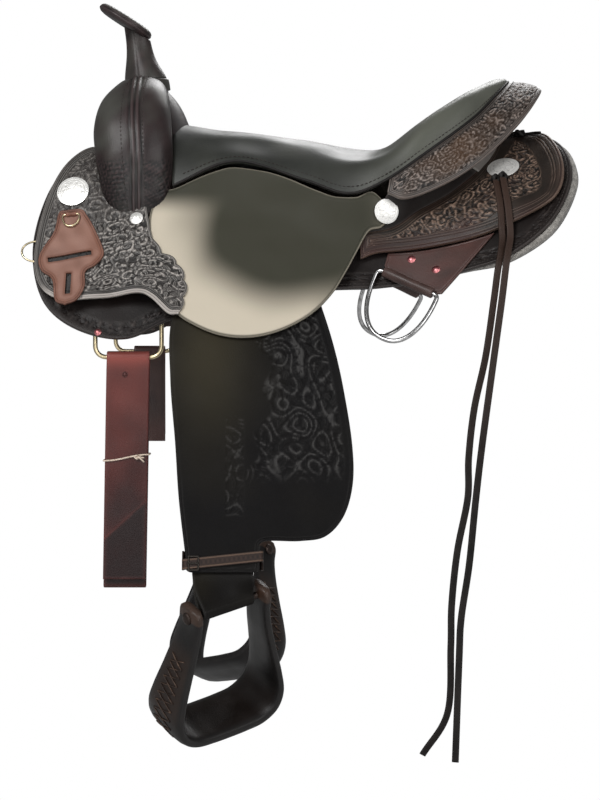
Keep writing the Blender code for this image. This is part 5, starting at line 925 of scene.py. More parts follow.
@dataclass
class Tooling:
    """A sheet's relief: carved where the mask says, with border lines cut beside its edge.

    base is the plain leather's relief paint, crisp how sharply the painted highlights on the motifs' tops
    stand out, and apart the distance between the fine strokes.
    """

    mask: Callable[[Array, Array, Array], Array]
    lines: tuple = (0.0030, 0.0062)
    carving: Carving = field(default_factory=Carving)
    depth: float = 0.0011
    base: float = 0.5
    tone: Optional[Callable[[Array, Array, Array], Array]] = None
    rim: float = 0.35
    crisp: float = 3.2
    apart: float = 0.0046

    def __call__(self, u: Array, w: Array, away: Array) -> dict:
        """Heights and painted values.

        Args:
            u: places along the pattern.
            w: places down the pattern.
            away: distance in from the sheet's edge.

        Returns:
            height in metres, and the relief, ground and tone paints.
        """
        where = np.clip(self.mask(u, w, away), 0.0, 1.0)
        shape = self.carving.height(u, w, where > 0.02)
        stroke = self.carving.strokes(u, w, self.apart) * np.clip(shape * 2.5, 0.25, 1.0)
        height = where * self.depth * (0.75 * shape + 0.50 * stroke - 1.0)
        height += 0.0002 * noise(np.stack([u, w], -1), 0.05, 5)
        # Painted highlight: the relief paint lights the motifs' tops, the strokes and a line beside each cut.
        relief = self.base * (1 - where) + where * (0.22 * shape**self.crisp + 0.78 * stroke**1.5)
        for line in self.lines:
            cut = groove(away, line, 0.00045)
            height -= 0.0006 * cut
            relief = relief * (1 - 0.85 * cut) + 0.18 * groove(away, line + 0.0012, 0.0005)
        relief = relief + self.rim * (1 - step(away, 0.0, 0.0022))
        tone = self.tone(u, w, away) if self.tone else np.zeros(u.shape)
        return {"height": height, "relief": np.clip(relief, 0, 1.2), "ground": where * (shape < 0.05),
                "tone": np.clip(tone, 0, 1)}


def nothing(u: Array, w: Array, away: Array) -> Array:
    """A mask that carves nowhere."""
    return np.zeros(np.shape(u))


def over(level: Array) -> Callable[[Array, Array, Array], Array]:
    """A surface function for sheets that lie on the back form at these node heights."""
    return lambda x, s, t: back_point(x, s, BACK.read(level, x, s) + t)


def border_stitches(outline: Array, inset: float, surface: Callable, thickness: float) -> Blank:
    """A row of stitches this far inside a closed outline, on the sheet's upper face."""
    middle = outline.mean(0)
    along = unit(np.roll(outline, -1, 0) - np.roll(outline, 1, 0))
    inward = np.stack([-along[:, 1], along[:, 0]], -1)
    inward *= np.sign(((middle - outline) * inward).sum(1).mean())
    path = np.vstack([outline + inward * inset, (outline + inward * inset)[:1]])
    low = surface(path[:, 0], path[:, 1], np.full(len(path), thickness - 0.0002))
    high = surface(path[:, 0], path[:, 1], np.full(len(path), thickness + 0.002))
    return stitches(low, unit(high - low))


# Leather sheets on the sides


@dataclass
class Skirts:
    """The skirts and the fleece under them."""

    top: tuple = ((-0.262, 0.036), (0.226, 0.040), (0.244, 0.008), (0.312, 0.008))
    edge: tuple = ((-0.262, 0.036), (-0.302, 0.053), (-0.333, 0.110), (-0.346, 0.183), (-0.330, 0.255),
                   (-0.286, 0.296), (-0.222, 0.310), (-0.159, 0.281), (-0.040, 0.246), (0.108, 0.237),
                   (0.202, 0.240), (0.264, 0.246), (0.318, 0.224), (0.348, 0.170), (0.350, 0.110),
                   (0.336, 0.050), (0.312, 0.008))
    fleece_edge: tuple = ((-0.258, 0.040), (-0.299, 0.058), (-0.329, 0.112), (-0.341, 0.183), (-0.322, 0.238),
                          (-0.283, 0.258), (-0.222, 0.262), (-0.159, 0.258), (-0.040, 0.239), (0.108, 0.231),
                          (0.202, 0.234), (0.264, 0.247), (0.322, 0.230), (0.354, 0.172), (0.354, 0.110),
                          (0.338, 0.050), (0.312, 0.008))

    def build(self) -> None:
        """Places both skirts and both fleeces."""

        def border(u: Array, w: Array, away: Array) -> Array:
            """One in the tooled band along the edge, below the spine."""
            return step(away, 0.0075, 0.0012) * (1 - step(away, 0.0190, 0.0012)) * step(w, 0.05, 0.02)

        def tint(u: Array, w: Array, away: Array) -> Array:
            """Tone, in slow clouds round an even middle."""
            return 0.35 + 0.25 * noise(np.stack([u, w], -1), 0.09, 11)

        tooling = Tooling(border, (0.0032, 0.0066, 0.0198), Carving(0.0100, 9), 0.0007, 0.10, tint, 0.2, 3.2,
                          0.0036)
        sheet = Sheet(even(self.top, 200, sharp=True), self.edge, LEATHER.skirt,
                      lambda x, s, t: back_point(x, s, t - LEATHER.skirt), 400, 112, 0.0018, tooling)
        place_pair("skirt", sheet.blank(), SKIRT, "saddle", "skirt")
        thread = border_stitches(sheet.outline(), 0.0052, sheet.surface, LEATHER.skirt)
        place_pair("skirt_stitches", thread, THREAD, "saddle")

        def lumps(u: Array, w: Array, away: Array) -> dict:
            """Height of the wool, in waves of two sizes, lower at its edge."""
            spot = np.stack([u, w], -1)
            wave = noise(spot, 0.011, 21) * 0.0007 + noise(spot, 0.004, 22) * 0.0004
            return {"height": wave - 0.0010 * (1 - step(away, 0.0, 0.004))}

        under = LEATHER.skirt + GAP
        wool = Sheet(even([(-0.258, 0.040), (0.230, 0.044), (0.246, 0.012), (0.312, 0.008)], 200, sharp=True),
                     self.fleece_edge, LEATHER.fleece,
                     lambda x, s, t: back_point(x, s, t - under - LEATHER.fleece), 280, 80, 0.0042, lumps)
        place_pair("fleece", wool.blank(), FLEECE, "saddle", "fleece")


@dataclass
class FrontJockey:
    """The tooled sheet in front of the fork and round its foot."""

    front: tuple = ((-0.245, 0.066), (-0.276, 0.058), (-0.306, 0.078), (-0.328, 0.118), (-0.340, 0.168),
                    (-0.341, 0.215), (-0.328, 0.247), (-0.300, 0.262), (-0.255, 0.262), (-0.209, 0.257),
                    (-0.190, 0.264), (-0.168, 0.286), (-0.154, 0.288))
    rear: tuple = ((-0.245, 0.066), (-0.215, 0.090), (-0.204, 0.120), (-0.196, 0.152), (-0.190, 0.176),
                   (-0.176, 0.198), (-0.158, 0.212), (-0.146, 0.240), (-0.147, 0.266), (-0.154, 0.288))

    def from_front(self, u: Array, w: Array) -> Array:
        """Distance from the front and lower edge."""
        line = even(self.front, 200)
        return edge_distance(u, w, np.vstack([line, line[::-1]]))

    def band(self, u: Array, w: Array) -> Array:
        """One over the plain border along the front and lower edge."""
        return 1 - step(self.from_front(u, w), 0.0100, 0.0010)

    def scalloped(self) -> Array:
        """The rear edge with pointed notches between its leaves, below the fork's foot."""
        rail = even(self.rear, 420)
        run = np.concatenate([[0], np.cumsum(np.linalg.norm(np.diff(rail, axis=0), axis=1))])
        out = unit(np.gradient(rail, axis=0))[:, ::-1] * (1, -1)
        amount = 0.0048 * (np.abs(np.sin(math.pi * (run - run[-1]) / 0.0255)) ** 0.6 - 0.6)
        amount = amount * step(rail[:, 1], 0.165, 0.03) * (1 - step(run, run[-1] - 0.006, 0.006))
        return rail + out * amount[:, None] * np.sign(out[:, 0].mean())

    def build(self) -> None:
        """Places both front jockeys."""
        rear = self.scalloped()

        def carved(u: Array, w: Array, away: Array) -> Array:
            """One where leaves are cut, inside the plain border and weaker near the top."""
            low = w + 0.16 * (u + 0.24)
            return (0.45 + 0.55 * step(low, 0.146, 0.006)) * step(away, 0.0026, 0.001) * (1 - self.band(u, w))

        def tint(u: Array, w: Array, away: Array) -> Array:
            """Tone, in slow clouds."""
            return 0.25 + 0.25 * noise(np.stack([u, w], -1), 0.05, 4)

        tooling = Tooling(carved, (0.0011,), Carving(0.0185, 6), 0.0013, 0.09, tint, 0.15, 2.6, 0.0042)

        def worked(u: Array, w: Array, away: Array) -> dict:
            """The tooling with two lines and a smooth edge in front, and plain under the keeper's slots."""
            made = tooling(u, w, away)
            from_front = self.from_front(u, w)
            for line in (0.0060, 0.0084):
                made["height"] -= 0.0007 * groove(from_front, line, 0.0005)
                made["relief"] = made["relief"] * (1 - 0.9 * groove(from_front, line, 0.0006))
            # Painted shade: under the keeper's slots the jockey is left plain and painted black for the slots'
            # shade.
            hidden = np.minimum(*(edge_distance(u, w, np.array(slot)) for slot in Keeper.slots)) < 0.0060
            for key in ("height", "relief", "tone"):
                made[key] = np.where(hidden, 0.0, made[key])
            low = step(w, 0.235, 0.02) * (1 - step(from_front, 0.0050, 0.0008))
            made["relief"] = made["relief"] * (1 - low) + (0.85 - 0.6 * groove(from_front, 0.0026, 0.0004)) * low
            made["tone"] = made["tone"] * (1 - low)
            return made

        sheet = Sheet(even(self.front, 420), rear, LEATHER.jockey, over(FRONT_JOCKEY_LEVEL), 290, 180, 0.0017,
                      worked, True, True)
        place_pair("front_jockey", sheet.blank(), TOOLED, "saddle", "front_jockey")


@dataclass
class SeatJockey:
    """The smooth sheet under the rider's leg, from the seat's seam over the stirrup leather."""

    fall: tuple = ((0.122, 0.150), (0.106, 0.164), (0.088, 0.170), (0.071, 0.200), (0.059, 0.224),
                   (0.041, 0.256), (0.014, 0.286), (-0.024, 0.309), (-0.063, 0.319), (-0.100, 0.316),
                   (-0.133, 0.302), (-0.157, 0.284), (-0.178, 0.250), (-0.190, 0.195), (-0.195, 0.150),
                   (-0.184, 0.116))

    def seam_s(self, x: Array) -> Array:
        """Where the seat's seam lies down the side at x, from the nearest place of the back form."""
        s = np.linspace(0.02, 0.26, 481)
        spots = back_point(SEAM_LINE[:, None, 0], s[None, :], 0.0)
        near = np.linalg.norm(spots - SEAM_LINE[:, None], axis=-1).argmin(1)
        return np.interp(x, SEAM_LINE[:, 0], s[near])

    def build(self) -> None:
        """Places both seat jockeys."""
        x = np.linspace(-0.166, 0.096, 12)
        top = [self.fall[-1]] + [(float(a), float(b)) for a, b in zip(x, self.seam_s(x) + 0.003)] + [self.fall[0]]

        def tint(u: Array, w: Array, away: Array) -> Array:
            """Painted reflection: pale beige round the dark middle, mostly low in front, and a pale rim."""
            cloud = noise(np.stack([u, w], -1), 0.10, 17)
            far = np.hypot((u + 0.014) / 0.140, (w - 0.165) / 0.112) + 0.05 * cloud
            value = 0.94 * step(far, 0.62, 0.58) * (1 - 0.75 * step(u, 0.000, 0.085)) * step(w, 0.118, 0.03)
            return np.clip(value, 0, 1) * step(away, 0.001, 0.003) + 0.45 * (1 - step(away, 0.0, 0.0018))

        tooling = Tooling(nothing, (0.0030,), base=0.4, tone=tint, rim=0.6)
        sheet = Sheet(top, even(self.fall[::-1], 300), LEATHER.jockey, over(SEAT_JOCKEY_LEVEL), 260, 90, 0.0017,
                      tooling)
        place_pair("seat_jockey", sheet.blank(), JOCKEY, "saddle", "seat_jockey")


@dataclass
class RearJockey:
    """The tooled sheet behind the cantle and over the rear rigging."""

    outer: tuple = ((0.262, 0.007), (0.300, 0.007), (0.326, 0.034), (0.339, 0.085), (0.344, 0.140),
                    (0.336, 0.180), (0.312, 0.197), (0.247, 0.202), (0.170, 0.195), (0.105, 0.192),
                    (0.078, 0.200))
    inner: tuple = ((0.262, 0.007), (0.256, 0.046), (0.236, 0.090), (0.200, 0.118), (0.155, 0.138),
                    (0.122, 0.158), (0.080, 0.166), (0.078, 0.200))

    def build(self) -> None:
        """Places both rear jockeys."""

        def carved(u: Array, w: Array, away: Array) -> Array:
            """One inside the plain border, which widens to the rear."""
            return step(away, 0.0150 + 0.0150 * smooth((u - 0.230) / 0.060), 0.001)

        def tint(u: Array, w: Array, away: Array) -> Array:
            """Tone of the edge and of the low front end, with slow clouds."""
            low = step(w, 0.165, 0.02) * (1 - step(u, 0.20, 0.06))
            return 0.35 * (1 - step(away, 0.003, 0.002)) + 0.55 * low + 0.2 * noise(np.stack([u, w], -1), 0.06, 8)

        tooling = Tooling(carved, (0.0036, 0.0098, 0.0134), Carving(0.0200, 12), 0.0012, 0.05, tint, 0.10, 3.4,
                          0.0044)
        sheet = Sheet(self.outer, self.inner, LEATHER.jockey, over(REAR_JOCKEY_LEVEL), 360, 130, 0.0017, tooling)
        place_pair("rear_jockey", sheet.blank(), TOOLED_BROWN, "saddle", "rear_jockey")


# Seat, cantle and roll


def bezier(a: Array, b: Array, c: Array, d: Array, t: Array) -> Array:
    """Points of cubic curves with ends a and d: one row per station, one column per place t."""
    a, b, c, d = (p[:, None] for p in (a, b, c, d))
    t = t[None, :, None]
    return (1 - t) ** 3 * a + 3 * (1 - t) ** 2 * t * b + 3 * (1 - t) * t**2 * c + t**3 * d


@dataclass
class Seat:
    """The padded seat from the fork up the cantle, its seam cord, the tooled roll and the cantle's back."""

    padding: float = 0.010
    seam_edge: float = 0.006
    rows: int = 130
    dish_columns: int = 56
    side_columns: int = 26

    def half(self, places: Array) -> Array:
        """The near half's upper face: a bezier dish to the crest, then one down to the seam."""
        centre, crest = spline(SEAT_CENTRE, places), spline(SEAT_CREST, places, True)
        seam = spline(SEAT_SEAM, places, True)
        pitch = np.radians(spline(np.array(SHOULDER_PITCH)[:, None], places))
        across = unit((crest - centre) * (1, 1, 0))
        reach = np.linalg.norm((crest - centre)[:, :2], axis=1)[:, None]
        over_crest = across * np.cos(pitch) - np.array([0, 0, 1.0]) * np.sin(pitch)
        edge = np.linalg.norm(seam - crest, axis=1)[:, None]
        down = unit((seam - crest) + np.array([0, 0, -0.6]) * edge)
        dish = bezier(centre, centre + across * reach * 0.42, crest - over_crest * reach * 0.34, crest,
                      np.linspace(0, 1, self.dish_columns))
        side = bezier(crest, crest + over_crest * edge * 0.36, seam - down * edge * 0.34, seam,
                      np.linspace(0, 1, self.side_columns))
        return np.concatenate([dish, side[:, 1:]], 1)

    def cover(self) -> None:
        """The padded seat cover over both halves, as one skin."""
        near = self.half(np.linspace(0, 1, self.rows))
        whole = np.concatenate([near[:, :0:-1], near * (1, -1, 1)], 1)
        normals = grid_normals(whole)
        depth = np.full(near.shape[1], self.padding)
        depth[self.dish_columns:] = np.linspace(self.padding, self.seam_edge, self.side_columns - 1)
        depth = np.concatenate([depth[:0:-1], depth])[None, :, None]
        edge = np.linalg.norm(near[:, -1] - near[:, self.dish_columns - 1], axis=1)
        slack = np.clip((edge - 0.004) / 0.020, 0.15, 1.0)[:, None, None]
        wave = noise(whole * (1, 1, 0.4), 0.060, 31)[..., None] * 0.0006
        top = whole + normals * wave
        bottom = whole - normals * depth * slack
        relief = 0.5 + 0.15 * noise(whole, 0.05, 33)
        # Painted highlight: the pale olive-grey tone grows towards the cantle and a little with height.
        height = np.clip((whole[..., 2] - 0.055) / 0.06, 0, 1)
        rear = step(whole[..., 0], 0.070, 0.080)
        tone = np.clip(0.10 * height + 0.55 * rear + 0.15 * noise(whole, 0.08, 34), 0, 1)
        skin = shell(top, bottom, {"relief": relief, "tone": tone})
        piece = place_piece("seat_cover", skin, SEAT, "saddle", ("seat_cover", "ground_seat"))

    def seams(self) -> None:
        """The black cord in the seam and stitch lines beside it."""
        places = np.linspace(0.0, 1.0, 220)
        near = self.half(places)
        seam, beside = near[:, -1], near[:, -5]
        normal = grid_normals(near)[:, -4]
        cord = tube_along(seam + normal * 0.0004, 0.0019, 8)
        place_pair("seat_seam_cord", cord, LACE, "saddle")
        keep = places > 0.02
        place_pair("seat_stitches", stitches(beside[keep] + normal[keep] * 0.0002, normal[keep]), THREAD,
                   "saddle")

    def roll_grid(self, stations: int, columns: int) -> tuple[Array, Array, Array]:
        """The roll's upper face from the seam outwards, its normals and the width at each station."""
        places = np.linspace(0.0, 1.0, stations)
        seam = spline(SEAT_SEAM, 0.60 + 0.40 * places, True)
        edge = spline(ROLL_EDGE, places, True)
        out = unit(edge - seam)
        wide = np.linalg.norm(edge - seam, axis=1)[:, None]
        start = seam + out * 0.0012
        bulge = np.array([0, 0, 0.1]) * wide + unit((seam - (0.05, 0, 0)) * (1, 1, 0)) * 0.06 * wide
        keys = np.stack([start, start + (edge - start) * 0.35 + bulge * 0.8,
                         start + (edge - start) * 0.70 + bulge * 0.8, edge], 1)
        keys = np.concatenate([2 * keys[:, :1] - keys[:, 1:2], keys, 2 * keys[:, -1:] - keys[:, -2:-1]], 1)
        at = np.linspace(0, 3, columns)
        k = np.minimum(at.astype(int), 2)
        grid = cubic(keys[:, k], keys[:, k + 1], keys[:, k + 2], keys[:, k + 3], (at - k)[None, :, None])
        normals = grid_normals(grid)
        return grid, normals, wide

    def roll(self) -> None:
        """The tooled roll round the cantle, both halves as one skin."""
        grid, normals, wide = self.roll_grid(200, 60)
        run = np.concatenate([[0], np.cumsum(np.linalg.norm(np.diff(grid[:, 30], axis=0), axis=1))])
        u = np.broadcast_to((run - run[-1])[:, None], grid.shape[:2])
        w = np.linspace(0, 1, 60)[None, :] * wide
        away = np.minimum(np.minimum(w, wide - w), (run[:, None] + 0.0005))

        def carved(u: Array, w: Array, away: Array) -> Array:
            """One inside the plain border."""
            return step(away, 0.0062, 0.001)

        def tint(u: Array, w: Array, away: Array) -> Array:
            """Tone: a painted warm highlight in a band round the roll's middle, with slow clouds."""
            warm_highlight = np.exp(-(((u + 0.205) / 0.055) ** 2))
            return (0.10 + 0.60 * warm_highlight) * step(away, 0.004, 0.012) + 0.15 * noise(np.stack([u, w], -1), 0.05, 2)

        tooling = Tooling(carved, (0.0030, 0.0052), Carving(0.0170, 14), 0.0011, 0.12, tint, 0.15, 3.0, 0.0040)
        made = tooling(u, w, away)
        fall = 0.0034 - np.sqrt(np.maximum(0.0034**2 - np.maximum(0.0034 - (wide - w), 0) ** 2, 0))
        top = grid + normals * (made.pop("height") - fall)[..., None]
        bottom = grid - normals * 0.007

        def both(part: Array, flip: bool) -> Array:
            """One side's rows and their mirror, with y turned over where they are points."""
            mirror = part[-2::-1] * ((1, -1, 1) if flip else 1)
            return np.concatenate([part, mirror])

        paint = {key: both(values, False) for key, values in made.items()}
        skin = shell(both(top, True), both(bottom, True), paint)
        place_piece("cheyenne_roll", skin, ROLL, "saddle", ("cheyenne_roll",))
        line = grid[:, 7] + normals[:, 7] * 0.0002
        place_pair("roll_stitches", stitches(line, normals[:, 7]), THREAD, "saddle")

    def cantle_back(self) -> None:
        """The leather down the cantle's back, from under the roll to the rear jockeys."""
        grid, normals, _ = self.roll_grid(120, 31)
        under = grid - normals * (0.007 + GAP)
        first = 50
        top = (under[first:, 10] + under[first:, 20]) / 2 - np.array([0, 0, 0.0004])
        share = np.linspace(0, 1, len(top))
        plan = spline([(0.236, -0.092), (0.252, -0.072), (0.262, -0.048), (0.267, -0.024), (0.269, 0.0)], share)
        s = np.linspace(0.0, 0.3, 301)
        lines = back_point(plan[:, :1], s[None], 0.0)
        near = np.abs(lines[..., 1] - plan[:, 1:2]).argmin(1)
        rest = lines[np.arange(len(plan)), near]
        foot = np.stack([plan[:, 0], plan[:, 1], rest[:, 2] + LEATHER.bar_rear + LEATHER.jockey + 0.0010], -1)
        t = np.linspace(0, 1, 24)[None, :, None]
        face = top[:, None] + (foot - top)[:, None] * t
        face = face + np.stack([0 * t[..., 0] + 0.004 * np.sin(np.pi * t[..., 0])] * 3, -1) * (0.6, 0, 0.5)
        out = grid_normals(face, 0)

        def both(part: Array) -> Array:
            """One side's points and their mirror."""
            return np.concatenate([part, part[-2::-1] * (1, -1, 1)])

        relief = np.full(both(face).shape[:2], 0.45)
        skin = shell(both(face), both(face - out * 0.003), {"relief": relief})
        place_piece("cantle_back", skin, TOOLED, "saddle", ("cantle_back",))

    def cantle_sides(self) -> None:
        """Dark leather from under the roll's front half down to the rear jockey, on both sides."""
        grid, normals, _ = self.roll_grid(120, 31)
        top = (grid - normals * (0.007 + GAP))[2:54, 12]
        plan = spline([(0.084, 0.168), (0.122, 0.162), (0.155, 0.142), (0.200, 0.122), (0.237, 0.094)],
                      np.linspace(0, 1, len(top)))
        foot = over(REAR_JOCKEY_LEVEL)(plan[:, 0], plan[:, 1], np.full(len(plan), LEATHER.jockey / 2))
        t = np.linspace(0, 1, 20)[None, :, None]
        face = top[:, None] + (foot - top)[:, None] * t
        out = -grid_normals(face, 1)
        place_pair("cantle_side", shell(face, face - out * 0.002, {"relief": np.full(face.shape[:2], 0.2)}),
                   SKIRT, "saddle")

    def build(self) -> None:
        """Places the seat, seams, roll, and the cantle's back and sides."""
        self.cover()
        self.seams()
        self.roll()
        self.cantle_back()
        self.cantle_sides()


# Fork and horn


@dataclass
class Fork:
    """The leather-covered fork, lofted through rings from foot to foot, with its double welt."""

    stations: tuple = (
        (-0.2120, -0.1120, -0.060, 0.0300, 0.022, 8.0), (-0.2125, -0.1090, -0.036, 0.0430, 0.028, 4.0),
        (-0.2140, -0.1065, -0.008, 0.0475, 0.031, 2.0), (-0.2165, -0.1030, 0.024, 0.0505, 0.033, 10.0),
        (-0.2185, -0.0920, 0.056, 0.0510, 0.034, 30.0), (-0.2175, -0.0700, 0.083, 0.0470, 0.035, 52.0),
        (-0.2120, -0.0380, 0.098, 0.0380, 0.035, 74.0), (-0.2080, 0.0, 0.1010, 0.0320, 0.035, 90.0))
    rows: int = 130
    sides: int = 150
    square: float = 2.4

    def rings(self, places: Array) -> tuple[Array, Array]:
        """Ring points and outward directions of the near half at these places."""
        keys = np.array(self.stations)
        beyond = keys[-2] * (1, -1, 1, 1, 1, -1) + (0, 0, 0, 0, 0, 180.0)
        padded = np.vstack([2 * keys[0] - keys[1], keys, beyond])
        at = places * (len(keys) - 1)
        k = np.minimum(at.astype(int), len(keys) - 2)
        now = cubic(padded[k], padded[k + 1], padded[k + 2], padded[k + 3], (at - k)[:, None])
        lean = np.radians(now[:, 5])
        out = np.stack([0 * lean, -np.cos(lean), np.sin(lean)], -1)
        a = np.arange(self.sides) * 2 * math.pi / self.sides
        scale = (np.abs(np.cos(a)) ** self.square + np.abs(np.sin(a)) ** self.square) ** (-1 / self.square)
        fore = (np.cos(a) * scale)[None, :, None] * now[:, None, 3:4] * TAIL
        thick = (np.sin(a) * scale)[None, :, None] * now[:, None, 4:5] * out[:, None]
        out = fore / now[:, None, 3:4] ** 2 + thick / now[:, None, 4:5] ** 2
        return now[:, None, :3] + fore + thick, unit(out)

    def build(self) -> None:
        """Places the fork cover, its stitch rows and the tooled patches."""
        places = np.linspace(0.0, 1.0, self.rows)
        points, normals = self.rings(places)
        x, z = points[..., 0], points[..., 2]
        outer = step(normals[..., 1] * -1 + normals[..., 2], 0.2, 0.3)
        middle = -0.2115 - 0.004 * smooth((z - 0.02) / 0.08)
        from_seam = np.abs(x - middle)
        welt = 0.0016 * groove(from_seam, 0.0034, 0.0017) - 0.0014 * groove(from_seam, 0.0, 0.0009)
        welt -= 0.0012 * groove(from_seam, 0.0068, 0.0009)
        patch = (step(from_seam, 0.0095, 0.002) * (1 - step(z, 0.012, 0.010))
                 * step(normals[..., 1] * -1, 0.45, 0.1))
        weave = noise(points, 0.0042, 46)
        height = outer * (welt + patch * 0.0005 * weave) + 0.0004 * noise(points, 0.035, 41)
        points = points + normals * height[..., None]
        # Painted highlight on the welt's bead beside the seam, whose lines are darker.
        relief = 0.5 + 0.12 * noise(points, 0.03, 42) + outer * (0.5 * groove(from_seam, 0.0034, 0.0016)
                 - 0.6 * groove(from_seam, 0.0, 0.0010) - 0.6 * groove(from_seam, 0.0068, 0.0012))
        relief = relief * (1 - patch) + patch * (0.30 + 0.9 * weave)
        relief = relief * (0.35 + 0.65 * step(z, -0.040, 0.060))
        # Painted sheen: the pale olive-grey tone on the front face and over the top.
        front = step(-x, 0.222, 0.030) * step(z, 0.0, 0.05)
        tone = np.clip(0.75 * front + 0.35 * step(z, 0.060, 0.05) + 0.25 * noise(points, 0.03, 43), 0, 1)
        sign = np.array([1, -1, 1])
        rings = np.concatenate([points, points[-2::-1] * sign])
        foot = rings[:1].mean(1, keepdims=True) + 0 * rings[:1]
        rings = np.concatenate([foot, rings, foot * sign])
        paint = {}
        for key, values in (("relief", relief), ("tone", tone)):
            values = np.concatenate([values, values[-2::-1]])
            paint[key] = np.concatenate([values[:1], values, values[-1:]]).ravel()
        skin = Blank(rings.reshape(-1, 3), grid_faces(len(rings), self.sides, wrap=True), paint).outward()
        place_piece("fork_cover", skin, FORK, "saddle", ("fork_cover",))
        self.back_ear()
        quarter = self.sides // 4
        for name, offset in (("front", 7), ("rear", -6)):
            line, up = points[6:-6, quarter + offset], normals[6:-6, quarter + offset]
            place_pair(f"fork_{name}_stitches", stitches(line, up), THREAD, "saddle")

    def back_ear(self) -> None:
        """The leather that slopes from the fork's back down on to the seat."""
        q = np.linspace(-1, 1, 61)[:, None]
        t = np.linspace(0, 1, 24)[None, :]
        low = np.stack([-0.1490 - 0.014 * q**2, 0.070 * q, 0.0700 - 0.026 * q**2], -1)
        high = np.stack([-0.1830 + 0 * q, 0.046 * q, 0.1215 - 0.030 * q**2], -1)
        face = low + (high - low) * t[..., None]
        bow = np.sin(math.pi * t) * (1 - 0.5 * q**2)
        face = face + bow[..., None] * np.array([0.0035, 0, 0.0030])
        relief = 0.45 + 0.25 * noise(face, 0.02, 44) - 0.4 * groove(t, 0.06, 0.03)
        skin = shell(face, face - np.array([0.016, 0, 0.010]), {"relief": np.broadcast_to(relief, face.shape[:2])})
        place_piece("fork_back_ear", skin, FORK, "saddle")


@dataclass
class Horn:
    """The horn's wrapped neck and its flat tilted cap."""

    foot: tuple = (-0.2070, 0.0, 0.130)
    neck_end: tuple = (-0.2180, 0.0, 0.190)
    centre: tuple = (-0.2345, 0.0, 0.2110)
    tilt: float = math.radians(-32.0)
    length: float = 0.080
    width: float = 0.070
    thick: float = 0.013
    top_radius: float = 0.0155
    base_radius: float = 0.0285

    def build(self) -> None:
        """Places the neck wrap and the cap with its stitches."""
        foot, centre = np.array(self.foot), np.array(self.centre)
        lean = unit(np.array(self.neck_end) - foot)
        across, side = np.cross((0, 1.0, 0), lean), np.array([0, 1.0, 0])
        up = np.array([-math.sin(self.tilt), 0.0, math.cos(self.tilt)])
        a = np.arange(96) * 2 * math.pi / 96
        f = np.linspace(0, 1, 90)[:, None]
        share = smooth(np.clip(f * 1.14 - 0.14, 0, 1))
        radius = self.top_radius + (self.base_radius - self.top_radius) * (1 - share) ** 1.5
        band = 0.0016 * (1 - step(f, 0.205, 0.012)) - 0.0009 * groove(f, 0.225, 0.010)
        lap = 0.0006 * step(np.abs(a - 4.4)[None], 0.0, 0.06) - 0.0006
        wrap = 0.0004 * np.sin(a[None] * 2 + f * 9) + band + lap
        ring = (np.cos(a)[None, :, None] * across + 0.92 * np.sin(a)[None, :, None] * side)
        radial = ring * (radius + wrap)[..., None]
        end = (((centre - foot) @ up) - self.thick / 2 + 0.002 - radial[-1] @ up) / (lean @ up)
        along = -0.016 + (end[None] + 0.016) * f
        points = foot + along[..., None] * lean + radial
        relief = 0.5 + 0.25 * noise(points, 0.016, 51) - 0.5 * groove(f, 0.225, 0.012)
        tone = np.clip(0.15 + 0.5 * (1 - f) + 0.3 * noise(points, 0.03, 52), 0, 1) * np.ones_like(a)
        low = points[:1].mean(1, keepdims=True) + 0 * points[:1]
        high = points[-1:].mean(1, keepdims=True) + 0 * points[:1]
        rings = np.concatenate([low, points, high])
        paint = {k: np.concatenate([v[:1], v, v[-1:]]).ravel() for k, v in (("relief", relief), ("tone", tone))}
        neck = Blank(rings.reshape(-1, 3), grid_faces(92, 96, wrap=True), paint).outward()
        place_piece("horn_neck_wrap", neck, FORK, "saddle", ("horn_neck_wrap",))
        half, t = self.length / 2, self.thick
        profile = [(0.0, t / 2), (half * 0.3, t / 2), (half * 0.6, t / 2), (half - 0.012, t / 2),
                   (half - 0.0085, t / 2 - 0.0005), (half - 0.0078, t / 2 - 0.0009),
                    (half - 0.0071, t / 2 - 0.0003),
                   (half - 0.0045, t / 2 - 0.0009), (half - 0.0022, t / 2 - 0.0024), (half - 0.0006, 0.0022),
                   (half - 0.0006, 0.0006), (half, 0.0), (half, -0.0018), (half - 0.0011, -0.0032),
                   (half - 0.004, -t / 2 + 0.0012), (half - 0.009, -t / 2), (half * 0.6, -t / 2), (0.0, -t / 2)]
        cap = turned(profile, centre, (math.cos(self.tilt), 0, math.sin(self.tilt)), (0, 1, 0), 96,
                     self.width / self.length)
        # Painted sheen: the cap's top face takes the pale olive-grey tone.
        cap.paint = {"relief": 0.5 + 0.3 * noise(cap.points, 0.02, 53),
                     "tone": np.clip(0.9 * ((cap.points - centre) @ up > 0.003), 0, 1)}
        place_piece("horn_cap", cap, FORK, "saddle", ("horn_cap",))
        turn = np.linspace(0, 2 * math.pi, 160)
        fore = np.array([math.cos(self.tilt), 0, math.sin(self.tilt)])
        ring = (centre + up * (t / 2 - 0.0009) + (half - 0.0078) * (np.cos(turn)[:, None] * fore
                + np.sin(turn)[:, None] * side * self.width / self.length))
        place_piece("horn_cap_stitches", stitches(ring, np.broadcast_to(up, ring.shape)), THREAD, "saddle")


# Fender, stirrup leather and stirrup


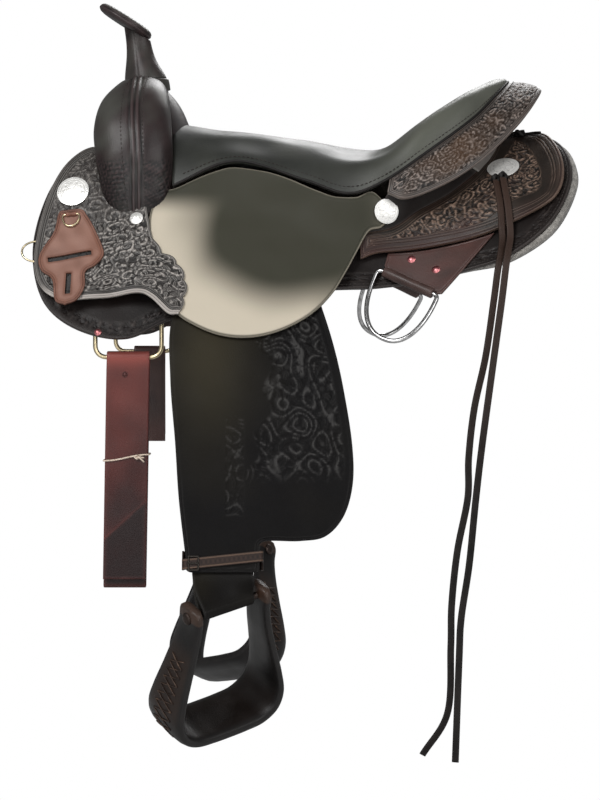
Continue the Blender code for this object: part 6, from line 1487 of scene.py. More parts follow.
@dataclass
class Fender:
    """The swinging fender with its tooled rear half, and the hobble strap round its neck."""

    front: tuple = ((-0.060, 0.192), (-0.100, 0.192), (-0.135, 0.215), (-0.163, 0.290), (-0.163, 0.370),
                    (-0.156, 0.450), (-0.151, 0.520), (-0.1425, 0.590), (-0.1400, 0.610), (-0.1200, 0.6115),
                    (-0.0960, 0.6115))
    rear: tuple = ((-0.060, 0.192), (-0.020, 0.192), (0.012, 0.225), (0.030, 0.280), (0.044, 0.332),
                   (0.055, 0.385), (0.065, 0.450), (0.066, 0.500), (0.055, 0.541), (0.032, 0.567),
                   (0.000, 0.573), (-0.046, 0.574), (-0.0505, 0.592), (-0.0520, 0.610), (-0.0720, 0.6115),
                   (-0.0960, 0.6115))
    neck_x: float = -0.096
    neck_v: float = 0.597

    def build(self) -> None:
        """Places both fenders, their hobble straps and buckles."""

        def carved(u: Array, w: Array, away: Array) -> Array:
            """One in the field of leaves behind a wavy line, and in the leaf at the neck."""
            front = -0.058 + 0.016 * np.sin((w - 0.30) / 0.05) + 0.007 * np.sin(w / 0.009)
            field = step(u - front, 0.0, 0.008) * step(w, 0.215, 0.004) * step(away, 0.0110, 0.002)
            field = field * (1 - step(w, 0.475, 0.03))
            leaf = (1 - step(np.abs(u + 0.0815), 0.0095, 0.003)) * step(w, 0.415, 0.01)
            leaf = leaf * (1 - step(w, 0.535, 0.01))
            return np.maximum(field, 0.7 * leaf)

        def tint(u: Array, w: Array, away: Array) -> Array:
            """Painted sheen: a pale tone at the upper front, with faint clouds."""
            sheen = np.exp(-(((u + 0.115) / 0.05) ** 2 + ((w - 0.33) / 0.11) ** 2))
            return 0.9 * sheen + 0.04 * noise(np.stack([u, w], -1), 0.09, 61)

        def surface(x: Array, v: Array, n: Array) -> Array:
            """The point at height n over the fender's inner face."""
            return FENDER.point(x, v, LEATHER.fender_level + n)

        tooling = Tooling(carved, (0.0036,), Carving(0.0300, 21), 0.0006, 0.01, tint, 0.05, 9.0, 0.0058)
        sheet = Sheet(even(self.front, 400), even(self.rear, 400), LEATHER.fender, surface, 340, 160, 0.0018,
                      tooling)
        place_pair("fender", sheet.blank(), FENDER_LOOK, "fender_swinger", "fender")
        self.hobble()

    def hobble(self) -> None:
        """The hobble strap: a closed band round the neck, with a tooled face, and its small buckle."""
        low, high = -0.0013, LEATHER.fender_level + LEATHER.fender + GAP + 0.0013
        half = 0.0475 + GAP + 0.0013
        corner = 0.0030
        a = np.radians(np.linspace(0, 90, 6))
        loop = []
        for x, n, first in ((half, high, 0), (-half, high, 90), (-half, low, 180), (half, low, 270)):
            b = a + math.radians(first)
            loop.append(np.stack([x - math.copysign(corner, x) + corner * np.cos(b),
                                  n - (corner if n == high else -corner) + corner * np.sin(b)], -1))
        loop = even(np.vstack(loop), 200, closed=True, sharp=True)
        along = unit(np.roll(loop, -1, 0) - np.roll(loop, 1, 0))
        out = np.stack([along[:, 1], -along[:, 0]], -1)
        profile = strap_profile(0.014, 0.0026, 0.0009, 12)
        face = np.where(profile[:, 1] > 0.001, 1.0, 0.0)[None]
        edge = groove(np.abs(profile[:, 0]), 0.0052, 0.0007)[None]
        x = self.neck_x + loop[:, None, 0] + out[:, None, 0] * profile[None, :, 1]
        n = loop[:, None, 1] + out[:, None, 1] * profile[None, :, 1]
        slant = 0.105 * loop[:, None, 0] * np.where(loop[:, None, 1] > high / 2, 1.0, -1.0)
        v = self.neck_v + profile[None, :, 0] - slant
        points = FENDER.point(x, v, n)
        bead = 0.5 + 0.5 * np.cos(2 * math.pi * loop[:, None, 0] / 0.0058) * np.cos(profile[None, :, 0] / 0.0018)
        relief = 0.10 + 0.5 * face * bead * (np.abs(profile[None, :, 0]) < 0.0042) + 0.3 * edge * face
        tone = face * edge * 0.7 + 0 * relief
        rings = np.concatenate([points, points[:1]])
        paint = {k: np.concatenate([w, w[:1]]).ravel() for k, w in (("relief", relief), ("tone", tone))}
        band = Blank(rings.reshape(-1, 3), grid_faces(len(rings), len(profile), wrap=True), paint).outward()
        place_pair("hobble_strap", band, HOBBLE, "fender_swinger", "hobble_strap")
        spot = FENDER.point(self.neck_x - 0.036, self.neck_v + 0.0038, high + 0.0022)
        _, up = FENDER.frame_at(np.array(self.neck_v))
        down = unit(np.cross(TAIL, up))
        frame_corners = [(-0.006, -0.0085), (0.006, -0.0085), (0.006, 0.0085), (-0.006, 0.0085)]
        frame_shape = even(frame_corners, 60, True, True)
        ring = spot + frame_shape[:, :1] * TAIL + frame_shape[:, 1:] * down
        tongue = spot + np.linspace(-0.0065, 0.0066, 12)[:, None] * TAIL + 0.0008 * up
        buckle = tube_along(ring, 0.00115, 8, True, up=tuple(up)).joined(tube_along(tongue, 0.0010, 8))
        place_pair("hobble_buckle", buckle, DARK_STEEL, "fender_swinger")


@dataclass
class StirrupHang:
    """Where the stirrup hangs, and its own directions: along its bolt, across the tread, and down."""

    centre: tuple = (-0.092, -0.287, -0.541)
    yaw: float = math.radians(35.0)
    roll: float = math.radians(12.0)
    swing: float = math.radians(-26.0)
    bolt_radius: float = 0.0045

    def axes(self) -> tuple[Array, Array, Array]:
        """The bolt, width and drop directions."""
        bolt = np.array([math.cos(self.yaw) * math.cos(self.roll), math.sin(self.yaw) * math.cos(self.roll),
                         math.sin(self.roll)])
        level = unit(np.cross((0, 0, 1), bolt))
        hang = unit(np.cross(level, bolt))
        hang = hang if hang[2] < 0 else -hang
        return (bolt, math.cos(self.swing) * level + math.sin(self.swing) * hang,
                math.cos(self.swing) * hang - math.sin(self.swing) * level)


HANG = StirrupHang()


@dataclass
class StirrupLeather:
    """The stirrup leather: a closed band over the bar's crest, down behind the fender, round the bolt."""

    width: float = 0.076
    pivot_x: float = -0.062
    neck_x: float = -0.096
    crest_v: float = 0.1045
    twist_start: float = 0.6125

    def leg(self, level_on_bar: float, level: float, count: int) -> tuple[Array, Array]:
        """Centres and outward directions down one leg."""
        v = np.linspace(self.crest_v, self.twist_start, count)
        n = level_on_bar + (level - level_on_bar) * smooth((v - 0.171) / 0.018)
        lean = np.clip((v - 0.189) / (0.597 - 0.189), 0.0, 1.0)
        x = self.pivot_x + (self.neck_x - self.pivot_x) * lean
        return FENDER.point(x, v, n), FENDER.frame_at(v)[1]

    def build(self) -> None:
        """Places both stirrup leathers."""
        bolt, _, _ = HANG.axes()
        centre = np.array(HANG.centre)
        outer, out_normal = self.leg(LEATHER.outer_leg_on_bar, LEATHER.outer_leg, 110)
        inner, in_normal = self.leg(LEATHER.inner_leg, LEATHER.inner_leg, 110)
        last, start_out = (outer[-1] + inner[-1]) / 2, out_normal[-1]
        radius = HANG.bolt_radius + 0.0005 + LEATHER.strap / 2
        axis_out = unit(np.cross(bolt, unit(last - centre)))
        axis_out = axis_out if axis_out[1] < 0 else -axis_out
        axis_up = unit(np.cross(axis_out, bolt))
        axis_up = axis_up if axis_up[2] > 0 else -axis_up
        apart = (LEATHER.outer_leg - LEATHER.inner_leg) / 2
        share = np.linspace(0.02, 1.0, 40)[:, None]
        f = smooth(share)
        width = unit((1 - f) * TAIL + f * bolt)
        out = (1 - f) * start_out + f * axis_out
        out = unit(out - (out * width).sum(1, keepdims=True) * width)
        middle = last + (centre - last) * share
        wide = apart + (radius - apart) * share
        a = np.radians(np.linspace(6, 174, 20))[:, None]
        turn_out = np.cos(a) * axis_out - np.sin(a) * axis_up
        fold = (LEATHER.outer_leg_on_bar - LEATHER.inner_leg) / 2
        mid_n = (LEATHER.outer_leg_on_bar + LEATHER.inner_leg) / 2
        over_bar = flank_point(self.pivot_x, self.crest_v - fold * np.sin(a[:, 0]), mid_n - fold * np.cos(a[:, 0]))
        over_out = -np.cos(a) * FLANK_OUT - np.sin(a) * FLANK_DOWN
        path = np.vstack([outer, middle + wide * out, centre + radius * turn_out,
                          (middle - wide * out)[::-1], inner[::-1], over_bar])
        sides = np.vstack([0 * outer + TAIL, width, 0 * turn_out + bolt, width[::-1], 0 * inner + TAIL,
                           0 * over_bar + TAIL])
        ups = np.vstack([out_normal, out, turn_out, -out[::-1], -in_normal[::-1], over_out])
        profile = strap_profile(self.width, LEATHER.strap, 0.0013, 26)
        band = swept(path, sides, ups, profile, closed=True)
        rows = len(path) + 1
        across = np.broadcast_to(np.abs(profile[:, 0])[None], (rows, len(profile)))
        spot = band.points.reshape(rows, -1, 3)
        relief = 0.42 + 0.15 * noise(spot, 0.05, 71) - 0.35 * groove(across, 0.0335, 0.0008)
        rim = 0.4 * step(across, 0.0362, 0.0015)
        band.paint = {"relief": (0.12 * (relief + rim)).ravel(),
                      "tone": (0.10 + 0.10 * noise(spot, 0.07, 72)).ravel()}
        place_pair("stirrup_leather", band, FENDER_LOOK, "fender_swinger", "stirrup_leather")


@dataclass
class Stirrup:
    """The leather-covered bell stirrup, its lacing, ear caps and the bolt it turns on.

    The band's stations run from one ear to the middle of the tread: place along the bolt, drop below
    it, half depth and thickness. They are mirrored for the other half.
    """

    stations: tuple = (
        (0.0515, -0.0140, 0.0150, 0.0110), (0.0515, -0.0060, 0.0210, 0.0110), (0.0515, 0.0140, 0.0215, 0.0110),
        (0.0560, 0.0420, 0.0240, 0.0110), (0.0650, 0.0780, 0.0280, 0.0110), (0.0735, 0.1120, 0.0330, 0.0110),
        (0.0765, 0.1380, 0.0365, 0.0125), (0.0690, 0.1600, 0.0380, 0.0145), (0.0500, 0.1730, 0.0380, 0.0160),
        (0.0250, 0.1760, 0.0380, 0.0160), (0.0000, 0.1765, 0.0380, 0.0160))
    count: int = 260

    def path(self) -> tuple[Array, Array, Array, Array]:
        """Places (u, drop) from ear to ear, their outward directions, half depths and thicknesses."""
        half = np.array(self.stations)
        keys = np.vstack([half, half[-2::-1] * (-1, 1, 1, 1)])
        line = spline(keys, np.linspace(0, 1, 900))
        run = np.concatenate([[0], np.cumsum(np.linalg.norm(np.diff(line[:, :2], axis=0), axis=1))])
        places = np.linspace(0, run[-1], self.count)
        line = np.stack([np.interp(places, run, line[:, k]) for k in range(4)], -1)
        along = unit(np.gradient(line[:, :2], axis=0))
        return line[:, :2], np.stack([along[:, 1], -along[:, 0]], -1), line[:, 2], line[:, 3]

    def point(self, u: Array, d: Array, b: Array) -> Array:
        """A point of the stirrup at u along the bolt, d down and b across the tread."""
        bolt, width, drop = HANG.axes()
        return np.array(HANG.centre) + u[..., None] * bolt + d[..., None] * drop + b[..., None] * width

    def build(self) -> None:
        """Places both stirrups with bolts and lacing."""
        line, out, deep, thick = self.path()
        ring = strap_profile(2.0, 2.0, 0.56, 14)
        wall = ring[None, :, 1] * thick[:, None] / 2
        edge = ring[None, :, 0] * deep[:, None]
        drop = np.broadcast_to(line[:, None, 1], edge.shape)
        share = edge / deep[:, None]
        inside = (ring[None, :, 1] < -0.9) & (drop > 0.10)
        swell = 0.0012 * (1 - share**2) * (ring[None, :, 1] > 0.9)
        u = line[:, None, 0] + out[:, None, 0] * (wall + swell)
        d = line[:, None, 1] + out[:, None, 1] * (wall + swell)
        points = self.point(u, d, edge)
        cap = 1 - step(drop, -0.001, 0.003)
        relief = 0.42 + 0.2 * noise(points, 0.03, 81) - 0.5 * groove(drop, 0.0015, 0.0016)
        relief = relief - 0.4 * groove(np.abs(share), 0.80, 0.03) * (ring[None, :, 1] > 0.9)
        leg = (ring[None, :, 1] > 0.9) * step(drop, 0.030, 0.03) * (1 - step(drop, 0.125, 0.03))
        tone = np.clip(0.85 * cap + 0.25 * noise(points, 0.010, 82) * cap + 0.30 * leg
                       + 0.10 * inside * step(drop, 0.12, 0.04), 0, 1)
        first, last = points[:1].mean(1, keepdims=True), points[-1:].mean(1, keepdims=True)
        rings = np.concatenate([first + 0 * points[:1], points, last + 0 * points[:1]])
        paint = {k: np.concatenate([w[:1], w, w[-1:]]).ravel() for k, w in (("relief", relief), ("tone", tone))}
        body = Blank(rings.reshape(-1, 3), grid_faces(len(rings), len(ring), wrap=True), paint).outward()
        place_pair("stirrup", body, STIRRUP_LOOK, "stirrup_swinger", "stirrup")
        self.lacing(line, out, deep, thick)
        self.bolt()

    def lacing(self, line: Array, out: Array, deep: Array, thick: Array) -> None:
        """Crossed laces down both legs' outer faces."""
        legs = []
        for start, end in ((38, 92), (self.count - 92, self.count - 38)):
            k = np.linspace(start, end, 10).astype(int)
            for first, second in ((k[:-1], k[1:]), (k[1:], k[:-1])):
                for i, j in zip(first, second):
                    t = np.linspace(0, 1, 7)
                    at = (i + (j - i) * t)
                    pick = np.clip(at.round().astype(int), 0, self.count - 1)
                    across = (t - 0.5) * 2 * deep[pick] * 0.50
                    lift = thick[pick] / 2 + 0.0010 + 0.0008 * np.sin(np.pi * t)
                    legs.append(tube_along(self.point(line[pick, 0] + out[pick, 0] * lift,
                                                      line[pick, 1] + out[pick, 1] * lift, across),
                                           0.0012, 6, flat=0.7))
        lace = legs[0].joined(*legs[1:])
        lace.paint = {"tone": np.clip(0.15 + 0.45 * noise(lace.points, 0.006, 84), 0, 1)}
        place_pair("stirrup_lacing", lace, HOBBLE, "stirrup_swinger")

    def bolt(self) -> None:
        """The bolt through both ears, with its rounded heads."""
        _, width, drop = HANG.axes()
        reach, r = 0.0570 + RUNNING_GAP, 0.008
        head = [(0.0, reach + 0.0040), (r * 0.5, reach + 0.0038), (r * 0.85, reach + 0.0030),
                (r, reach + 0.0014), (r, reach), (HANG.bolt_radius, reach)]
        profile = head + [(a, -b) for a, b in reversed(head)]
        pin = turned(profile, HANG.centre, width, drop, 32)
        pin.paint = {"relief": np.full(len(pin.points), 0.9)}
        place_pair("stirrup_bolt", pin, DARK_STEEL, "stirrup_swinger", "stirrup_bolt")


# Rings, loops and straps


def wire(outline: Sequence, thickness: float, origin: Array, x_axis: Array, y_axis: Array,
         count: int = 160) -> Blank:
    """A closed round wire along an outline in the plane of two axes."""
    x_axis = unit(x_axis)
    z_axis = unit(np.cross(x_axis, y_axis))
    y_axis = np.cross(z_axis, x_axis)
    flat = even(outline, count, closed=True, sharp=True)
    for _ in range(3):
        flat = (np.roll(flat, 1, 0) + 2 * flat + np.roll(flat, -1, 0)) / 4
    path = np.asarray(origin, float) + flat[:, :1] * x_axis + flat[:, 1:] * y_axis
    blank = tube_along(path, thickness / 2, 16, True, up=tuple(z_axis))
    blank.paint = {"relief": np.clip(0.85 + 0.25 * noise(blank.points, 0.012, 91), 0, 1)}
    return blank


def dee_outline(width: float, drop: float, corner: float, square: float, skew: float = 0.0) -> list:
    """A D: a straight bar along x, then down and round; square sets how full its lower corners are."""
    half = width / 2
    points = [(-half + corner, 0.0), (half - corner, 0.0)]
    points += [(half - corner + corner * math.sin(a), -corner + corner * math.cos(a))
               for a in np.radians([30, 60, 90])]
    for a in np.radians(np.linspace(0, 180, 41)[1:-1]):
        reach, fall = math.cos(a), math.sin(a)
        scale = (abs(reach) ** square + fall**square) ** (-1 / square)
        points.append((half * reach * scale + skew * fall, -corner - (drop - corner) * fall * scale))
    return points + [(-half + corner - corner * math.sin(a), -corner + corner * math.cos(a))
                     for a in np.radians([90, 60, 30])]


def roll_over(start: Array, end: Array, radius: float, bore: float, body: float = 0.0) -> Blank:
    """A hollow roll of leather between two points, with rounded rims."""
    start, end = np.asarray(start, float), np.asarray(end, float)
    axis = unit(end - start)
    length = np.linalg.norm(end - start)
    side = unit(np.cross(axis, (0.1, 0.2, 0.97)))
    e = 0.0010
    profile = [(bore, 0.0), (radius - e, 0.0), (radius - 0.3 * e, 0.3 * e), (radius, e)]
    profile += [(radius + 0.00025 * math.sin(k), e + (length - 2 * e) * k / 8) for k in range(1, 8)]
    profile += [(radius, length - e), (radius - 0.3 * e, length - 0.3 * e), (radius - e, length), (bore, length)]
    profile += [(bore, length / 2), (bore, 0.0)]
    blank = turned(profile, start, side, np.cross(axis, side), 32)
    blank.paint = {"relief": 0.6 + 0.2 * noise(blank.points, 0.01, 93)}
    return blank


def rivet(place: Array, normal: Array, radius: float = 0.0056, rise: float = 0.0018) -> Blank:
    """A domed rivet head on a small washer."""
    normal = unit(normal)
    side = unit(np.cross(normal, TAIL))
    profile = [(0.0, rise), (radius * 0.35, rise * 0.93), (radius * 0.55, rise * 0.70),
               (radius * 0.62, rise * 0.4),
               (radius * 0.95, rise * 0.32), (radius, 0.0), (radius, -0.0015), (0.0, -0.0015)]
    blank = turned(profile, place, side, np.cross(normal, side), 20)
    blank.paint = {"relief": np.full(len(blank.points), 0.95)}
    return blank


def back_out(x: float, s: float) -> Array:
    """The back form's outward normal at one place."""
    return unit(back_point(x, s, 0.01) - back_point(x, s, 0.0))


@dataclass
class Rigging:
    """The rear and front rigging, the breast rings, and all their dees."""

    rear_roll: tuple = (0.1085, 0.2193, 0.1710, 0.2652)
    wire_thickness: float = 0.0060
    roll_radius: float = 0.00665

    def hinge_line(self, place: tuple, level: float, radius: float) -> tuple[Array, Array]:
        """The ends of a roll's axis, laid so that the roll just clears this level over the back."""
        shares = np.linspace(0, 1, 25)
        xs, ss = place[0] + (place[2] - place[0]) * shares, place[1] + (place[3] - place[1]) * shares
        lift = radius
        for _ in range(20):
            a, b = back_point(place[0], place[1], level + lift), back_point(place[2], place[3], level + lift)
            out = unit(BACK.read(NODE_NORMALS, xs, ss))
            room = ((a + (b - a) * shares[:, None] - back_point(xs, ss, level)) * out).sum(1)
            lift += radius - room.min()
        return a, b

    def rear(self) -> None:
        """The rear rigging plates with rolls and rivets, and the steel dees."""
        level = 0.0005
        start, end = self.hinge_line(self.rear_roll, level, self.roll_radius)
        upper = [(0.109, 0.208), (0.114, 0.190), (0.180, 0.196), (0.250, 0.203)]
        lower = [(0.109, 0.208), (0.112, 0.219), (0.174, 0.264), (0.181, 0.266), (0.212, 0.238), (0.250, 0.203)]
        tooling = Tooling(nothing, (0.0030,), base=0.55,
                          tone=lambda u, w, away: 0.55 + 0.3 * noise(np.stack([u, w], -1), 0.03, 7), rim=0.7)
        sheet = Sheet(even(upper, 120, sharp=True), even(lower, 120, sharp=True), 0.0030,
                      lambda x, s, t: back_point(x, s, level + t), 110, 50, 0.0013, tooling)
        roll = roll_over(start, end, self.roll_radius, 0.00335)
        place_pair("rear_rigging_strap", sheet.blank().joined(roll), BROWN, "saddle",
                   "rear_rigging_strap")
        rivet_places = ((0.144, 0.204), (0.175, 0.228))
        heads = [rivet(back_point(x, s, level + 0.003), back_out(x, s)) for x, s in rivet_places]
        place_pair("rear_rivets", heads[0].joined(heads[1]), COPPER, "saddle")
        middle, axis = (start + end) / 2, unit(end - start)
        normal = back_out((self.rear_roll[0] + self.rear_roll[2]) / 2, (self.rear_roll[1] + self.rear_roll[3]) / 2)
        down = unit(np.cross(unit(normal - (normal @ axis) * axis), axis))
        down = down if down[2] < 0 else -down
        dee = wire(dee_outline(0.090, 0.084, 0.0045, 2.3, 0.012), self.wire_thickness, middle, axis, -down)
        place_pair("rear_dee", dee, STEEL, "rear_ring", "rear_dee")

    def front(self) -> None:
        """The front loops under the skirts, their rivets in the skirts, and the cream dees."""
        level = -LEATHER.skirt - GAP
        plate = Sheet([(-0.255, 0.270), (-0.220, 0.270), (-0.185, 0.270)],
                      even([(-0.255, 0.270), (-0.255, 0.295), (-0.185, 0.295), (-0.185, 0.270)], 60, sharp=True),
                      0.0030, lambda x, s, t: back_point(x, s, level - 0.003 + t), 60, 20, 0.0012)
        start, end = (back_point(x, 0.269, level - self.roll_radius) for x in (-0.255, -0.185))
        blank = plate.blank().joined(roll_over(start, end, self.roll_radius, 0.00335))
        blank.paint.setdefault("relief", np.full(len(blank.points), 0.4))
        place_pair("front_rigging_loop", blank, BROWN, "saddle", "front_rigging_loop")
        head = rivet(back_point(-0.257, 0.302, 0.0002), back_out(-0.257, 0.302), 0.0048)
        place_pair("front_rivet", head, COPPER, "saddle")
        middle = np.array([-0.22, -0.16741, -0.18035])
        width, drop = 0.085, 0.056
        shape = []
        for x, y, radius, first in ((width / 2, 0.0, 0.0055, 90), (width / 2, -drop, 0.0138, 0),
                                    (-width / 2, -drop, 0.0138, -90), (-width / 2, 0.0, 0.0055, -180)):
            b = np.radians(np.linspace(first, first - 90, 9))
            cx, cy = x - math.copysign(radius, x), y - radius if y == 0.0 else y + radius
            shape += list(zip(cx + radius * np.cos(b), cy + radius * np.sin(b)))
        dee = wire(shape, self.wire_thickness, middle, TAIL, np.array([0, 0, 1.0]), 200)
        place_pair("front_dee", dee, CREAM, "front_ring", "front_dee")

    def breast(self) -> None:
        """The small rings at the skirts' front edge, in their tabs."""
        radius = 0.0026 / 2 + RUNNING_GAP + 0.0013
        start, end = self.hinge_line((-0.335, 0.175, -0.335, 0.199), GAP, radius)
        tab = Sheet(even([(-0.3355, 0.187), (-0.3355, 0.178), (-0.305, 0.179), (-0.299, 0.187)], 40, sharp=True),
                    even([(-0.3355, 0.187), (-0.3355, 0.196), (-0.305, 0.195), (-0.299, 0.187)], 40, sharp=True),
                    0.0014, lambda x, s, t: back_point(x, s, GAP + t), 40, 14, 0.0006)
        blank = tab.blank().joined(roll_over(start, end, radius, 0.00165))
        blank.paint.setdefault("relief", np.full(len(blank.points), 0.45))
        place_pair("breast_loop", blank, BROWN, "saddle", "breast_loop")
        middle, axis = (start + end) / 2, unit(end - start)
        forward = unit(np.cross(back_out(-0.335, 0.187), axis))
        forward = forward if forward[0] < 0 else -forward
        dee = wire(dee_outline(0.030, 0.024, 0.003, 2.2), 0.0026, middle, axis, -forward, 90)
        place_pair("breast_dee", dee, CREAM, "breast_ring", "breast_dee")

    def build(self) -> None:
        """Places all the rigging."""
        self.rear()
        self.front()
        self.breast()


@dataclass
class HangingStraps:
    """The near cinch strap, folded up in four layers over its dee, its lace tie, and the off billet."""

    bar: tuple = (-0.22, -0.16741, -0.23635)
    width: float = 0.055
    length: float = 0.297
    thick: float = 0.0044
    layer_gap: float = 0.0005
    lean: float = -0.02

    def hang(self, bar: Array, path: list, width: float, lean: float, count: int) -> Blank:
        """A strap along (outward, drop) places below a bar."""
        flat = even(path, count)
        along = unit(np.gradient(flat, axis=0))
        zero = np.zeros(count)
        centres = bar + np.stack([lean * np.maximum(flat[:, 1], 0), flat[:, 0], -flat[:, 1]], -1)
        ups = np.stack([zero, along[:, 1], along[:, 0]], -1)
        profile = strap_profile(width, self.thick, 0.0014, 18)
        blank = swept(centres, np.broadcast_to(TAIL, centres.shape), ups, profile)
        rows = count + 2
        across = np.broadcast_to(np.abs(profile[:, 0])[None], (rows, len(profile)))
        drop = (bar[2] - blank.points[:, 2]).reshape(rows, -1)
        spot = blank.points.reshape(rows, -1, 3)
        relief = 0.5 + 0.2 * noise(spot * (1, 1, 0.4), 0.03, 101)
        relief = relief - 0.5 * groove(across, width / 2 - 0.0035, 0.0007)
        relief = relief + 0.5 * step(across, width / 2 - 0.0014, 0.001)
        tone = 0.7 * np.exp(-((drop + 0.002) / 0.012) ** 2) + 0.08 * noise(spot, 0.06, 102)
        tone = tone + 0.30 * (1 - step(drop, 0.02, 0.16)) + 0.06
        slant = drop + 0.9 * (blank.points[:, 0].reshape(rows, -1) - bar[0])
        dark = step(slant, 0.205, 0.006)
        tone = tone - 0.5 * dark + 0.12 * groove(slant, 0.204, 0.002)
        blank.paint = {"relief": np.clip(relief - 0.15 * step(drop, 0.10, 0.1) - 0.5 * dark, 0, 1.2).ravel(),
                       "tone": np.clip(tone, 0, 1).ravel()}
        return blank

    def turn(self, drop: float, way: float, start: float) -> list:
        """A half turn to the next layer; way is 1 at the bottom and -1 at the top."""
        half = (self.thick + self.layer_gap) / 2
        return [(start - half + half * math.cos(a), drop + way * half * math.sin(a))
                for a in np.radians([0, 30, 60, 90, 120, 150, 180])]

    def build(self) -> None:
        """Places the cinch strap, its hole rim, the tie and the billet."""
        bar = np.array(self.bar)
        step_out = self.thick + self.layer_gap
        over_bar = 0.003 + GAP + self.thick / 2
        outer, low = 1.5 * step_out + 0.00005, self.length
        arc = [(-over_bar * math.cos(a), -over_bar * math.sin(a)) for a in np.radians(np.arange(0, 181, 15))]
        path = [(-outer, low - 0.012), (-outer, 0.235), (-outer, 0.110), (-outer, 0.030), (-over_bar, 0.004)]
        path += arc + [(over_bar, 0.004), (outer, 0.030), (outer, 0.110), (outer, 0.235), (outer, low - 0.008)]
        path += self.turn(low - 0.004, 1.0, outer)
        path += [(step_out / 2, low - 0.008), (step_out / 2, 0.235), (step_out / 2, 0.110), (step_out / 2, 0.040)]
        path += self.turn(0.036, -1.0, step_out / 2)
        path += [(-step_out / 2, 0.040), (-step_out / 2, 0.110), (-step_out / 2, 0.235),
                 (-step_out / 2, low - 0.016)]
        strap = self.hang(bar, path, self.width, self.lean, 480)
        place_piece("latigo", strap, LATIGO, "latigo_strap", ("latigo",))
        face = -outer - self.thick / 2
        hole = wire([(0.0032 * math.cos(a), 0.0032 * math.sin(a)) for a in np.arange(0, 6.28, 0.3)], 0.0013,
                    bar + (-0.004, face - 0.0001, -0.022), TAIL, np.array([0, 0, 1.0]), 40)
        dot = turned([(0.0, 0.0003), (0.0026, 0.0002), (0.0031, 0.0), (0.0, -0.0004)],
                     bar + (-0.004, face - 0.0001, -0.022), np.array([0, 0, 1.0]), TAIL, 24)
        dot.paint = {"relief": np.zeros(len(dot.points))}
        place_piece("latigo_hole", dot, LATIGO, "latigo_strap")
        hole.paint = {"relief": np.full(len(hole.points), 0.6)}
        place_piece("latigo_hole_rim", hole, LATIGO, "latigo_strap")
        self.tie(bar, outer)
        apart = self.thick / 2 + self.layer_gap / 2
        path = [(-apart, 0.128), (-apart, 0.060), (-apart, 0.030), (-over_bar, 0.004)] + arc
        path += [(over_bar, 0.004), (apart, 0.030), (apart, 0.060), (apart, 0.118)]
        off = self.hang(bar * (1, -1, 1) + (0.006, 0, 0), path, 0.044, 0.0, 200)
        lower_end = 0.5 * step(bar[2] - off.points[:, 2], 0.085, 0.03)
        off.paint["tone"] = np.clip(off.paint["tone"] * 0.3 + lower_end, 0, 1)
        place_piece("off_billet", off, BROWN, "billet_strap", ("off_billet",))

    def tie(self, bar: Array, outer: float) -> None:
        """The pale lace tied round the folded strap, with a small knot and two short ends."""
        drop = 0.123
        middle = bar + np.array([self.lean * drop, 0.0, -drop])
        half_w = self.width / 2 + 2 * GAP + 0.0012
        half_t = outer + self.thick / 2 + 2 * GAP + 0.0012
        shape = []
        for x, y, first in ((half_w, half_t, 90), (half_w, -half_t, 0), (-half_w, -half_t, -90),
                            (-half_w, half_t, -180)):
            for a in np.radians(np.linspace(first, first - 90, 5)):
                shape.append((x - math.copysign(0.003, x) + 0.003 * math.cos(a),
                              y - math.copysign(0.003, y) + 0.003 * math.sin(a)))
        flat = even(shape, 160, closed=True, sharp=True)
        sag = -0.007 * (0.5 - flat[:, 0] / (2 * half_w)) + 0.0012 * np.sin(flat[:, 0] / 0.011)
        path = middle + np.stack([flat[:, 0], flat[:, 1], sag - 0.002], -1)
        band = tube_along(path, 0.0011, 8, True)
        at = middle + np.array([0.013, -half_t - 0.0010, -0.0046])
        b = np.linspace(0, 2 * math.pi, 50)[:-1]
        knot = tube_along(at + np.stack([0.0026 * np.cos(b), 0.0010 * np.cos(2 * b) - 0.0004,
                                         0.0020 * np.sin(b) + 0.0008 * np.sin(2 * b)], -1), 0.0010, 8, True)
        ends = [tube_along(spline([at, at + (0.004, -0.0010, -0.001 * way), at + (0.010, -0.0004, -0.0065 * way)],
                                  np.linspace(0, 1, 14)), 0.0010, 8) for way in (0.15, 1.0)]
        place_piece("latigo_tie", band.joined(knot, *ends), TWINE, "latigo_strap",
                    ("latigo_tie",))


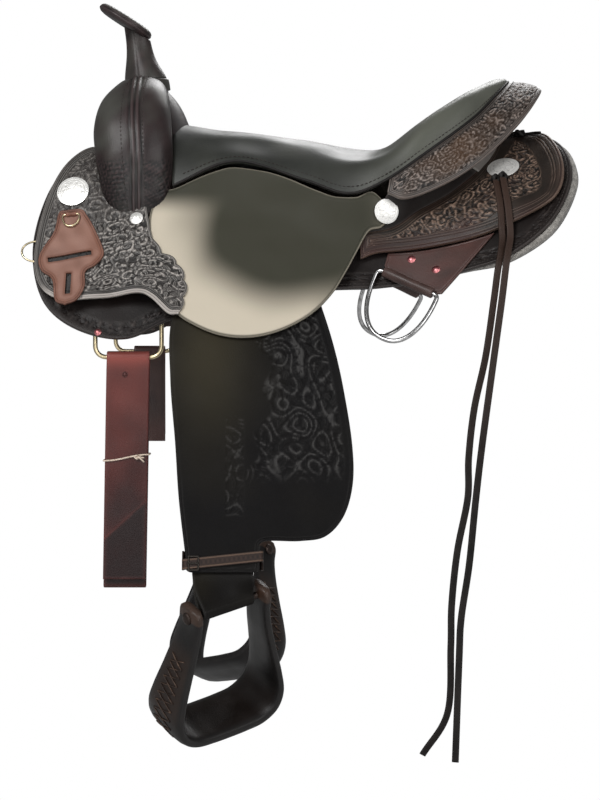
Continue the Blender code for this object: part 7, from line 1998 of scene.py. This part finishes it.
@dataclass
class Keeper:
    """The strap keeper on the near front jockey: a shaped leather patch with two slots, and its ring."""

    edge: tuple = ((-0.308, 0.1392), (-0.284, 0.1392), (-0.275, 0.148), (-0.266, 0.162), (-0.254, 0.188),
                   (-0.252, 0.203), (-0.262, 0.217), (-0.274, 0.226), (-0.274, 0.247), (-0.283, 0.266),
                   (-0.299, 0.272), (-0.312, 0.264), (-0.317, 0.234), (-0.331, 0.221), (-0.336, 0.205),
                   (-0.331, 0.188), (-0.318, 0.166), (-0.313, 0.143))
    slots: tuple = (((-0.324, 0.202), (-0.268, 0.195), (-0.267, 0.202), (-0.323, 0.209)),
                    ((-0.2990, 0.226), (-0.2920, 0.226), (-0.2925, 0.257), (-0.2995, 0.257)))

    def build(self) -> None:
        """Places the keeper with real slots cut through it, and the ring."""
        left = even([self.edge[0], *self.edge[:9:-1]], 60)
        right = even(self.edge[:11], 60)
        surface = over(FRONT_JOCKEY_LEVEL)
        base = LEATHER.jockey + GAP

        def tint(u: Array, w: Array, away: Array) -> Array:
            """Tone of the face, paler inside its edge and darker round the slots."""
            cut = np.minimum(*(edge_distance(u, w, even(slot, 60, True, True)) for slot in self.slots))
            dark = 0.8 * np.exp(-((cut / 0.0022) ** 2))
            face = 0.5 * step(away, 0.004, 0.004) + 0.2 * noise(np.stack([u, w], -1), 0.03, 111)
            return np.clip(face - dark, 0, 1)

        tooling = Tooling(nothing, (0.0028,), base=0.6, tone=tint, rim=-0.5)
        sheet = Sheet(left, right, 0.0030, lambda x, s, t: surface(x, s, base + t + self.lift(x, s)), 190, 90,
                      0.0012, tooling)
        piece = place_piece("latigo_keeper", sheet.blank(), KEEPER, "saddle", ("latigo_keeper",))
        self.cut(piece, surface, base)
        middle, axis = np.array([-0.29576, -0.13605, -0.05235]), np.array([-0.99062, 0.11616, -0.07197])
        normal = back_out(-0.2955, 0.1462)
        down = unit(np.cross(axis, normal))
        down = down if down[2] < 0 else -down
        radius = 0.0024 / 2 + RUNNING_GAP + 0.0013
        roll = roll_over(middle - unit(axis) * 0.007, middle + unit(axis) * 0.007, radius, 0.00155)
        place_piece("keeper_roll", roll, KEEPER, "saddle")
        ring = wire(dee_outline(0.022, 0.018, 0.003, 2.2), 0.0024, middle, axis, -down, 90)
        place_piece("keeper_dee", ring, CREAM, "keeper_ring", ("keeper_dee",))

    def lift(self, x: Array, s: Array) -> Array:
        """A slight curl of the keeper's lower tongue away from the jockey."""
        return 0.0016 * step(s, 0.215, 0.06) + 0.0007 * np.sin((x + 0.29) / 0.012) * step(s, 0.18, 0.03)

    def cut(self, piece: bpy.types.Object, surface: Callable, base: float) -> None:
        """Cuts both slots out of the keeper with prisms that stand on the surface."""
        for slot in self.slots:
            outline = even(slot, 40, closed=True, sharp=True)
            rings = np.stack([surface(outline[:, 0], outline[:, 1], np.full(len(outline), base + t))
                              for t in (-0.0035, 0.010)])
            ends = [rings[k].mean(0, keepdims=True) + 0 * rings[k] for k in (0, 1)]
            prism = Blank(np.stack([ends[0], *rings, ends[1]]).reshape(-1, 3),
                          grid_faces(4, len(outline), wrap=True)).outward()
            mesh = bpy.data.meshes.new("slot")
            mesh.from_pydata([tuple(p) for p in prism.points], [], [tuple(int(k) for k in q) for q in prism.quads])
            bm = bmesh.new()
            bm.from_mesh(mesh)
            bmesh.ops.remove_doubles(bm, verts=bm.verts, dist=1e-6)
            bmesh.ops.recalc_face_normals(bm, faces=bm.faces)
            bm.to_mesh(mesh)
            bm.free()
            cutter = bpy.data.objects.new("slot", mesh)
            bpy.context.scene.collection.objects.link(cutter)
            modifier = piece.modifiers.new("slot", "BOOLEAN")
            modifier.operation, modifier.solver, modifier.object = "DIFFERENCE", "EXACT", cutter
            bpy.context.view_layer.update()
            made = bpy.data.meshes.new_from_object(piece.evaluated_get(bpy.context.evaluated_depsgraph_get()))
            piece.modifiers.clear()
            piece.data = made
            bpy.data.objects.remove(cutter)


@dataclass
class Silver:
    """The engraved conchos and the jockey screws."""

    def frame_on(self, x: float, s: float, level: Array, radius: float) -> tuple[Array, Array, Array, Array]:
        """A disc's centre and axes, so that it just clears the surface at this level under it."""
        e = 0.012
        top = over(level)
        ends = top(np.array([x + e, x - e, x, x]), np.array([s, s, s + e, s - e]), np.zeros(4))
        tail, down = unit(ends[0] - ends[1]), ends[2] - ends[3]
        down = unit(down - (down @ tail) * tail)
        out = np.cross(tail, down) * np.sign(np.cross(tail, down)[2])
        centre = top(x, s, 0.0)
        a = np.arange(16) * math.pi / 8
        beside = top(x + radius * np.cos(a), s + radius * np.sin(a), np.zeros(16))
        rise = max(0.0, float(((beside - centre) @ out).max()))
        return centre + out * (rise + 0.0003), tail, down, out

    def disc(self, name: str, x: float, s: float, level: Array, radius: float, node: Optional[str],
             tilt: float = 0.0, flower: float = 6.0, dark: float = 0.6) -> None:
        """A domed disc with a roped rim and engraved petals, on both sides."""
        centre, tail, down, out = self.frame_on(x, s, level, radius)
        long_way = math.cos(tilt) * tail + math.sin(tilt) * down
        cross_way = math.cos(tilt) * down - math.sin(tilt) * tail
        if np.cross(long_way, cross_way) @ out < 0:
            cross_way = -cross_way
        share = np.array([0, .04, .09, .14, .2, .26, .32, .38, .44, .5, .56, .62, .68, .73, .77, .80, .83, .86, .89,
                          .92, .95, .975, .992, 1.0, .995, .98, 0.6, 0.0])
        rise = 0.0030 * (1 - 0.62 * np.minimum(share, 1) ** 2.2)
        rise[-5:] = (0.0012, 0.0005, 0.0, 0.0, 0.0)
        a = np.arange(120) * 2 * math.pi / 120
        r, b = np.meshgrid(share, a, indexing="ij")
        rope = 0.00022 * np.cos(40 * b + 18 * r) * groove(r, 0.90, 0.045)
        petal = np.cos(flower * b)
        line = groove(r, 0.34 + 0.30 * np.abs(petal) ** 0.7, 0.030) + groove(r, 0.20 + 0.05 * petal, 0.025)
        line += groove(np.abs(np.sin(flower * b / 2)), 0.0, 0.10) * step(r, 0.20, 0.05) * (1 - step(r, 0.66, 0.05))
        petal_marks = 0.6 * groove(np.cos(flower * b + 1.6), 1.0, 0.12) * groove(r, 0.70, 0.05)
        line += 0.8 * groove(r, 0.79, 0.018) + petal_marks
        top = (np.arange(len(share)) < len(share) - 5)[:, None]
        height = rise[:, None] + top * (rope - 0.00028 * np.clip(line, 0, 1.2))
        points = centre + radius * (r * np.cos(b))[..., None] * long_way + radius * (
            r * np.sin(b))[..., None] * cross_way + height[..., None] * unit(np.cross(long_way, cross_way))
        relief = np.clip(1.0 - dark * top * np.clip(line, 0, 1) - 0.3 * top * groove(r, 0.90, 0.05)
                         * (0.5 + 0.5 * np.cos(40 * b + 18 * r)), 0, 1)
        blank = Blank(points.reshape(-1, 3), grid_faces(len(share), 120, wrap=True),
                      {"relief": relief.ravel()}).outward()
        place_pair(name, blank, SILVER, "saddle", node)

    def build(self) -> None:
        """Places the discs on both sides."""
        front, seat, rear = (level + LEATHER.jockey for level in
                             (FRONT_JOCKEY_LEVEL, SEAT_JOCKEY_LEVEL, REAR_JOCKEY_LEVEL))
        self.disc("front_concho", -0.295, 0.1165, front, 0.021, "front_concho", 0.1, 5.0, 0.35)
        self.disc("side_concho", 0.1125, 0.149, seat, 0.016, "side_concho", 0.0, 6.0, 0.4)
        self.disc("rear_concho", 0.270, 0.107, rear, 0.021, "rear_concho", 0.0, 5.0, 0.5)
        self.disc("jockey_screw", -0.211, 0.153, front, 0.0085, None, 0.0, 4.0, 0.5)


@dataclass
class Strings:
    """The two saddle strings: flat leather lace, down over the near skirt and hanging free."""

    diameter: float = 0.006
    width: float = 0.0088
    thick: float = 0.0034
    lift: float = 0.0016
    on_leather: dict = field(default_factory=lambda: {
        "saddle_string_long_near": ((0.2600, 0.1325), (0.2615, 0.155), (0.2630, 0.178), (0.2620, 0.202),
                               (0.2600, 0.224), (0.2570, 0.2455)),
        "saddle_string_short_near": ((0.2690, 0.1325), (0.2705, 0.155), (0.2720, 0.178), (0.2720, 0.202),
                                (0.2700, 0.224), (0.2665, 0.2455))})
    in_air: dict = field(default_factory=lambda: {
        "saddle_string_long_near": ((0.2500, -0.2050, -0.127), (0.2450, -0.2065, -0.165), (0.2350, -0.2065, -0.235),
                               (0.2210, -0.2065, -0.300), (0.2140, -0.2065, -0.363), (0.2130, -0.2065, -0.414),
                               (0.2000, -0.2065, -0.482), (0.1930, -0.2065, -0.550), (0.1920, -0.2065, -0.605),
                               (0.1880, -0.2065, -0.689), (0.1560, -0.2065, -0.743)),
        "saddle_string_short_near": ((0.2600, -0.2060, -0.124), (0.2550, -0.2080, -0.165), (0.2450, -0.2080, -0.240),
                                (0.2310, -0.2080, -0.346), (0.2230, -0.2080, -0.417), (0.2150, -0.2080, -0.499),
                                (0.2050, -0.2080, -0.568), (0.2025, -0.2080, -0.620), (0.1980, -0.2080, -0.752))})

    def route(self, name: str) -> Array:
        """The string's line, from its knot under the rear concho to its end, every 3 mm."""
        top = REAR_JOCKEY_LEVEL + LEATHER.jockey
        keys = []
        for x, s in self.on_leather[name]:
            under = float(BACK.read(top, x, s)) if s < 0.21 else self.lift
            keys.append(back_point(x, s, under + self.diameter / 2 + self.lift))
        keys = np.vstack([keys, self.in_air[name]])
        count = int(np.linalg.norm(np.diff(keys, axis=0), axis=1).sum() / 0.003)
        return even(keys, count)

    def lace(self, path: Array, twist: float) -> Blank:
        """A limp lace along a path, its narrow section turning slowly as it hangs."""
        run = np.concatenate([[0], np.cumsum(np.linalg.norm(np.diff(path, axis=0), axis=1))])
        side, up = frames(path, (0.2, -0.95, 0.1))
        a = (twist * (0.3 * np.sin(run / 0.11) + run / 2.0))[:, None]
        across, rise = side * np.cos(a) + up * np.sin(a), up * np.cos(a) - side * np.sin(a)
        blank = swept(path, across, rise, strap_profile(self.width, self.thick, 0.0010, 6))
        blank.paint = {"relief": 0.5 + 0.35 * noise(blank.points, 0.02, 121),
                       "tone": np.clip(1.0 - (0.0 - blank.points[:, 2]) / 0.42, 0, 1) * 0.8}
        return blank

    def build(self) -> None:
        for name, twist in (("saddle_string_long_near", 0.5), ("saddle_string_short_near", -0.8)):
            path = self.route(name)
            piece = place_piece(name, self.lace(path, twist), LACE, "saddle", (name,))

    def knots(self) -> None:
        """Two small knots under the rear concho, where the strings come out."""
        top = over(REAR_JOCKEY_LEVEL + LEATHER.jockey)
        t = np.linspace(0, 2 * math.pi, 70)[:-1]
        for name, x, s in (("long", 0.2595, 0.1300), ("short", 0.2688, 0.1300)):
            middle = top(x, s, 0.0045)
            loop = np.stack([0.0042 * np.cos(t), 0.0022 * np.sin(2 * t), 0.0036 * np.sin(t)], -1)
            knot = tube_along(middle + loop, 0.0026, 8, True)
            ring_line = np.stack([0.0052 * np.cos(t) * 0.4, 0.0030 * np.cos(t), 0.0050 * np.sin(t)], -1)
            bar = tube_along(middle + ring_line,
                             0.0024, 8, True)
            place_piece(f"string_knot_{name}", knot.joined(bar), LACE, "saddle")


@dataclass
class RearLace:
    """The lace band that ties the rear jockeys together over the loin, with a knot and a loose end."""

    half: float = 0.015
    thick: float = 0.0025

    def build(self) -> None:
        """Places the band of three plaited turns, its knot and tail."""
        top = over(REAR_JOCKEY_LEVEL + LEATHER.jockey)
        x = np.linspace(0.272, 0.302, 40)
        edge = top(x, np.full(40, self.half), np.full(40, GAP))
        edge = edge + (edge.mean(0) - edge) * (0, 1, 0)
        y = np.linspace(-1, 1, 41)
        rise = -edge[:, 1] * 0.42
        ridge = np.sqrt(y**2 + 0.05) - math.sqrt(1.05)
        grid = np.stack([np.broadcast_to(x[:, None], (40, 41)), y[None] * -edge[:, 1:2],
                         edge[:, 2:3] - rise[:, None] * ridge[None]], -1)
        strands = 0.0008 * np.abs(np.sin(math.pi * (x[:, None] - 0.272) / 0.010 + 0.35 * np.sin(y[None] * 7)))
        high = grid + np.array([0, 0, 1.0]) * (self.thick - 0.0008 + strands)[..., None]
        skin = shell(high, grid, {"relief": 0.25 + 700 * strands + 0.1 * noise(grid, 0.01, 131)})
        place_piece("rear_lace", skin, LACE, "saddle", ("rear_lace",))
        t = np.linspace(0, 2 * math.pi, 60)[:-1]
        spot = top(0.2985, 0.020, 0.0045)
        knot = tube_along(spot + np.stack([0.0050 * np.cos(t), 0.0042 * np.sin(t), 0.0026 * np.sin(2 * t)], -1),
                          0.0026, 8, True)
        keys = [top(a, b, 0.0032) for a, b in ((0.299, 0.022), (0.308, 0.027), (0.317, 0.033), (0.3235, 0.040))]
        tail = tube_along(spline(keys, np.linspace(0, 1, 30)), 0.0022, 8)
        place_piece("rear_lace_knot", knot.joined(tail), LACE, "saddle")


# Studio


@dataclass
class Studio:
    """The camera at the photograph's angle, soft lights, and a plain pale floor."""

    target: tuple = (0.0, -0.2, -0.290)
    distance: float = 3.0
    elevation: float = 2.5
    lens: float = 106.3
    floor: float = -0.800

    def camera(self) -> None:
        """Looks from the near side at the target."""
        data = bpy.data.cameras.new("camera")
        data.lens, data.sensor_width, data.sensor_fit = self.lens, 36.0, "AUTO"
        data.clip_end = 60.0
        obj = bpy.data.objects.new("camera", data)
        bpy.context.scene.collection.objects.link(obj)
        e = math.radians(self.elevation)
        place = Vector(self.target) + Vector((0, -math.cos(e), math.sin(e))) * self.distance
        obj.location = place
        obj.rotation_euler = (Vector(self.target) - place).to_track_quat("-Z", "Y").to_euler()
        bpy.context.scene.camera = obj

    def light(self, name: str, place: tuple, size: float, power: float, aim: tuple = (0, 0, -0.2)) -> None:
        """A square soft light."""
        data = bpy.data.lights.new(name, "AREA")
        data.size, data.energy = size, power
        obj = bpy.data.objects.new(name, data)
        bpy.context.scene.collection.objects.link(obj)
        obj.location = place
        obj.rotation_euler = (Vector(aim) - Vector(place)).to_track_quat("-Z", "Y").to_euler()

    def white(self, tree: bpy.types.NodeTree, shader_output: tuple, target: bpy.types.NodeSocket) -> None:
        """Shows plain white to camera and transmission rays, and the shader to the rest."""
        path = link(tree, "ShaderNodeLightPath", {})
        seen = link(tree, "ShaderNodeMath", {0: (path, "Is Camera Ray"), 1: (path, "Is Transmission Ray")},
                    operation="MAXIMUM")
        on_material = target.node.type == "OUTPUT_MATERIAL"
        glow = link(tree, "ShaderNodeEmission" if on_material else "ShaderNodeBackground",
                    {"Color": (1, 1, 1, 1), "Strength": 1.0})
        mix = link(tree, "ShaderNodeMixShader", {0: (seen, "Value"), 1: shader_output,
                                                  2: (glow, glow.outputs[0].name)})
        tree.links.new(mix.outputs["Shader"], target)

    def build(self) -> None:
        """Makes the floor, the world and the lights."""
        scene = bpy.context.scene
        world = bpy.data.worlds.new("world")
        world.use_nodes = True
        scene.world = world
        tree = world.node_tree
        base = tree.nodes["Background"]
        base.inputs["Color"].default_value = (1.0, 1.0, 1.0, 1.0)
        base.inputs["Strength"].default_value = 0.20
        self.white(tree, (base, "Background"), tree.nodes["World Output"].inputs["Surface"])
        mesh = bpy.data.meshes.new("floor")
        mesh.from_pydata([(-8, -8, self.floor), (8, -8, self.floor), (8, 8, self.floor), (-8, 8, self.floor)], [],
                         [(0, 1, 2, 3)])
        floor = bpy.data.objects.new("floor", mesh)
        scene.collection.objects.link(floor)
        mat = bpy.data.materials.new("floor")
        mat.use_nodes = True
        paint = mat.node_tree.nodes["Principled BSDF"]
        paint.inputs["Base Color"].default_value = (0.60, 0.60, 0.60, 1.0)
        paint.inputs["Roughness"].default_value = 0.9
        self.white(mat.node_tree, (paint, "BSDF"), mat.node_tree.nodes["Material Output"].inputs["Surface"])
        mesh.materials.append(mat)
        self.light("key", (-1.5, -2.7, 2.0), 1.5, 78)
        self.light("fill", (1.9, -2.4, 0.9), 1.8, 30)
        self.light("rim", (0.6, 2.4, 1.9), 1.6, 45)
        self.light("low", (-0.4, -2.8, -0.3), 1.6, 18)
        scene.view_settings.view_transform = "Standard"


def dress_hidden_nodes() -> None:
    """Gives the CAD nodes that stay their materials: the tree's wood in painted shade, and the horn's post."""
    for name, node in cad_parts.items():
        if node.hide_render:
            continue
        finish = WOOD_IN_PAINTED_SHADE if name.startswith("tree") else STEEL
        node.data.materials.clear()
        node.data.materials.append(finish.material())
        log.info("%s keeps its CAD shape", name)


def main() -> None:
    """Builds the saddle's looks in order."""
    logging.basicConfig(level=logging.INFO, format="%(message)s")
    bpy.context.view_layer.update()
    studio = Studio()
    studio.camera()
    Strings().build()
    for part in (Skirts(), FrontJockey(), SeatJockey(), RearJockey(), Seat(), Fork(), Horn(), Fender(),
                 StirrupLeather(), Stirrup(), Rigging(), HangingStraps(), Keeper(), Silver(), RearLace()):
        part.build()
    Strings().knots()
    dress_hidden_nodes()
    studio.build()


if __name__ == "__main__":
    main()
